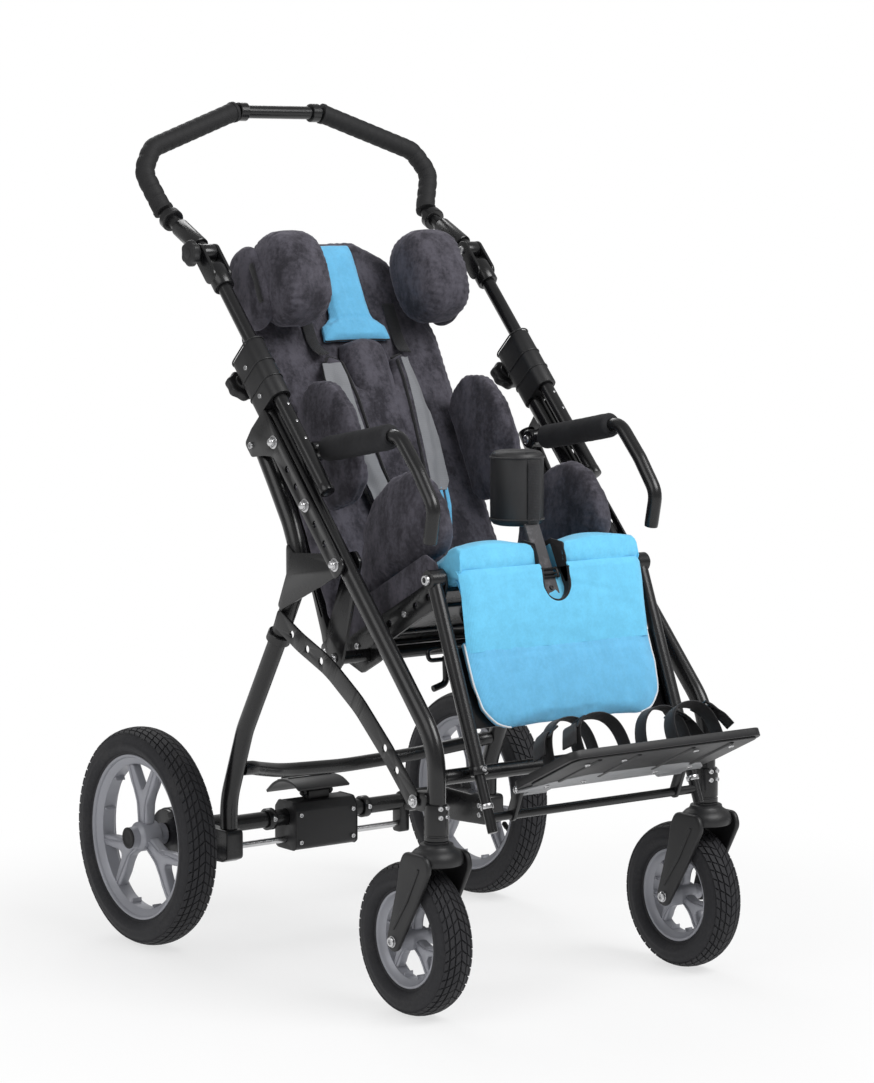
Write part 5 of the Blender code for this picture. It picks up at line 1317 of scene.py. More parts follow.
def stay_of(side, s):
    """Curved drilled stay from the caster housing to the leg."""
    line = [(p.y, p.z) for p in fillet([(0, y + AXLE_Y, z) for y, z in STAY_ROUTE], 0.2, 8)]
    outline = softened(band_outline(line, 0.0135), 0.006, 4)
    holes = [circle(STAY_BOLT, 0.0056)]
    for y, z in ((-0.3, 0.4706), (-0.336, 0.4545), (-0.368, 0.442), (-0.512, 0.345), (-0.538, 0.3195)):
        holes.append(circle((y + AXLE_Y, z), 0.0052))
    bm = bmesh.new()
    join(bm, slab(outline, s * OUTER_PLATE[0], s * OUTER_PLATE[1], 0.0005, holes))
    piece("stay_" + side, bm, "diagonal_" + side, "paint", "diagonal_plate_" + side)


def rear_beam():
    """Axle bar, end castings, drums, the bowed cross tube and their bright fittings."""
    bm = bmesh.new()
    join(bm, crossbar(0.2185, (AXLE_Y, REAR_R), 0.012, 28))
    for _, s in SIDES:
        outline = softened(behind_axle([
            (-0.135, 0.136), (-0.135, 0.176), (-0.1, 0.176), (-0.09, 0.172),
            (0.006, 0.174), (0.014, 0.168), (0.014, 0.134), (0.006, 0.126),
            (-0.05, 0.126), (-0.12, 0.13)]), 0.007, 4)
        join(bm, slab(outline, s * 0.2165, s * 0.2435, 0.0022, segments=3))
        sleeve = [(0.0126, 0.0), (0.0158, 0.0), (0.0165, 0.0008), (0.0165, 0.06), (0.015, 0.0655),
            (0.0126, 0.067)]
        join(bm, lathe(sleeve, 32), crossing(s * 0.218, (AXLE_Y, REAR_R), -s))
        outline = softened(behind_axle([(-0.01, ROD_Z - 0.012), (-0.01, REAR_R), (0.01, REAR_R),
            (0.01, ROD_Z - 0.012)]), 0.005, 4)
        join(bm, slab(outline, s * 0.145, s * 0.162, 0.0012))
        join(bm, collar(0.0126, 0.016, 0.012, 0.0005, 0.0008, 32), crossing(s * 0.078, (AXLE_Y, REAR_R), s))
        disc = [(0, 0), (0.0335, 0), (0.036, 0.002), (0.036, 0.013), (0.035, 0.014), (0.0345, 0.0142),
            (0.0345, 0.0186), (0.033, 0.019), (0, 0.019)]
        join(bm, lathe(disc, 48), crossing(s * 0.243, (AXLE_Y, REAR_R), s))
        join(bm, drum(0.0078, 0.064, 0.0008), crossing(s * 0.242, (AXLE_Y, REAR_R), s))
    piece("beam", bm, "rear_frame", "paint", "axle_beam")
    bm = bmesh.new()
    half = [(0.2157, -0.1345, 0.262), (0.202, -0.1345, 0.262), (0.18, -0.12, 0.256), (0.12, -0.085, 0.242),
        (0.0, -0.07, 0.235)]
    points = [(-x, y, z) for x, y, z in half[:-1]] + half[::-1]
    join(bm, tube(bent(moved(points), 0.15, 12, 0.008), 0.01, 24))
    piece("cross_tube_rear", bm, "rear_frame", "paint", "rear_cross_tube")
    bm = bmesh.new()
    for _, s in SIDES:
        for y, z in ((-0.112, 0.158), (-0.112, 0.144), (-0.02, 0.16)):
            join(bm, screw(0.004, 0.003), crossing(s * 0.2166, (AXLE_Y + y, z), -s))
        join(bm, screw(0.0042, 0.003), aimed((s * 0.158, AXLE_Y, REAR_R + 0.0163),
            (s * 0.158, AXLE_Y, 0.2)))
        front = (s * 0.16, AXLE_Y - 0.0162, REAR_R + 0.002)
        join(bm, screw(0.0036, 0.0028), aimed(front, (front[0], front[1] - 0.01, front[2])))
        front = (s * 0.084, AXLE_Y - 0.0157, REAR_R + 0.002)
        join(bm, screw(0.0036, 0.0028), aimed(front, (front[0], front[1] - 0.01, front[2])))
    piece("beam_screws", bm, "rear_frame", "steel")


def parking_brake():
    """Brake housing with its lid, the foot pedal and the bright rod."""
    bm = bmesh.new()
    outline = softened(behind_axle([(-0.027, 0.112), (-0.027, 0.166), (-0.018, 0.178), (0.018, 0.178),
        (0.027, 0.168), (0.027, 0.112), (0.02, 0.108), (-0.02, 0.108)]), 0.006, 4)
    holes = [circle((AXLE_Y, REAR_R), 0.0125), circle((AXLE_Y, ROD_Z), 0.0053)]
    join(bm, slab(outline, -0.055, 0.055, 0.0016, holes, 3))
    for _, s in SIDES:
        rim = [Vector((s * 0.0535, y, z)) for y, z in outline]
        join(bm, sweep(evened(rim + rim[:1], 0.004), ellipse(0.001, sides=8)))
    lug = softened(behind_axle([(-0.007, 0.176), (-0.007, 0.19), (0.0, 0.1945), (0.007, 0.19),
        (0.007, 0.176)]), 0.003, 3)
    join(bm, slab(lug, -0.018, 0.018, 0.0008))
    join(bm, drum(0.003, 0.056, 0.0005), crossing(-0.028, (AXLE_Y, PEDAL_Z), 1))
    piece("brake_housing", bm, "rear_frame", "moulded", "brake_block")
    bm = bmesh.new()
    for y, z in ((-0.0272, 0.16), (-0.0272, 0.12)):
        for x in (-0.046, 0.046):
            join(bm, screw(0.0034, 0.0026), aimed((x, AXLE_Y + y, z), (x, AXLE_Y + y - 0.01, z)))
    piece("brake_screws", bm, "rear_frame", "steel")
    bm = bmesh.new()
    join(bm, crossbar(0.1447, (AXLE_Y, ROD_Z), 0.0048, 24))
    piece("brake_bar", bm, "brake_rod", "steel", "brake_rod")
    bm = bmesh.new()
    top = [(-0.022, 0.01), (-0.004, 0.0185), (0.022, 0.0205), (0.046, 0.013), (0.066, -0.003)]
    under = [(0.063, -0.0065), (0.044, 0.009), (0.021, 0.0165), (-0.003, 0.0145), (-0.02, 0.0065)]
    upper = [(p.x, p.y) for p in fillet([(AXLE_Y + y, PEDAL_Z + z, 0) for y, z in top], 0.06, 6)]
    lower = [(p.x, p.y) for p in fillet([(AXLE_Y + y, PEDAL_Z + z, 0) for y, z in under], 0.06, 6)]
    join(bm, slab(upper + lower, -0.045, 0.045, 0.001))
    for _, s in SIDES:
        cheek = capsule((AXLE_Y, PEDAL_Z), (AXLE_Y + 0.002, PEDAL_Z + 0.013), 0.0055)
        join(bm, slab(cheek, s * 0.0205, s * 0.025, 0.0006))
    for k in range(5):
        at = 0.016 + k * 0.0095
        rise = 0.0205 - 0.0075 * ((at - 0.022) / 0.024) ** 2 if at > 0.022 else 0.02
        line = [(x, AXLE_Y + at, PEDAL_Z + rise + 0.0002) for x in (-0.038, 0.038)]
        join(bm, sweep(line, ellipse(0.0011, sides=8)))
    piece("brake_flap", bm, "brake_pedal", "moulded", "brake_pedal")


# Wheels


def tyre_shape(radius, seat, half, bead, steps, tread):
    """A tyre on the Z axis with ribbed walls and raised chevron blocks."""
    wall = radius - tread - seat
    side = [(0.0, bead), (0.05, bead + 0.0012), (0.09, bead + 0.0012), (0.11, bead + 0.003),
        (0.22, 0.955 * half), (0.36, half), (0.44, half), (0.46, half - 0.0007), (0.6, 0.975 * half),
        (0.72, 0.915 * half), (0.745, 0.885 * half)]
    flank = [(seat + wall * r, z) for r, z in side]
    crown = [(0.82, 0.84), (0.915, 0.62), (0.978, 0.34), (1.0, 0.0)]
    top = [(seat + wall * r, half * z) for r, z in crown]
    mirror_side = [(r, -z) for r, z in (flank + top[:-1])][::-1]
    bm = lathe(flank + top + mirror_side, steps)
    pitch = 2 * math.pi / steps
    edge = crown[0][1] * half
    for vert in bm.verts:
        if abs(vert.co.z) <= edge + 0.0008 and math.hypot(vert.co.x, vert.co.y) > seat + 0.6 * wall:
            turn = Matrix.Rotation(pitch * 1.15 * (1 - abs(vert.co.z) / edge), 3, "Z")
            vert.co = turn @ vert.co
    blocks = []
    for face in bm.faces:
        centre = face.calc_center_median()
        if abs(centre.z) < edge and math.hypot(centre.x, centre.y) > seat + 0.6 * wall:
            blocks.append(face)
    bmesh.ops.inset_individual(bm, faces=blocks, thickness=tread * 0.28, depth=0.0)
    bmesh.ops.inset_individual(bm, faces=blocks, thickness=tread * 0.32, depth=tread)
    return outward(bm)


def rim_shape(rim_r, half, hub_r, hub_half, inner, spokes, bore):
    """A moulded rim on the Z axis: stepped ring, three forked spokes with ribs, and a hub."""
    trunk, split, arm_out, arm_in, thick = spokes
    bm = bmesh.new()
    upper = [(rim_r - 0.0006, half), (rim_r - 0.003, half), (rim_r - 0.0042, half - 0.0012),
        (rim_r - 0.005, half * 0.8), (inner + 0.0022, half * 0.6), (inner, half * 0.48)]
    lower = [(r, -z) for r, z in upper[::-1]]
    join(bm, lathe([(rim_r, -half + 0.0006), (rim_r, half - 0.0006)] + upper + lower, 112))
    h = hub_half
    join(bm, lathe([(bore, -h), (hub_r * 0.62, -h), (hub_r * 0.7, -h + 0.001), (hub_r * 0.74, -h * 0.62),
        (hub_r * 0.96, -h * 0.48), (hub_r, -h * 0.42), (hub_r, h * 0.42), (hub_r * 0.96, h * 0.48),
        (hub_r * 0.74, h * 0.62), (hub_r * 0.7, h - 0.001), (hub_r * 0.62, h), (bore, h)], 56))
    foot = 0.72 * hub_r
    reach = inner + 0.0016
    bend = split + 0.45 * (reach - split)
    spread = 0.5 * (trunk + arm_out) + 0.001
    shape = [(foot, -trunk), (split, -trunk), (bend, -spread), (reach, -arm_out), (reach, -arm_in),
        (split * 1.28, 0.0), (reach, arm_in), (reach, arm_out), (bend, spread), (split, trunk),
        (foot, trunk)]
    outline = softened(shape, 0.009, 4)
    for k in range(3):
        turn = Matrix.Rotation(2 * math.pi * k / 3, 4, "Z")
        fork = prism(outline, 2 * thick, min(0.003, thick * 0.4), 3)
        join(bm, fork, turn @ Matrix.Translation((0, 0, -thick)))
        for d in (-1, 1):
            for z in (-thick, thick):
                line = [(foot, d * trunk * 0.45, z), (split, d * trunk * 0.72, z),
                    (reach, d * 0.5 * (arm_out + arm_in), z * 0.92)]
                rib = sweep(bent(line, 0.03, 6, 0.004), ellipse(0.0024, 0.0014, 10), round_ends=0.001)
                join(bm, rib, turn)
        for d in (-0.5, 0.5):
            web = Matrix.Rotation(2 * math.pi * (k + 0.5) / 3 + d * 0.55, 4, "Z")
            gusset = [(inner - 0.006, 0.0), (inner + 0.002, -0.0026), (inner + 0.002, 0.0026)]
            join(bm, prism(gusset, half * 0.8, 0.0005), web @ Matrix.Translation((0, 0, -half * 0.4)))
    return bm


def rear_wheel_of(side, s):
    """Twelve-inch tyre, rim, hub cap and valve."""
    centre = (AXLE_Y, REAR_R)
    tread = sizes().tread
    place = aimed((s * REAR_X, *centre), (s * (REAR_X + 1), *centre), (0, 1, 0))
    body = "rear_wheel_" + side
    bm = bmesh.new()
    join(bm, tyre_shape(REAR_R, 0.1175, 0.0265, 0.018, 66, tread), place)
    piece("tyre_rear_" + side, bm, body, "tyre", "rear_tyre_" + side, 50)
    bm = bmesh.new()
    spokes = (0.012, 0.048, 0.044, 0.028, 0.0075)
    turn = Matrix.Rotation(math.radians(90) * s, 4, "Z")
    join(bm, rim_shape(0.1172, 0.019, 0.021, 0.0292, 0.103, spokes, 0.0083), place @ turn)
    piece("rim_rear_" + side, bm, body, "rim", "rear_rim_" + side)
    bm = bmesh.new()
    join(bm, lathe([(0, 0.0285), (0.0142, 0.0285), (0.0152, 0.0294), (0.015, 0.0306), (0.0118, 0.0314),
        (0.0106, 0.0307), (0.0045, 0.0309), (0, 0.0314)], 40), place)
    low = 0.103
    valve = lathe([(0, 0), (0.0042, 0), (0.0042, 0.004), (0.0033, 0.0055), (0.0033, 0.016), (0.004, 0.017),
        (0.004, 0.0255), (0.003, 0.027), (0, 0.0275)], 20)
    where = Matrix.Rotation(math.radians(-150), 4, "Z")
    join(bm, valve, place @ where @ aimed((low + 0.002, 0, 0), (low - 0.03, 0, 0.0045)))
    piece("hub_cap_" + side, bm, body, "rubber")


def caster_of(side, s):
    """Moulded fork with its pin, eight-inch tyre, rim and bolts."""
    x = s * TUBE_X
    outer = 0.0365
    fork = "caster_fork_" + side
    bm = bmesh.new()
    outline = [(STEM_Y - 0.024, 0.2225), (STEM_Y - 0.031, 0.204), (STEM_Y - 0.004, 0.156)]
    for degrees in (190, 230, 270, 310, 350, 30):
        a = math.radians(degrees)
        outline.append((CASTER_Y + 0.014 * math.cos(a), CASTER_R + 0.014 * math.sin(a)))
    outline += [(STEM_Y + 0.038, 0.176), (STEM_Y + 0.033, 0.205), (STEM_Y + 0.024, 0.2225)]
    outline = softened(outline, 0.016, 6)
    for d in (-1, 1):
        join(bm, slab(outline, x + d * 0.0285, x + d * outer, 0.0032, segments=4))
        rib = [(x + d * (outer + 0.0002), STEM_Y - 0.01, 0.204),
            (x + d * (outer + 0.0006), STEM_Y + 0.014, 0.16),
            (x + d * (outer + 0.0002), CASTER_Y - 0.002, CASTER_R + 0.017)]
        join(bm, sweep(bent(rib, 0.04, 6, 0.004), ellipse(0.0014, 0.0022, 10), round_ends=0.001))
    bell = [(0, 0.2058), (0.034, 0.2058), (0.0358, 0.208), (0.0361, 0.213), (0.0345, 0.219),
        (0.029, 0.2245), (0.0238, 0.2275), (0.0225, 0.23), (0.022, 0.2322), (0.0205, 0.233),
        (0.0165, 0.2332), (0.0165, 0.2354), (0.0155, 0.2358), (0, 0.2358)]
    join(bm, lathe(bell, 56), Matrix.Translation((x, STEM_Y, 0)) @ Matrix.Diagonal((1, 0.94, 1, 1)))
    join(bm, drum(0.0085, 0.04, 0.0008), Matrix.Translation((x, STEM_Y, 0.2315)))
    piece("fork_" + side, bm, fork, "moulded", "caster_fork_" + side)
    bm = bmesh.new()
    centre = (CASTER_Y, CASTER_R)
    join(bm, drum(0.004, 0.075, 0.0004), crossing(x - 0.0375, centre, 1))
    for d in (-1, 1):
        join(bm, drum(0.0076, 0.001, 0.0003), crossing(x + d * (outer - 0.0002), centre, d))
        join(bm, screw(0.0066, 0.0034), crossing(x + d * (outer + 0.0007), centre, d))
    piece("fork_bolt_" + side, bm, fork, "steel")
    body = "caster_wheel_" + side
    place = aimed((x, *centre), (x + s, *centre), (0, 1, 0))
    bm = bmesh.new()
    join(bm, tyre_shape(CASTER_R, 0.0643, 0.0252, 0.0155, 46, sizes().tread), place)
    piece("tyre_caster_" + side, bm, body, "tyre", "caster_tyre_" + side, 50)
    bm = bmesh.new()
    spokes = (0.0095, 0.028, 0.026, 0.015, 0.0065)
    join(bm, rim_shape(0.064, 0.0165, 0.015, 0.028, 0.053, spokes, 0.0046),
        place @ Matrix.Rotation(math.radians(90) * s, 4, "Z"))
    piece("rim_caster_" + side, bm, body, "rim", "caster_rim_" + side)


# Push handle


BOW_TOP = (0.076, 0.092, 1.176)


def handle_of(side, s):
    """Telescopic tube with its sleeve, clevis and end plug."""
    x = s * TUBE_X
    n = HANDLE_PITCH
    bm = bmesh.new()
    join(bm, tube([(x, *frame_at(-0.145, n)), (x, *frame_at(0.228, n))], 0.01, 28))
    sleeve = [(0.0101, 0.0), (0.0138, 0.0), (0.015, 0.0015), (0.015, 0.031), (0.014, 0.035),
        (0.0101, 0.0363)]
    join(bm, lathe(sleeve, 36), aimed((x, *frame_at(0.2157, n)), (x, *frame_at(0.252, n))))
    centre = ANGLE_PIVOT
    cheek = capsule(frame_at(0.24, n), centre, 0.013, steps=16)
    for d in (-1, 1):
        join(bm, slab(cheek, x + d * 0.0103, x + d * 0.015, 0.0011, segments=3))
    join(bm, drum(0.0102, 0.012, 0.0008), aimed((x, *frame_at(-0.1458, n)), (x, *frame_at(-0.12, n))))
    join(bm, drum(0.004, 0.026, 0.0004), crossing(x - 0.013, centre, 1))
    piece("handle_bar_" + side, bm, "handle", "paint", "handle_tube_" + side)
    bm = bmesh.new()
    join(bm, screw(0.0062, 0.0032), crossing(x + 0.0149, centre, 1))
    if s > 0:
        join(bm, screw(0.0062, 0.0032), crossing(x - 0.0149, centre, -1))
    for t in (-0.06, -0.03, 0.0):
        place = Vector((x, *frame_at(t, n + 0.0099)))
        out = Vector((x, *frame_at(t, n + 0.03)))
        join(bm, drum(0.0021, 0.0006, 0.0002, 16), aimed(place, out))
    piece("handle_screws_" + side, bm, "handle", "steel")


def bow_line():
    """Centre line of the push bow, from one angle joint to the other."""
    half = [(TUBE_X, *ANGLE_PIVOT)]
    half += [(x, y + AXLE_Y, z) for x, y, z in ((TUBE_X, 0.041, 1.032), (0.25, 0.06, 1.088),
        (0.228, 0.072, 1.122), BOW_TOP)]
    return fillet([(-x, y, z) for x, y, z in half] + half[::-1], 0.03, 10)


def push_bow_of():
    """Bent bar with its angle joints, rings, and the ribbed rubber grips."""
    line = bow_line()
    bm = bmesh.new()
    join(bm, tube(evened(line, 0.006), 0.0095, 24))
    for _, s in SIDES:
        x = s * TUBE_X
        centre = ANGLE_PIVOT
        hub = capsule(centre, centre, 0.0125, steps=16)
        join(bm, slab(hub, x - 0.01, x + 0.01, 0.0012, segments=3))
        pivot = Vector((x, *centre))
        elbow = Vector((x, AXLE_Y + 0.041, 1.032))
        arm = (elbow - pivot).normalized()
        tongue = [(0.0096, 0), (0.012, 0), (0.013, 0.001), (0.013, 0.058), (0.0118, 0.06), (0.0096, 0.06)]
        join(bm, lathe(tongue, 32), aimed(pivot + arm * 0.019, elbow))
        join(bm, collar(0.0096, 0.0165, 0.012, 0.0015, 0.0012, 36), aimed(elbow - arm * 0.028, elbow))
        join(bm, collar(0.0096, 0.0135, 0.014, 0.0007, 0.0008, 32),
            aimed((s * 0.056, AXLE_Y + BOW_TOP[1], BOW_TOP[2]),
            (s * 0.07, AXLE_Y + BOW_TOP[1], BOW_TOP[2])))
    piece("bow", bm, "push_bow", "paint", "push_bow")
    for side, s in SIDES:
        route = [p for p in evened(line, 0.0012) if p.x * s > 0.0745 and (p.z > 1.0325)]
        if s > 0:
            route = route[::-1]
        total = 0.0012 * len(route)
        scales = []
        for k in range(len(route)):
            at = k * 0.0012
            slope = abs((route[min(k + 4, len(route) - 1)] - route[max(k - 4, 0)]).normalized().z)
            phase = -abs(math.sin(math.pi * at / sizes().rib_pitch)) ** 6
            ribbed = max(0.0, min(1.0, (at - 0.012) / 0.01))
            ribbed *= max(0.0, min(1.0, (total - 0.01 - at) / 0.01))
            scales.append(1.0 + 0.06 * min(1.0, slope * 1.6) * phase * ribbed)
        bm = bmesh.new()
        join(bm, sweep(route, ellipse(0.014, sides=28), scales, None, 0.0022))
        for end in (route[2], route[-3]):
            near = min(range(len(route)), key=lambda k: (route[k] - end).length)
            a, b = route[max(near - 2, 0)], route[min(near + 2, len(route) - 1)]
            join(bm, sweep([a, b], ellipse(0.0153, sides=28), round_ends=0.0008))
        piece("grip_rubber_" + side, bm, "push_bow", "rubber", "grip_" + side)
    x = -(TUBE_X + 0.0153)
    bm = bmesh.new()
    join(bm, lobed_knob(0.0183, 0.017, 6), crossing(x, ANGLE_PIVOT, -1))
    piece("angle_handwheel", bm, "angle_knob", "moulded", "angle_knob")


# Seat unit


def seat_metal():
    """Seat pan with its side plates, pins and the pommel's socket."""
    outline_uv = (
        (-0.058, -0.036), (-0.052, -0.016), (-0.036, -0.014), (0.0, -0.03), (0.226, -0.03), (0.232, -0.023),
        (0.25, -0.022), (0.256, -0.034), (0.252, -0.048), (0.236, -0.064), (0.09, -0.068), (0.068, -0.084),
        (0.022, -0.084), (0.0, -0.062), (-0.04, -0.046))
    outline = softened(seat_points(outline_uv), 0.007, 4)
    bm = bmesh.new()
    tilt = TILT_PIVOT
    holes = [circle(tilt, 0.0095, 32)] + [circle(seat_at(u, -0.047), 0.005)
        for u in (0.08, 0.112, 0.176, 0.208)]
    for _, s in SIDES:
        join(bm, slab(outline, s * 0.159, s * 0.163, 0.0006, holes))
        join(bm, drum(0.004, 0.012, 0.0004), crossing(s * 0.152, seat_at(-0.045, -0.03), s))
        join(bm, drum(0.004, 0.027, 0.0004), crossing(s * 0.16, leg_at(0.0), s))
        corners = ((0.135, -0.05), (0.156, -0.05), (0.152, -0.07), (0.139, -0.07))
        lug = softened(seat_points(corners), 0.004, 3)
        join(bm, slab(lug, s * 0.0605, s * 0.0645, 0.0005))
    pan = seat_points(((0.01, -0.0453), (0.236, -0.0453), (0.236, -0.0513), (0.01, -0.0513)))
    join(bm, slab(pan, -0.16, 0.16, 0.0008))
    for u in (0.045, 0.09, 0.185):
        rib = [on_seat(x, u, -0.053) for x in (-0.15, 0.15)]
        join(bm, sweep(rib, ellipse(0.0035, 0.0024, 12), round_ends=0.001))
    socket = seat_points(((0.2306, -0.042), (0.2545, -0.042), (0.2545, -0.078), (0.2306, -0.078)))
    join(bm, slab(socket, -0.016, 0.016, 0.0012))
    piece("seat_metal", bm, "seat", "paint", "seat_frame")
    bm = bmesh.new()
    for _, s in SIDES:
        join(bm, screw(0.007, 0.0048), crossing(s * 0.1847, leg_at(0.0), s))
        join(bm, screw(0.0062, 0.0036), crossing(s * 0.163, seat_at(-0.045, -0.03), s))
        for u in (0.03, 0.15):
            join(bm, screw(0.0045, 0.003), crossing(s * 0.1629, seat_at(u, -0.048), s))
    piece("seat_screws", bm, "seat", "steel")


def lever():
    """Wire loop that frees the tilt, its sleeve and hook."""
    y, z = seat_at(0.145, -0.062)
    drop = 0.03
    loop = [(-0.056, y, z), (-0.056, y - 0.01, z - drop), (-0.136, y - 0.012, z - drop - 0.003),
        (-0.136, y - 0.014, z - drop - 0.018), (-0.03, y - 0.014, z - drop - 0.018),
        (-0.03, y - 0.006, z - 0.01), (-0.03, y, z)]
    hook = [(-0.108, y - 0.014, z - drop - 0.014), (-0.108, y - 0.016, z - drop - 0.05),
        (-0.13, y - 0.016, z - drop - 0.056)]
    bm = bmesh.new()
    join(bm, tube([(-0.068, y, z), (0.068, y, z)], 0.003, 16))
    join(bm, tube(bent(loop, 0.008, 8, 0.002), 0.003, 16))
    join(bm, tube(bent(hook, 0.01, 8, 0.002), 0.0045, 16))
    join(bm, tube([(-0.105, y - 0.0136, z - drop - 0.0162), (-0.042, y - 0.0138, z - drop - 0.0175)],
        0.0046, 16))
    piece("tilt_lever", bm, "release_lever", "paint", "release_lever")


FRONT = (*seat_at(0.285, -0.012), *leg_at(0.105, 0.0132))


def on_front(x, t, out=0.0):
    """A point on the plane from the cushion's crest down to the calf pad, and in front of it."""
    y, z = FRONT[0] + (FRONT[2] - FRONT[0]) * t, FRONT[1] + (FRONT[3] - FRONT[1]) * t
    return Vector((x, y, z)) + FRONT_OUT * out


FRONT_OUT = Vector((0, FRONT[3] - FRONT[1], FRONT[0] - FRONT[2])).normalized()


def seat_cover():
    """Blue seat cushion: two soft lobes at its crest, a slot lined in black and closed with black sheets as
    painted shade, its seams and its apron.
    """
    def uv(place):
        y, z = place.y - AXLE_Y - SEAT_Y, place.z - SEAT_Z
        return -y * math.cos(TILT) + z * math.sin(TILT), y * math.sin(TILT) + z * math.cos(TILT)

    def shape(bm):
        for vert in bm.verts:
            u, v = uv(vert.co)
            x = abs(vert.co.x)
            lobe = math.exp(-((x - 0.082) / 0.052) ** 2) * math.exp(-((u - 0.25) / 0.05) ** 2)
            if v > -0.04:
                vert.co += Vector(SEAT_UP) * 0.0085 * lobe
            over = (vert.co - on_front(0, 0)).dot(FRONT_OUT) + (0.0045 if vert.co.z < 0.568 else 0.0)
            if over > 0 and u > 0.24:
                vert.co -= FRONT_OUT * over
    bm = filled("seat_cushion", 0.005, 0.003, 0.0055, 3.5, 3, shape)
    back_line = [on_seat(x, 0.12 + 0.004 * math.cos(x * 20), 0.004) for x in (-0.12, -0.06, 0, 0.06, 0.12)]
    seam(bm, evened(back_line, 0.01), 0.002, 0.01)
    for s in (-1, 1):
        seam(bm, [on_seat(s * 0.156, u, -0.036) for u in (0.02, 0.12, 0.22)], 0.0016, 0.005)
        slot = seat_line(s * 0.0255, ((0.232, 0.012), (0.262, 0.002), (0.28, -0.012)))
        seam(bm, slot, 0.002, 0.006)
        seam(bm, [on_front(s * x, 0.21) for x in (0.024, 0.06, 0.1, 0.155)], 0.003, 0.006)
    folds(bm, 0.0013, 17.0, (1.0, 1.6, 1.6), 3.0)
    held(bm, [((0.1578, 0, 0), (1, 0, 0)), ((-0.1578, 0, 0), (-1, 0, 0)),
        (on_seat(0, 0.0036, 0), SEAT_BACK)])
    for vert in bm.verts:
        u, v = uv(vert.co)
        if u < 0.258 and v < -0.045:
            vert.co += Vector(SEAT_UP) * (-0.045 - v)
    trim = bmesh.new()
    for s in (-1, 1):
        slot = seat_line(s * 0.0238, ((0.236, 0.012), (0.262, 0.006), (0.281, -0.006), (0.282, -0.022),
            (0.276, -0.04)))
        join(trim, piping_on(bm, slot, 0.0015, 0.2))
    hole = [on_front(-SLOT * math.cos(a), HOLE + SLOT * math.sin(a) / DROP, 0.0026)
        for a in [math.pi * k / 16 for k in range(17)]]
    hole = [on_front(-SLOT, 0.24, 0.0026)] + hole + [on_front(SLOT, 0.24, 0.0026)]
    join(trim, sweep(evened(hole, 0.003), ellipse(0.0016, sides=8)))
    piece("seat_slot_binding", trim, "seat", "webbing")
    piece("seat_cover", bm, "seat", "blue", "seat_cushion", 60)
    bm = bmesh.new()
    lining = seat_points(((0.2305, 0.006), (0.26, 0.003), (0.28, -0.01), (0.279, -0.03), (0.27, -0.062),
        (0.264, -0.062), (0.26, -0.04), (0.256, -0.04), (0.256, -0.002), (0.2305, -0.0005)))
    for s in (-1, 1):
        join(bm, slab(lining, s * 0.0222, s * 0.0238, 0.0004))
    # The sheets behind and below the slot are black to stand in for the shade inside it: painted shade.
    behind = [seat_at(0.2345, 0.002), seat_at(0.236, 0.002), seat_at(0.236, -0.06), seat_at(0.2345, -0.06)]
    join(bm, slab(behind, -0.0215, 0.0215, 0.0004))
    shade_under_slot = [seat_at(0.253, -0.057), on_front(0, 0.72, -0.003)[1:], on_front(0, 0.72, -0.002)[1:],
        seat_at(0.254, -0.056)]
    join(bm, slab(shade_under_slot, -0.0225, 0.0225, 0.0003))
    # A black tunnel behind the apron's keyhole: painted shade seen through the hole.
    wall = bmesh.new()
    rows = [[wall.verts.new(p - FRONT_OUT * d) for p in hole] for d in (0.0012, 0.012, 0.023)]
    faces_between(wall, rows)
    wall.normal_update()
    bmesh.ops.solidify(wall, geom=wall.faces[:], thickness=0.0006)
    join(bm, outward(wall))
    piece("seat_slot_lining", bm, "seat", "webbing")
    outline = softened(seat_points((
        (-0.01, 0.008), (0.222, 0.008), (0.24, -0.012), (0.236, -0.046), (-0.01, -0.046))), 0.012, 5)
    for side, s in SIDES:
        skirt = slab(outline, s * 0.1562, s * 0.1594, 0.0012)
        skirt = piece("seat_skirt_" + side, skirt, "seat", "suede", (), 60)
    apron()


SLOT = 0.0222
HOLE = 0.405
DROP = math.dist(FRONT[:2], FRONT[2:])


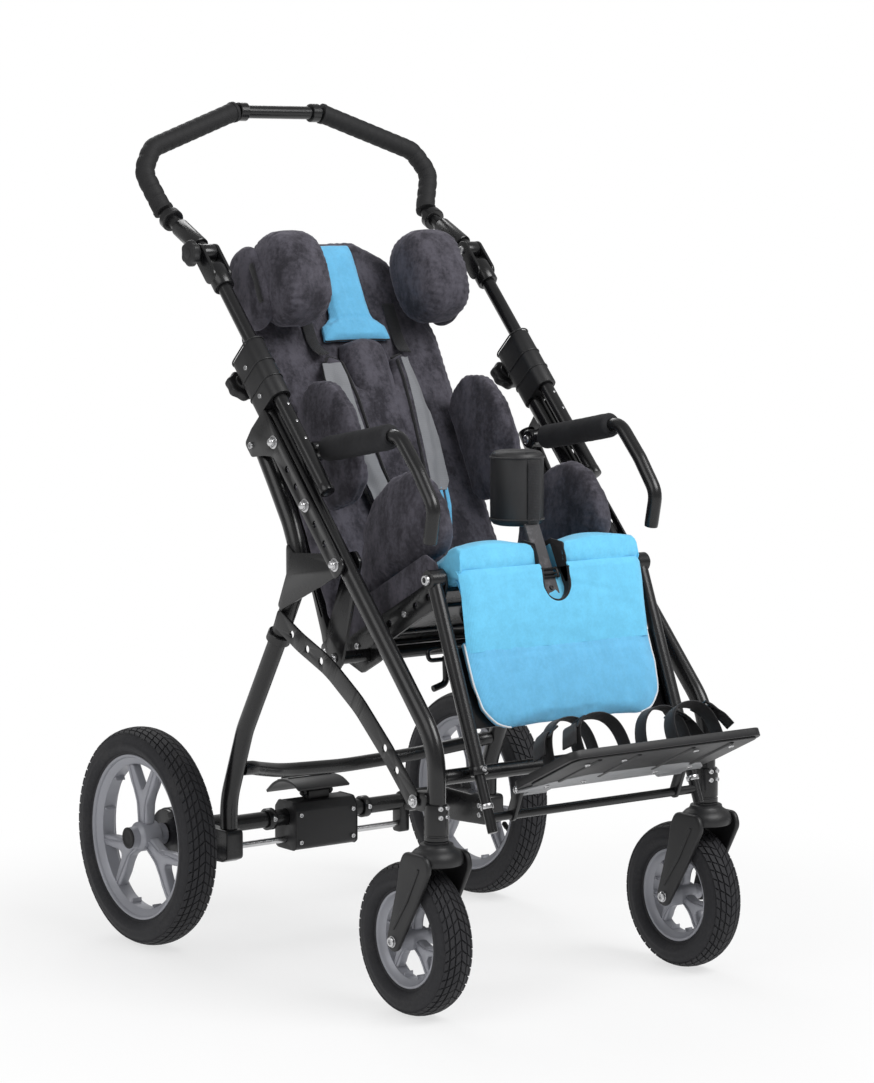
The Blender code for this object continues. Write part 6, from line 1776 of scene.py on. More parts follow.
def apron():
    """Blue apron from under the cushion's crest to the calf pad, cut round below the slot."""
    half, rows = 0.153, 40
    side = [SLOT + (half - SLOT) * (k / 26) for k in range(1, 27)]
    middle = [SLOT * (k / 9 - 1) for k in range(19)]
    columns = [-x for x in side[::-1]] + middle + side
    bm = bmesh.new()
    grid = []
    for x in columns:
        line = []
        for j in range(rows + 1):
            t = 0.2 + 0.8 * j / rows
            rise = 0.0016 + 0.0026 * math.sin(math.pi * t)
            rise -= 0.0046 * max(0.0, 1 - (t - 0.2) / 0.05)
            broad = noise.noise(Vector((x * 8, t * 2.6, 3.0)))
            fine = noise.noise(Vector((x * 26, t * 8, 1.0)))
            rise += 0.0016 * broad + 0.0007 * fine
            ridge = (t - HOLE) * DROP + (x - 0.022) * -0.22
            if x > 0.022:
                rise -= 0.002 * math.exp(-(ridge / 0.0045) ** 2) * math.exp(-(x - 0.022) / 0.06)
            rise -= 0.01 * max(0.0, (abs(x) - 0.136) / 0.017) ** 2
            line.append(bm.verts.new(on_front(x, t, rise)))
        grid.append(line)
    for k, (a, b) in enumerate(zip(grid, grid[1:])):
        for j in range(rows):
            x = (columns[k] + columns[k + 1]) / 2
            low = (0.2 + 0.8 * (j + 0.5) / rows - HOLE) * DROP
            if abs(x) < SLOT and (low < 0 or math.hypot(x, low) < SLOT):
                continue
            bm.faces.new((a[j], b[j], b[j + 1], a[j + 1]))
    bmesh.ops.delete(bm, geom=[v for v in bm.verts if not v.link_faces], context="VERTS")
    for vert in bm.verts:
        low = (on_front(0, HOLE).z - vert.co.z)
        reach = math.hypot(vert.co.x, low)
        if vert.is_boundary and low > 0 and reach < SLOT + 0.004:
            shift = SLOT / reach
            vert.co = Vector((vert.co.x * shift, vert.co.y, vert.co.z + low * (1 - shift)))
    cover = piece("seat_apron", thickened(bm, FRONT_OUT, 0.0024), None, "blue", (), 60)
    on_front(0, 0.45)
    on_front(0, 0.95)
    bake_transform(cover)


def hip_supports():
    """Tall padded hip supports with a seamed gusset."""
    bm = filled("hip_pad_right", 0.0042, 0.0042, 0.0072, 4.0, 3)
    outline = [(0.08, 0.014), (0.22, 0.014), (0.24, 0.032), (0.246, 0.062), (0.236, 0.098), (0.212, 0.12),
        (0.178, 0.127), (0.13, 0.118), (0.092, 0.094), (0.068, 0.062), (0.062, 0.03), (0.08, 0.014)]
    for x, d in ((-0.1135, 0.0016), (-0.1575, 0.002)):
        seam(bm, fillet(seat_line(x, outline), 0.02, 4), d, 0.0045)
    top = [(0.052, 0.04), (0.07, 0.09), (0.11, 0.127), (0.17, 0.141), (0.225, 0.134), (0.254, 0.104),
        (0.263, 0.06)]
    seam(bm, fillet(seat_line(-0.1365, top), 0.03, 4), 0.0026, 0.005)
    folds(bm, 0.0011, 30.0, (1, 1, 1), 5.0)
    held(bm, [(on_seat(0, 0, 0.0004), SEAT_DOWN), ((-0.1584, 0, 0), (-1, 0, 0))])
    padded_pair("hip_support_", "hip_pad_", bm)


def trunk_supports():
    """Rounded trunk supports with a welt round their edge."""
    bm = filled("trunk_pad_right", 0.004, 0.0042, 0.0072, 4.0, 3)
    outline = [(0.0, 0.152), (0.07, 0.14), (0.108, 0.16), (0.126, 0.205), (0.124, 0.262), (0.102, 0.311),
        (0.066, 0.331), (0.026, 0.324), (0.0, 0.3)]
    line = fillet([on_seat(-0.132, max(u, 0.001), v) for u, v in outline], 0.03, 5)
    seam(bm, line, 0.0026, 0.0048)
    inner = [(0.02, 0.165), (0.068, 0.158), (0.094, 0.172), (0.108, 0.207), (0.106, 0.258), (0.088, 0.298),
        (0.062, 0.314), (0.026, 0.306)]
    seam(bm, fillet(seat_line(-0.1125, inner), 0.03, 4), 0.0014, 0.004)
    folds(bm, 0.0011, 34.0, (1, 1, 1), 9.0)
    held(bm, [(on_seat(0, 0.0004, 0), SEAT_BACK)])
    padded_pair("trunk_support_", "trunk_pad_", bm)


def head_wings():
    """Large head supports: a thick front bolster, a seamed side panel and a stitched opening."""
    bm = filled("head_wing_right", 0.0044, 0.002, 0.0075, 4.0, 3)
    for vert in bm.verts:
        vert.co.x += 0.017 * ramp((vert.co.x + 0.15) / 0.06)
    loop = []
    for k in range(25):
        angle = 2 * math.pi * k / 24
        u = 0.056 + 0.054 * squared(math.cos(angle), 0.82)
        v = HEAD_V + 0.007 + 0.068 * squared(math.sin(angle), 0.82)
        loop.append((max(u, 0.0005), v))
    for x, depth in ((-0.152, 0.0032), (-0.09, 0.0024)):
        seam(bm, fillet(seat_line(x, loop), 0.02, 2), depth, 0.0052)
    folds(bm, 0.0014, 26.0, (1, 1, 1), 14.0)
    held(bm, [(on_seat(0, 0.0004, 0), SEAT_BACK)])
    side_panel = bmesh.new()
    bmesh.ops.create_uvsphere(side_panel, u_segments=72, v_segments=40, radius=1.0)
    for vert in side_panel.verts:
        a, b, c = (squared(n, 0.85) for n in vert.co)
        vert.co = on_seat(-0.162 - 0.0175 * a, 0.018 + 0.044 * b, HEAD_V + 0.01 + 0.06 * c)
    outward(side_panel)
    rim = [on_seat(-0.179, 0.018 + 0.03 * math.cos(k * 0.3), HEAD_V + 0.01 + 0.042 * math.sin(k * 0.3))
        for k in range(22)]
    seam(side_panel, rim, 0.0022, 0.0045)
    folds(side_panel, 0.0013, 28.0, (1, 1, 1), 4.0)
    trim = bmesh.new()
    skin = tree_of(side_panel)
    slit = [nearest(skin, on_seat(-0.18, 0.05, HEAD_V - 0.026 + 0.006 * k), 0.0002)[0] for k in range(11)]
    join(trim, sweep(slit, ellipse(0.0016, 0.0058, 12), None, (1, 0, 0), 0.0008))
    other_panel = mirrored(side_panel)
    other_trim = mirrored(trim)
    other = mirrored(bm)
    for side, shape, back, line in (("right", bm, side_panel, trim),
            ("left", other, other_panel, other_trim)):
        pad = piece("head_side_" + side, shape, "head_wing_" + side, "suede", "head_wing_" + side, 60)
        piece("head_panel_" + side, back, "head_wing_" + side, "suede", (), 60)
        piece("head_side_slit_" + side, line, "head_wing_" + side, "webbing")


def back_cover():
    """Suede back pad with its sewn edge, and the canvas over the stiff shell."""
    bm = filled("back_pad", 0.0058, 0.004, 0.006, 3.0, 3)
    rim = [(0.15, 0.004), (0.158, 0.02), (0.158, 0.2), (0.157, 0.42), (0.142, 0.49), (0.104, 0.545),
        (0.055, 0.572)]
    line = [on_seat(x, -0.004, v) for x, v in rim] + [on_seat(-x, -0.004, v) for x, v in rim[::-1]]
    seam(bm, fillet(line, 0.03, 4), 0.0024, 0.006)
    waist = [on_seat(x, 0.0, 0.115 + 0.006 * math.cos(x * 18))
        for x in (-0.15, -0.1, -0.05, 0, 0.05, 0.1, 0.15)]
    seam(bm, waist, 0.0022, 0.008)
    folds(bm, 0.0014, 16.0, (1, 1.3, 1.3), 21.0)
    held(bm, [(on_seat(0, 0.0, 0), SEAT_FORWARD), (on_seat(0, -0.0348, 0), SEAT_BACK)])
    pad = piece("back_cover", bm, "back", "suede", "back_pad", 60)
    outline = [(0.158, 0.0), (0.158, 0.44), (0.14, 0.51), (0.108, 0.56), (0.06, 0.585), (-0.06, 0.585),
        (-0.108, 0.56), (-0.14, 0.51), (-0.158, 0.44), (-0.158, 0.0)]
    bm = bmesh.new()
    place = facing(-0.0433, 0)
    shell = prism(softened(outline, 0.02, 5), 0.008, 0.0022, 4)
    join(bm, shell, place)
    u, v = -0.045, -0.03
    ear = softened(seat_points(((-0.0355, 0.09), (-0.0355, 0.0), (u + 0.012, v), (u, v - 0.011),
        (u - 0.012, v), (-0.051, 0.0), (-0.0433, 0.09))), 0.004, 3)
    for _, s in SIDES:
        join(bm, slab(ear, s * 0.153, s * 0.158, 0.0007, [circle(seat_at(u, v), 0.0044, 20)]))
    piece("back_panel", bm, "back", "paint", "back_shell")
    bm = bmesh.new()
    cover = prism(softened([(x * 0.995, 0.012 + v * 0.972) for x, v in outline], 0.03, 6), 0.001, 0.0)
    bmesh.ops.triangulate(cover, faces=cover.faces[:])
    bmesh.ops.subdivide_edges(cover, edges=cover.edges[:], cuts=5, use_grid_fill=True)
    bmesh.ops.beautify_fill(cover, faces=cover.faces[:], edges=cover.edges[:])
    join(bm, cover, place @ Matrix.Translation((0, 0, -0.0016)))
    bm.normal_update()
    for vert in bm.verts:
        local = Vector(vert.co)
        swell = noise.noise(Vector((local.x * 9, local.y * 5, local.z * 14))) * 0.5 + 0.5
        edge = max(0.0, 1 - (abs(local.x) / 0.158) ** 6)
        if vert.normal.dot(Vector(SEAT_BACK)) > 0:
            vert.co += Vector(SEAT_BACK) * 0.005 * swell * edge
    canvas = piece("back_canvas", bm, "back", "canvas", (), 60)
    bm = bmesh.new()
    for v in (0.12, 0.33):
        line = [on_seat(x, -0.0468 - 0.0018, v) for x in (-0.156, -0.08, 0.0, 0.08, 0.156)]
        join(bm, sweep(evened(line, 0.01), ribbon(0.03, 0.002), None, (0, math.sin(TILT), math.cos(TILT)),
            0.0005))
    piece("back_straps", bm, "back", "webbing")


def head_strip():
    """Blue head strip, wider at its lower band."""
    bm = filled("head_cushion", 0.0032, 0.0022, 0.0042, 4.0, 2)
    low = [on_seat(x, 0.014, HEAD_V - 0.039 + 0.004 * (1 - (x / 0.045) ** 2))
        for x in (-0.05, -0.03, -0.01, 0.01, 0.03, 0.05)]
    seam(bm, low, 0.002, 0.0042)
    seam(bm, [on_seat(0.0, 0.014, v) for v in (0.458, 0.5, 0.552)], 0.0008, 0.006)
    folds(bm, 0.0007, 38.0, (1, 1, 1), 2.0)
    held(bm, [(on_seat(0, 0.0004, 0), SEAT_BACK)])
    trim = bmesh.new()
    arch = [on_seat(x, 0.01, HEAD_V - 0.0735 + 0.003 * (1 - (x / 0.056) ** 2))
        for x in (-0.057, -0.035, -0.012, 0.012, 0.035, 0.057)]
    join(trim, piping_on(bm, arch, 0.0011))
    piece("head_strip_binding", trim, "head", "webbing")
    pad = piece("head_strip", bm, "head", "band", "head_cushion", 60)


def between(stations, step):
    """Place across, height and width at even steps from station to station."""
    for (x0, v0, w0), (x1, v1, w1) in zip(stations, stations[1:]):
        count = max(2, round(abs(v1 - v0) / step))
        for k in range(count + (stations[-1][1] == v1)):
            t = k / count
            yield x0 + (x1 - x0) * t, v0 + (v1 - v0) * t, w0 + (w1 - w0) * t


def panel(tree, stations, thick=0.0014, off=0.001):
    """Cloth laid on a pad's front, by stations of place across, height and width."""
    rows = []
    for x, v, w in between(stations, 0.006):
        row = []
        for c in range(9):
            start = on_seat(x + w * (c / 8 - 0.5), 0.09, v)
            found = tree.ray_cast(start, Vector(SEAT_BACK), 0.085)[3]
            row.append([start, 0.07 if found is None else found])
        rows.append(row)
    for _ in range(4):
        depth = [[p[1] for p in row] for row in rows]
        for i, row in enumerate(rows):
            for c, point in enumerate(row):
                spots = ((i, c), (i, c), (i - 1, c), (i + 1, c), (i, c - 1), (i, c + 1))
                near = [depth[k][m] for k, m in spots if 0 <= k < len(rows) and 0 <= m < 9]
                point[1] = min(depth[i][c], sum(near) / len(near))
    bm = bmesh.new()
    grid = [[bm.verts.new(p + Vector(SEAT_BACK) * (d - off)) for p, d in row] for row in rows]
    faces_between(bm, grid)
    return thickened(bm, Vector(SEAT_FORWARD), thick)


def bolster(stations, base, rise):
    """A stuffed panel on the back, by stations of place across, height and half width."""
    bm = bmesh.new()
    grid = []
    for x, v, w in between(stations, 0.005):
        end = min(1.0, min(abs(v - stations[0][1]), abs(v - stations[-1][1])) / 0.016)
        end = math.sqrt(max(0.0, 1 - (1 - end) ** 2))
        arch = 0.008 if v > 0.3 else 0.0
        line = []
        for c in range(17):
            a = c / 8 - 1
            full = (1 - abs(a) ** 3.2) ** 0.5 * end
            line.append(bm.verts.new(on_seat(x + w * a, base + rise * full, v + arch * (1 - a * a))))
        grid.append(line)
    faces_between(bm, grid)
    bmesh.ops.edgeloop_fill(bm, edges=[e for e in bm.edges if e.is_boundary])
    return outward(bm)


def chest_harness():
    """Padded vest: stuffed centre, bound shoulder pads with light panels, blue tabs and its buckle."""
    bm = filled("harness_vest", 0.004, 0.003, 0.0055, 4.0, 3)
    folds(bm, 0.001, 32.0, (1, 1, 1), 6.0)
    held(bm, [(on_seat(0, 0.0004, 0), SEAT_BACK)])
    tree = tree_of(bm)
    patch = bmesh.new()
    join(patch, panel(tree, [(-0.0665, 0.372, 0.03), (-0.0665, 0.35, 0.034), (-0.066, 0.31, 0.032),
        (-0.061, 0.262, 0.028), (-0.052, 0.205, 0.026)]))
    join(patch, panel(tree, [(-0.052, 0.205, 0.026), (-0.046, 0.165, 0.03), (-0.042, 0.14, 0.016)]))
    join(patch, panel(tree, [(0.062, 0.378, 0.012), (0.0645, 0.32, 0.026), (0.0635, 0.25, 0.034),
        (0.058, 0.185, 0.036), (0.054, 0.172, 0.028)]))
    bind = bmesh.new()
    for s in (-1, 1):
        edge = [(0.044, 0.384), (0.07, 0.391), (0.085, 0.365), (0.089, 0.3), (0.081, 0.22), (0.057, 0.106),
            (0.03, 0.06)]
        route = fillet([on_seat(s * x, 0.011, v) for x, v in edge], 0.02, 5)
        join(bind, piping_on(bm, route, 0.0024, 0.3))
        inner = [(0.046, 0.38), (0.044, 0.33), (0.041, 0.27), (0.035, 0.205), (0.028, 0.16)]
        join(bind, piping_on(bm, fillet([on_seat(s * x, 0.03, v) for x, v in inner], 0.02, 5), 0.0024, 0.3))
        line = [on_seat(s * x, u, v) for x, u, v in ((0.07, 0.016, 0.388), (0.0735, 0.006, 0.402),
            (0.0745, 0.0024, 0.42), (0.0745, 0.0022, 0.47))]
        join(bind, strap(line, 0.02, 0.002))
    tabs = bmesh.new()
    for x in (0.058, 0.068):
        line = [on_seat(x, 0.02, 0.176), on_seat(x + 0.001, 0.015, 0.15), on_seat(x - 0.006, 0.006, 0.105)]
        join(tabs, strap(line, 0.0062, 0.0016))
    piece("vest_tabs", tabs, "back", "band")
    piece("vest_panels", patch, "back", "patch")
    piece("vest_binding", bind, "back", "webbing")
    piece("vest", bm, "back", "suede", "harness_vest", 60)
    centre = bolster([(0, 0.404, 0.033), (0, 0.38, 0.0385), (0, 0.3, 0.037), (0, 0.2, 0.03),
        (0, 0.11, 0.021)], 0.004, 0.025)
    seam(centre, [on_seat(x, 0.028, 0.35 + 0.01 * math.cos(x * 50))
        for x in (-0.034, -0.015, 0.0, 0.015, 0.034)], 0.0016, 0.0045)
    folds(centre, 0.0012, 30.0, (1, 1, 1), 8.0)
    piece("vest_centre", centre, "back", "suede", (), 60)
    clip = bmesh.new()
    place = facing(0.0225, 0.085)
    join(clip, prism(ring_outline((-0.019, -0.014), (0.019, 0.014), 0.006), 0.0062, 0.0016, 3), place)
    join(clip, prism(ring_outline((-0.012, -0.008), (0.012, 0.008), 0.004), 0.0016, 0.0006),
        place @ Matrix.Translation((0, 0, 0.0058)))
    piece("vest_clip", clip, "back", "moulded")


def pommel_of():
    """Round pommel with rolled ends, its flat bar, strap and buckle."""
    y = AXLE_Y - 0.4745
    bm = bmesh.new()
    profile = [(0, 0), (0.026, 0.0), (0.0315, 0.0016), (0.0348, 0.0052), (0.0358, 0.01), (0.0362, 0.05),
        (0.0358, 0.09), (0.0348, 0.0948), (0.0315, 0.0984), (0.026, 0.1), (0, 0.1004)]
    join(bm, lathe(profile, 56), Matrix.Translation((0, y, 0.6173)))
    piece("pommel_drum", bm, "pommel", "pommel", "pommel")
    bm = bmesh.new()
    for z in (0.626, 0.7085):
        ring = [(0.0361 * math.cos(2 * math.pi * k / 48), y + 0.0361 * math.sin(2 * math.pi * k / 48), z)
            for k in range(49)]
        join(bm, sweep(ring, ellipse(0.0013, sides=8)))
    line = [(0.0, y - 0.0352, 0.622), (0.0, y - 0.0366, 0.64), (0.0, y - 0.0366, 0.7),
        (0.0, y - 0.03, 0.7165)]
    join(bm, strap(line, 0.02, 0.0016, 0.01, 5))
    piece("pommel_seams", bm, "pommel", "webbing")
    bm = bmesh.new()
    corners = ((0.2548, -0.076), (0.2588, -0.076), (0.2588, 0.026), (0.236, 0.0485), (0.226, 0.042),
        (0.23, 0.04), (0.2548, 0.0235))
    join(bm, slab(softened(seat_points(corners), 0.002, 3), -0.012, 0.012, 0.0007))
    piece("pommel_strap", bm, "pommel", "strap")
    bm = bmesh.new()
    place = aimed(on_seat(0, 0.259, -0.046), on_seat(0, 0.3, -0.046), (1, 0, 0))
    join(bm, buckle(0.031, 0.015), place)
    join(bm, screw(0.0032, 0.0022), aimed(on_seat(0, 0.2587, -0.066), on_seat(0, 0.3, -0.066)))
    piece("pommel_buckle", bm, "pommel", "moulded")


# Armrests


ARM_ROUTE = ((-0.3, 0.7165), (-0.355, 0.7255), (-0.464, 0.745), (-0.507, 0.7), (-0.541, 0.655),
    (-0.531, 0.608))


def armrest_of(side, s):
    """Bent arm tube with its eye and end plug, and the foam sleeve."""
    x = s * 0.187
    eye = ARM_PIN
    body = "armrest_" + side
    route = bent([(x, *eye)] + [(x, y + AXLE_Y, z) for y, z in ARM_ROUTE], 0.03, 10, 0.005)
    bm = bmesh.new()
    join(bm, tube(route, 0.0095, 24, round_ends=0.002))
    join(bm, collar(0.006, 0.0135, 0.018, 0.0013, 0.0012, 36, -0.009), crossing(x, eye, s))
    piece("arm_tube_" + side, bm, body, "paint", "armrest_" + side)
    bm = bmesh.new()
    join(bm, screw(0.0062, 0.003), crossing(s * 0.1765, eye, -s))
    piece("arm_screw_" + side, bm, "frame", "steel")
    sleeve = [(x, y + AXLE_Y, z) for y, z in ((-0.2995, 0.7164), (-0.355, 0.7255), (-0.448, 0.7422))]
    points = bent(sleeve, 0.05, 8, 0.003)
    scales = []
    for k in range(len(points)):
        at = k / (len(points) - 1)
        wave = 0.016 * noise.noise(Vector((at * 9, s * 3.0, 0.0)))
        end = 1 - 0.1 * max(0.0, 1 - at / 0.05) ** 2 - 0.12 * max(0.0, (at - 0.95) / 0.05) ** 2
        scales.append(end * (0.99 + wave))
    bm = sweep(points, ellipse(0.0168, 0.0172, 36), scales, (1, 0, 0), 0.003)
    bm.normal_update()
    for vert in bm.verts:
        vert.co += vert.normal * 0.0005 * noise.noise(vert.co * 160)
    pad = piece("arm_foam_" + side, bm, body, "foam", "arm_pad_" + side, 50)


# Leg rest and foot plate


def leg_rest_of():
    """Leg tubes with their eyes, the calf plate, and the slider with its cross bar."""
    bm = bmesh.new()
    for _, s in SIDES:
        x = s * LEG_X
        join(bm, collar(0.0078, 0.01, 0.256, 0.0004, 0.0004, 28),
            aimed((x, *leg_at(0.006)), (x, *leg_at(0.262))))
        join(bm, collar(0.0045, 0.013, 0.0208, 0.0012, 0.0012, 36), crossing(s * 0.1634, leg_at(0.0), s))
        join(bm, collar(0.0101, 0.0118, 0.0105, 0.0006, 0.001, 28),
            aimed((x, *leg_at(0.251)), (x, *leg_at(0.262))))
    plate = [leg_at(a, f) for a, f in ((0.092, -0.0085), (0.2, -0.0085), (0.2, -0.0115), (0.092, -0.0115))]
    join(bm, slab(plate, -0.1748, 0.1748, 0.0008))
    piece("leg_tubes", bm, "leg_rest", "paint", "leg_rest_frame")
    bm = bmesh.new()
    for _, s in SIDES:
        x = s * LEG_X
        at = leg_at(0.2565, 0.0117)
        join(bm, screw(0.0036, 0.003), aimed((x, *at), (x, *leg_at(0.2565, 0.03))))
    piece("leg_screws", bm, "leg_rest", "steel")
    bm = bmesh.new()
    join(bm, crossbar(LEG_X, leg_at(0.318), 0.006, 20))
    join(bm, crossbar(0.142, FOOT_HINGE, 0.004, 16))
    for _, s in SIDES:
        x = s * LEG_X
        join(bm, tube([(x, *leg_at(0.205)), (x, *leg_at(0.338))], 0.0072, 24, round_ends=0.0016))
        ear = capsule(leg_at(0.318), FOOT_HINGE, 0.008)
        join(bm, slab(ear, s * 0.1345, s * 0.14, 0.0008))
    piece("slider_tubes", bm, "foot_slider", "paint", "foot_slider")
    bm = bmesh.new()
    for _, s in SIDES:
        join(bm, acorn_nut(0.006, 0.0054), crossing(s * 0.1398, FOOT_HINGE, s))
        join(bm, collar(0.0073, 0.0086, 0.0066, 0.0004, 0.0006, 24),
            aimed((s * LEG_X, *leg_at(0.3)), (s * LEG_X, *leg_at(0.31))))
    piece("slider_nuts", bm, "foot_slider", "steel")


def calf_cover():
    """Blue calf pad with pale piping down both sides."""
    bm = filled("calf_pad", 0.0042, 0.0012, 0.005, 4.0, 2)
    down = on_leg(0, 1.0, 0) - on_leg(0, 0.0, 0)
    for vert in bm.verts:
        vert.co += down * 0.011 * ramp((vert.co - on_leg(0, 0.13, 0)).dot(down) / 0.06)
    for x in (-0.095, -0.032, 0.032, 0.095):
        seam(bm, [on_leg(x, 0.098, 0.0128), on_leg(x * 0.96, 0.188, 0.0128)], 0.0009, 0.006, 0.2)
    seam(bm, [on_leg(-0.15, 0.112, 0.0128), on_leg(0.15, 0.112, 0.0128)], 0.0014, 0.006)
    folds(bm, 0.0009, 24.0, (1, 1, 1), 8.0)
    held(bm, [(on_leg(0, 0, -0.0083), LEG_BACK), ((0.16, 0, 0), (1, 0, 0)), ((-0.16, 0, 0), (-1, 0, 0))])
    trim = bmesh.new()
    for s in (-1, 1):
        line = [on_leg(s * x, a, 0.006) for x, a in ((0.156, 0.09), (0.157, 0.145), (0.151, 0.181),
            (0.134, 0.201), (0.11, 0.21))]
        join(trim, piping_on(bm, fillet(line, 0.03, 5), 0.0014, 0.5))
    piece("calf_piping", trim, "leg_rest", "piping")
    pad = piece("calf_cover", bm, "leg_rest", "band", "calf_pad", 60)


def foot_rest():
    """Aluminium plate with its knuckles, the moulded tray and its grip ribs."""
    bm = bmesh.new()
    outline = [(-0.154, 0.014), (0.154, 0.014), (0.154, 0.022), (0.132, 0.046), (0.09, 0.06),
        (-0.07, 0.066), (-0.12, 0.05), (-0.154, 0.022)]
    plate = prism(softened(outline, 0.01, 4), 0.003, 0.0006)
    under = prism(ring_outline((-0.153, 0.04), (0.153, 0.147), 0.012, 5), 0.0024, 0.0008)
    for shape in (plate, under):
        for vert in shape.verts:
            vert.co = on_foot(vert.co.x, vert.co.y, vert.co.z - (0.008 if shape is plate else 0.0072))
        outward(shape)
    join(bm, plate)
    for _, s in SIDES:
        low = s * 0.095
        join(bm, collar(0.0046, 0.0085, 0.0385, 0.0007, 0.0008, 32), crossing(low, FOOT_HINGE, s))
        web = [foot_at(p, q) for p, q in ((0.0, -0.0045), (0.0, -0.0078), (0.022, -0.0078),
            (0.022, -0.0056))]
        join(bm, slab(web, s * 0.096, s * 0.1325, 0.0005))
        for x in (0.045, 0.11):
            rib = [on_foot(s * x, p, -0.0072) for p in (0.05, 0.14)]
            join(under, sweep(rib, ellipse(0.004, 0.0022, 10), None, (1, 0, 0), 0.0006))
    piece("foot_base", bm, "foot_plate", "plate", "foot_plate")
    piece("foot_tray_frame", under, "foot_plate", "moulded")
    bm = bmesh.new()
    for x in (-0.12, -0.06, 0.06, 0.12):
        for p in (0.035, 0.125):
            join(bm, screw(0.0038, 0.0024), aimed(on_foot(x, p, -0.0079), on_foot(x, p, -0.03)))
    piece("foot_screws", bm, "foot_plate", "steel")
    outline = ring_outline((-0.16, 0.0145), (0.16, 0.151), 0.016, 8)
    tray = bmesh.new()
    tray.faces.new([tray.verts.new((a, b, -0.0047)) for a, b in outline])
    top = lifted(tray, 0.0107)
    outward(tray)
    for thickness in (0.0012, 0.0036, 0.0022):
        bmesh.ops.inset_region(tray, faces=[top], thickness=thickness, depth=0.0)
    bmesh.ops.translate(tray, vec=(0, 0, -0.0048), verts=top.verts[:])
    eased(tray, 0.001, angle=45)
    for k in range(14):
        x = -0.143 + k * 0.022
        rib = sweep([(x, 0.03, 0.0012), (x, 0.136, 0.0012)], ellipse(0.0016, 0.0007, 10), None, (1, 0, 0),
            0.0005)
        join(tray, rib)
    for vert in tray.verts:
        vert.co = on_foot(*vert.co)
    outward(tray)
    piece("foot_tray_cover", tray, "foot_plate", "moulded", "foot_tray")


def strap_loop(x, p, half, rise, lean):
    """Route of one webbing loop over the foot, from its slot on one side to the other."""
    points = []
    for k in range(25):
        angle = math.pi * k / 24
        across = -half * squared(math.cos(angle), 0.86)
        up = rise * math.sin(angle) ** 0.72 if 0 < k < 24 else 0.0
        wander = lean * math.sin(angle) + 0.0016 * math.sin(2.3 * angle + x * 40)
        points.append(on_foot(x + across, p + wander, 0.0022 + up))
    return points


def foot_straps_of(side, s):
    """Sole pad, toe and ankle webbing with loose tails, and their buckles."""
    x = s * 0.078
    bm = bmesh.new()
    sole = prism(ring_outline((x - 0.04, 0.026), (x + 0.04, 0.139), 0.014, 6), 0.004, 0.0012, 3)
    for k in range(7):
        at = 0.04 + k * 0.0142
        join(sole, sweep([(x - 0.03, at, 0.004), (x + 0.03, at, 0.004)], ellipse(0.0014, 0.0007, 8),
            round_ends=0.0004))
    for vert in sole.verts:
        vert.co = on_foot(vert.co.x, vert.co.y, vert.co.z + 0.0013)
    join(bm, sole)
    piece("sole_pad_" + side, bm, "foot_plate", "rubber")
    bm = bmesh.new()
    clips = bmesh.new()
    width = sizes().webbing
    lead = Vector(on_foot(0, 1, 0)) - Vector(on_foot(0, 0, 0))
    for p, rise, lean in ((0.048, 0.07, 0.004), (0.112, 0.056, -0.005)):
        route = evened(strap_loop(x, p, 0.038, rise, lean), 0.0035)
        join(bm, sweep(route, ribbon(width, 0.0026), None, lead, 0.0006))
        for d in (-1, 1):
            foot = [on_foot(x + d * 0.0385, p, 0.003), on_foot(x + d * 0.0345, p, 0.0032)]
            join(bm, sweep(foot, ribbon(width, 0.003), None, lead, 0.0006))
        k = int(len(route) * (0.3 if s < 0 else 0.7))
        start = route[k]
        outer = (start - on_foot(x, p, 0.01)).normalized()
        join(clips, buckle(0.03, 0.022), aimed(start, start + outer, lead))
        tail = [start + outer * 0.003, start + outer * 0.01 + (route[k + s * 3] - start) * 0.6,
            on_foot(x + s * 0.05, p + 0.004, rise * 0.6), on_foot(x + s * 0.057, p + 0.007, rise * 0.34)]
        join(bm, sweep(bent(tail, 0.02, 6, 0.003), ribbon(width * 0.96, 0.0022), None, lead, 0.0006))
    piece("strap_buckles_" + side, clips, "foot_plate", "moulded")
    piece("foot_webbing_" + side, bm, "foot_plate", "webbing", "foot_straps_" + side)


# Stage


def studio_floor():
    """Pale floor that keeps the shadow near the chair and is plain white further off."""
    bm = bmesh.new()
    bmesh.ops.create_grid(bm, x_segments=4, y_segments=4, size=7.0)
    mesh = bpy.data.meshes.new("studio_floor")
    bmesh.ops.translate(bm, vec=(0, 0, -0.0004), verts=bm.verts)
    bm.to_mesh(mesh)
    bm.free()
    floor = shown("studio_floor", mesh)
    s = Shade("studio_floor", "floor")
    drift = s.grain(3.0, 3.0)
    s.finished(Base_Color=s.tones(drift, 0.985, 1.0), Roughness=drift * 0.1 + 0.55, Specular_IOR_Level=0.2)
    light = s.node("ShaderNodeEmission", None, {"Color": (1.0, 1.0, 1.0), "Strength": 1.0})
    x, y, _ = s.axes(s.where())
    far = (x * x + y * y).power(0.5).between(0.5, 1.15)
    seen = s.node("ShaderNodeLightPath")
    rays = seen.socket.node.outputs
    camera, glossy, clear = (Value(s, rays["Is " + kind + " Ray"])
        for kind in ("Camera", "Glossy", "Transmission"))
    looked = camera + glossy + clear
    both = s.node("ShaderNodeMixShader", None, {0: (far * 0.32 + 0.68) * looked.maths("MINIMUM", 1.0)})
    links = s.tree.links
    links.new(s.shader.outputs[0], both.socket.node.inputs[1])
    links.new(light.socket, both.socket.node.inputs[2])
    links.new(both.socket, s.tree.nodes["Material Output"].inputs["Surface"])
    mesh.materials.append(s.material)


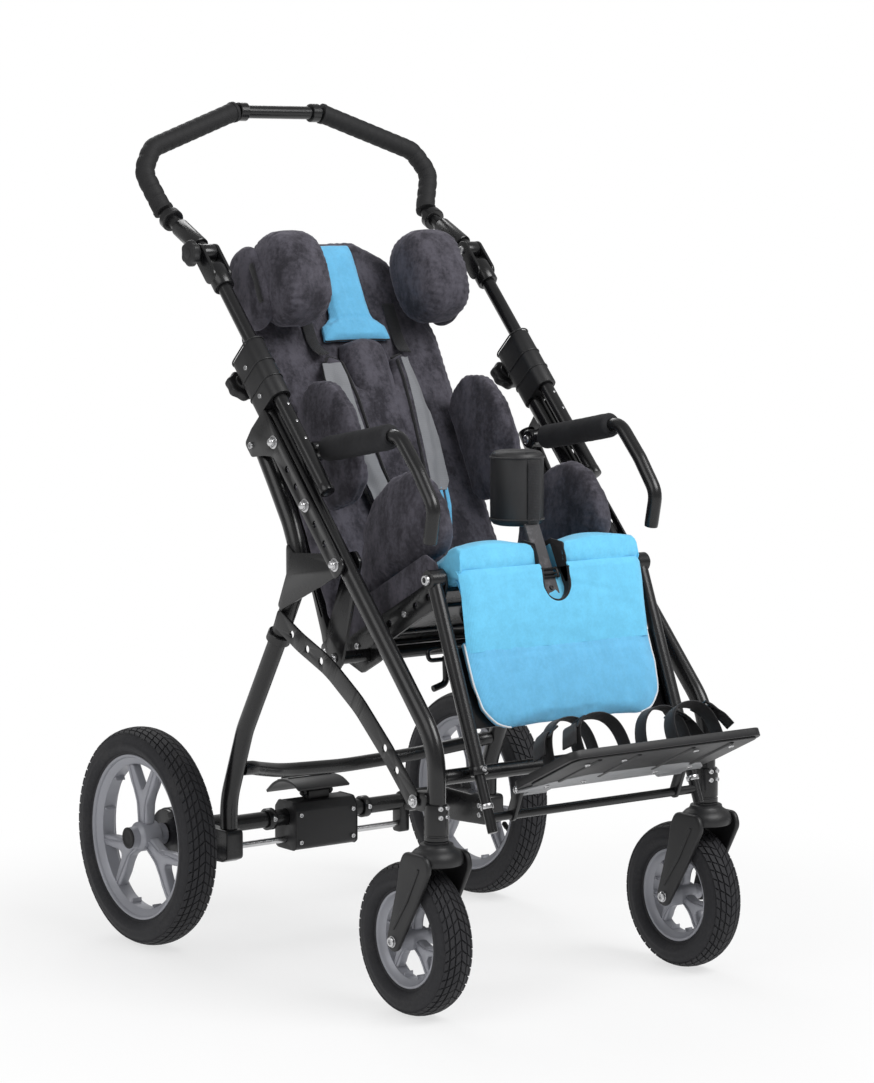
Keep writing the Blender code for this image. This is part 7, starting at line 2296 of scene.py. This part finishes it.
def studio_world():
    """White surroundings that light the chair at a plain level."""
    world = bpy.data.worlds.new("studio")
    world.use_nodes = True
    bpy.context.scene.world = world
    nodes, links = world.node_tree.nodes, world.node_tree.links
    soft = nodes["Background"]
    soft.inputs["Color"].default_value = (1.0, 1.0, 1.0, 1.0)
    soft.inputs["Strength"].default_value = 0.38
    white = nodes.new("ShaderNodeBackground")
    white.inputs["Strength"].default_value = 1.0
    white.inputs["Color"].default_value = (1.0, 1.0, 1.0, 1.0)
    rays = nodes.new("ShaderNodeLightPath")
    first = nodes.new("ShaderNodeMath")
    first.operation = "MAXIMUM"
    links.new(rays.outputs["Is Camera Ray"], first.inputs[0])
    links.new(rays.outputs["Is Transmission Ray"], first.inputs[1])
    both = nodes.new("ShaderNodeMixShader")
    links.new(first.outputs[0], both.inputs[0])
    links.new(soft.outputs[0], both.inputs[1])
    links.new(white.outputs[0], both.inputs[2])
    links.new(both.outputs[0], nodes["World Output"].inputs["Surface"])


def aim(thing, place, target):
    """Stand a lamp or camera at a place, turned to its target."""
    thing.location = place
    thing.rotation_euler = (Vector(target) - Vector(place)).to_track_quat("-Z", "Y").to_euler()


def lamp(name, place, target, size, power):
    """A large soft lamp."""
    light = bpy.data.lights.new(name, "AREA")
    light.shape = "RECTANGLE"
    light.size = size[0]
    light.size_y = size[1]
    light.energy = power
    aim(shown(name, light), place, target)


def studio_camera():
    """Camera at the photograph's angle."""
    camera = bpy.data.cameras.new("camera")
    camera.lens = 108.4866
    camera.sensor_width = 36.0
    camera.sensor_fit = "AUTO"
    camera.clip_end = 60.0
    thing = shown("camera", camera)
    aim(thing, (-2.68108, AXLE_Y - 3.89067, 1.04986), (-0.0019, AXLE_Y - 0.2986, 0.5801))
    bpy.context.scene.camera = thing
    bpy.context.scene.view_settings.view_transform = "Standard"


# Operators


class CHAIR_OT_stage(bpy.types.Operator):
    """Make the floor, the surroundings, the lamps and the camera"""

    bl_idname = "chair.stage"
    bl_label = "Stage"

    def execute(self, context):
        studio_floor()
        studio_world()
        lamp("key_lamp", (0.9, -2.6, 3.1), (0, 0, 0.5), (2.4, 1.8), 104)
        lamp("fill_lamp", (-3.2, -0.6, 2.4), (0, 0, 0.6), (2.6, 2.0), 30)
        lamp("rim_lamp", (0.6, 2.8, 2.8), (0, 0, 0.7), (2.4, 1.6), 38)
        studio_camera()
        return {"FINISHED"}


class CHAIR_OT_side_frames(bpy.types.Operator):
    """Make the side tubes with their plates, clamps and bolts, and what joins them"""

    bl_idname = "chair.side_frames"
    bl_label = "Side frames"

    def execute(self, context):
        for side, s in SIDES:
            side_frame(side, s)
            side_plate_of(side, s)
            clamp_of(side, s)
        carrier()
        return {"FINISHED"}


class CHAIR_OT_rear_frame(bpy.types.Operator):
    """Make the rear legs, stays, axle beam and cross tube"""

    bl_idname = "chair.rear_frame"
    bl_label = "Rear frame"

    def execute(self, context):
        for side, s in SIDES:
            rear_leg_of(side, s)
            stay_of(side, s)
        rear_beam()
        return {"FINISHED"}


class CHAIR_OT_brake(bpy.types.Operator):
    """Make the parking brake"""

    bl_idname = "chair.brake"
    bl_label = "Parking brake"

    def execute(self, context):
        parking_brake()
        return {"FINISHED"}


class CHAIR_OT_wheels(bpy.types.Operator):
    """Make the rear wheels and the casters"""

    bl_idname = "chair.wheels"
    bl_label = "Wheels"

    def execute(self, context):
        for side, s in SIDES:
            rear_wheel_of(side, s)
            caster_of(side, s)
        return {"FINISHED"}


class CHAIR_OT_push_handle(bpy.types.Operator):
    """Make the telescopic tubes, the push bow, its grips and knob"""

    bl_idname = "chair.push_handle"
    bl_label = "Push handle"

    def execute(self, context):
        for side, s in SIDES:
            handle_of(side, s)
        push_bow_of()
        return {"FINISHED"}


class CHAIR_OT_seat(bpy.types.Operator):
    """Make the seat's metal parts, its lever and its cover"""

    bl_idname = "chair.seat"
    bl_label = "Seat"

    def execute(self, context):
        seat_metal()
        lever()
        seat_cover()
        return {"FINISHED"}


class CHAIR_OT_back(bpy.types.Operator):
    """Make the back's panel and pad, the head strip and the harness"""

    bl_idname = "chair.back"
    bl_label = "Back and harness"

    def execute(self, context):
        back_cover()
        head_strip()
        chest_harness()
        return {"FINISHED"}


class CHAIR_OT_supports(bpy.types.Operator):
    """Make the head, trunk and hip supports"""

    bl_idname = "chair.supports"
    bl_label = "Side supports"

    def execute(self, context):
        head_wings()
        trunk_supports()
        hip_supports()
        return {"FINISHED"}


class CHAIR_OT_pommel(bpy.types.Operator):
    """Make the pommel on its bar"""

    bl_idname = "chair.pommel"
    bl_label = "Pommel"

    def execute(self, context):
        pommel_of()
        return {"FINISHED"}


class CHAIR_OT_armrests(bpy.types.Operator):
    """Make the armrests with their foam sleeves"""

    bl_idname = "chair.armrests"
    bl_label = "Armrests"

    def execute(self, context):
        for side, s in SIDES:
            armrest_of(side, s)
        return {"FINISHED"}


class CHAIR_OT_leg_rest(bpy.types.Operator):
    """Make the leg rest, its slider and the calf pad"""

    bl_idname = "chair.leg_rest"
    bl_label = "Leg rest"

    def execute(self, context):
        leg_rest_of()
        calf_cover()
        return {"FINISHED"}


class CHAIR_OT_foot_rest(bpy.types.Operator):
    """Make the foot plate, its tray and the foot straps"""

    bl_idname = "chair.foot_rest"
    bl_label = "Foot rest"

    def execute(self, context):
        foot_rest()
        for side, s in SIDES:
            foot_straps_of(side, s)
        return {"FINISHED"}


STEPS = (
    CHAIR_OT_stage, CHAIR_OT_side_frames, CHAIR_OT_rear_frame, CHAIR_OT_brake, CHAIR_OT_wheels,
    CHAIR_OT_push_handle, CHAIR_OT_seat, CHAIR_OT_back, CHAIR_OT_supports, CHAIR_OT_pommel,
    CHAIR_OT_armrests, CHAIR_OT_leg_rest, CHAIR_OT_foot_rest,
)


class CHAIR_PT_panel(bpy.types.Panel):
    """Lists the chair's pieces, sizes and colours"""

    bl_idname = "CHAIR_PT_panel"
    bl_label = "Wheelchair"
    bl_space_type = "VIEW_3D"
    bl_region_type = "UI"
    bl_category = "Wheelchair"

    def draw(self, context):
        for group in (context.scene.chair_sizes, context.scene.chair_colours):
            box = self.layout.box()
            for key in group.__annotations__:
                box.prop(group, key)
        for step in STEPS:
            self.layout.operator(step.bl_idname)


CLASSES = (ChairSizes, ChairColours, *STEPS, CHAIR_PT_panel)


def register():
    """Add the classes and the scene's two groups of settings."""
    for each in CLASSES:
        bpy.utils.register_class(each)
    bpy.types.Scene.chair_sizes = bpy.props.PointerProperty(type=ChairSizes)
    bpy.types.Scene.chair_colours = bpy.props.PointerProperty(type=ChairColours)


def unregister():
    """Take them away again."""
    del bpy.types.Scene.chair_colours
    del bpy.types.Scene.chair_sizes
    for each in reversed(CLASSES):
        bpy.utils.unregister_class(each)


def main():
    """Make everything in order."""
    register()
    bpy.ops.chair.stage()
    bpy.ops.chair.side_frames()
    bpy.ops.chair.rear_frame()
    bpy.ops.chair.brake()
    bpy.ops.chair.wheels()
    bpy.ops.chair.push_handle()
    bpy.ops.chair.seat()
    bpy.ops.chair.back()
    bpy.ops.chair.supports()
    bpy.ops.chair.pommel()
    bpy.ops.chair.armrests()
    bpy.ops.chair.leg_rest()
    bpy.ops.chair.foot_rest()
    bpy.context.view_layer.update()


if __name__ == "__main__":
    main()
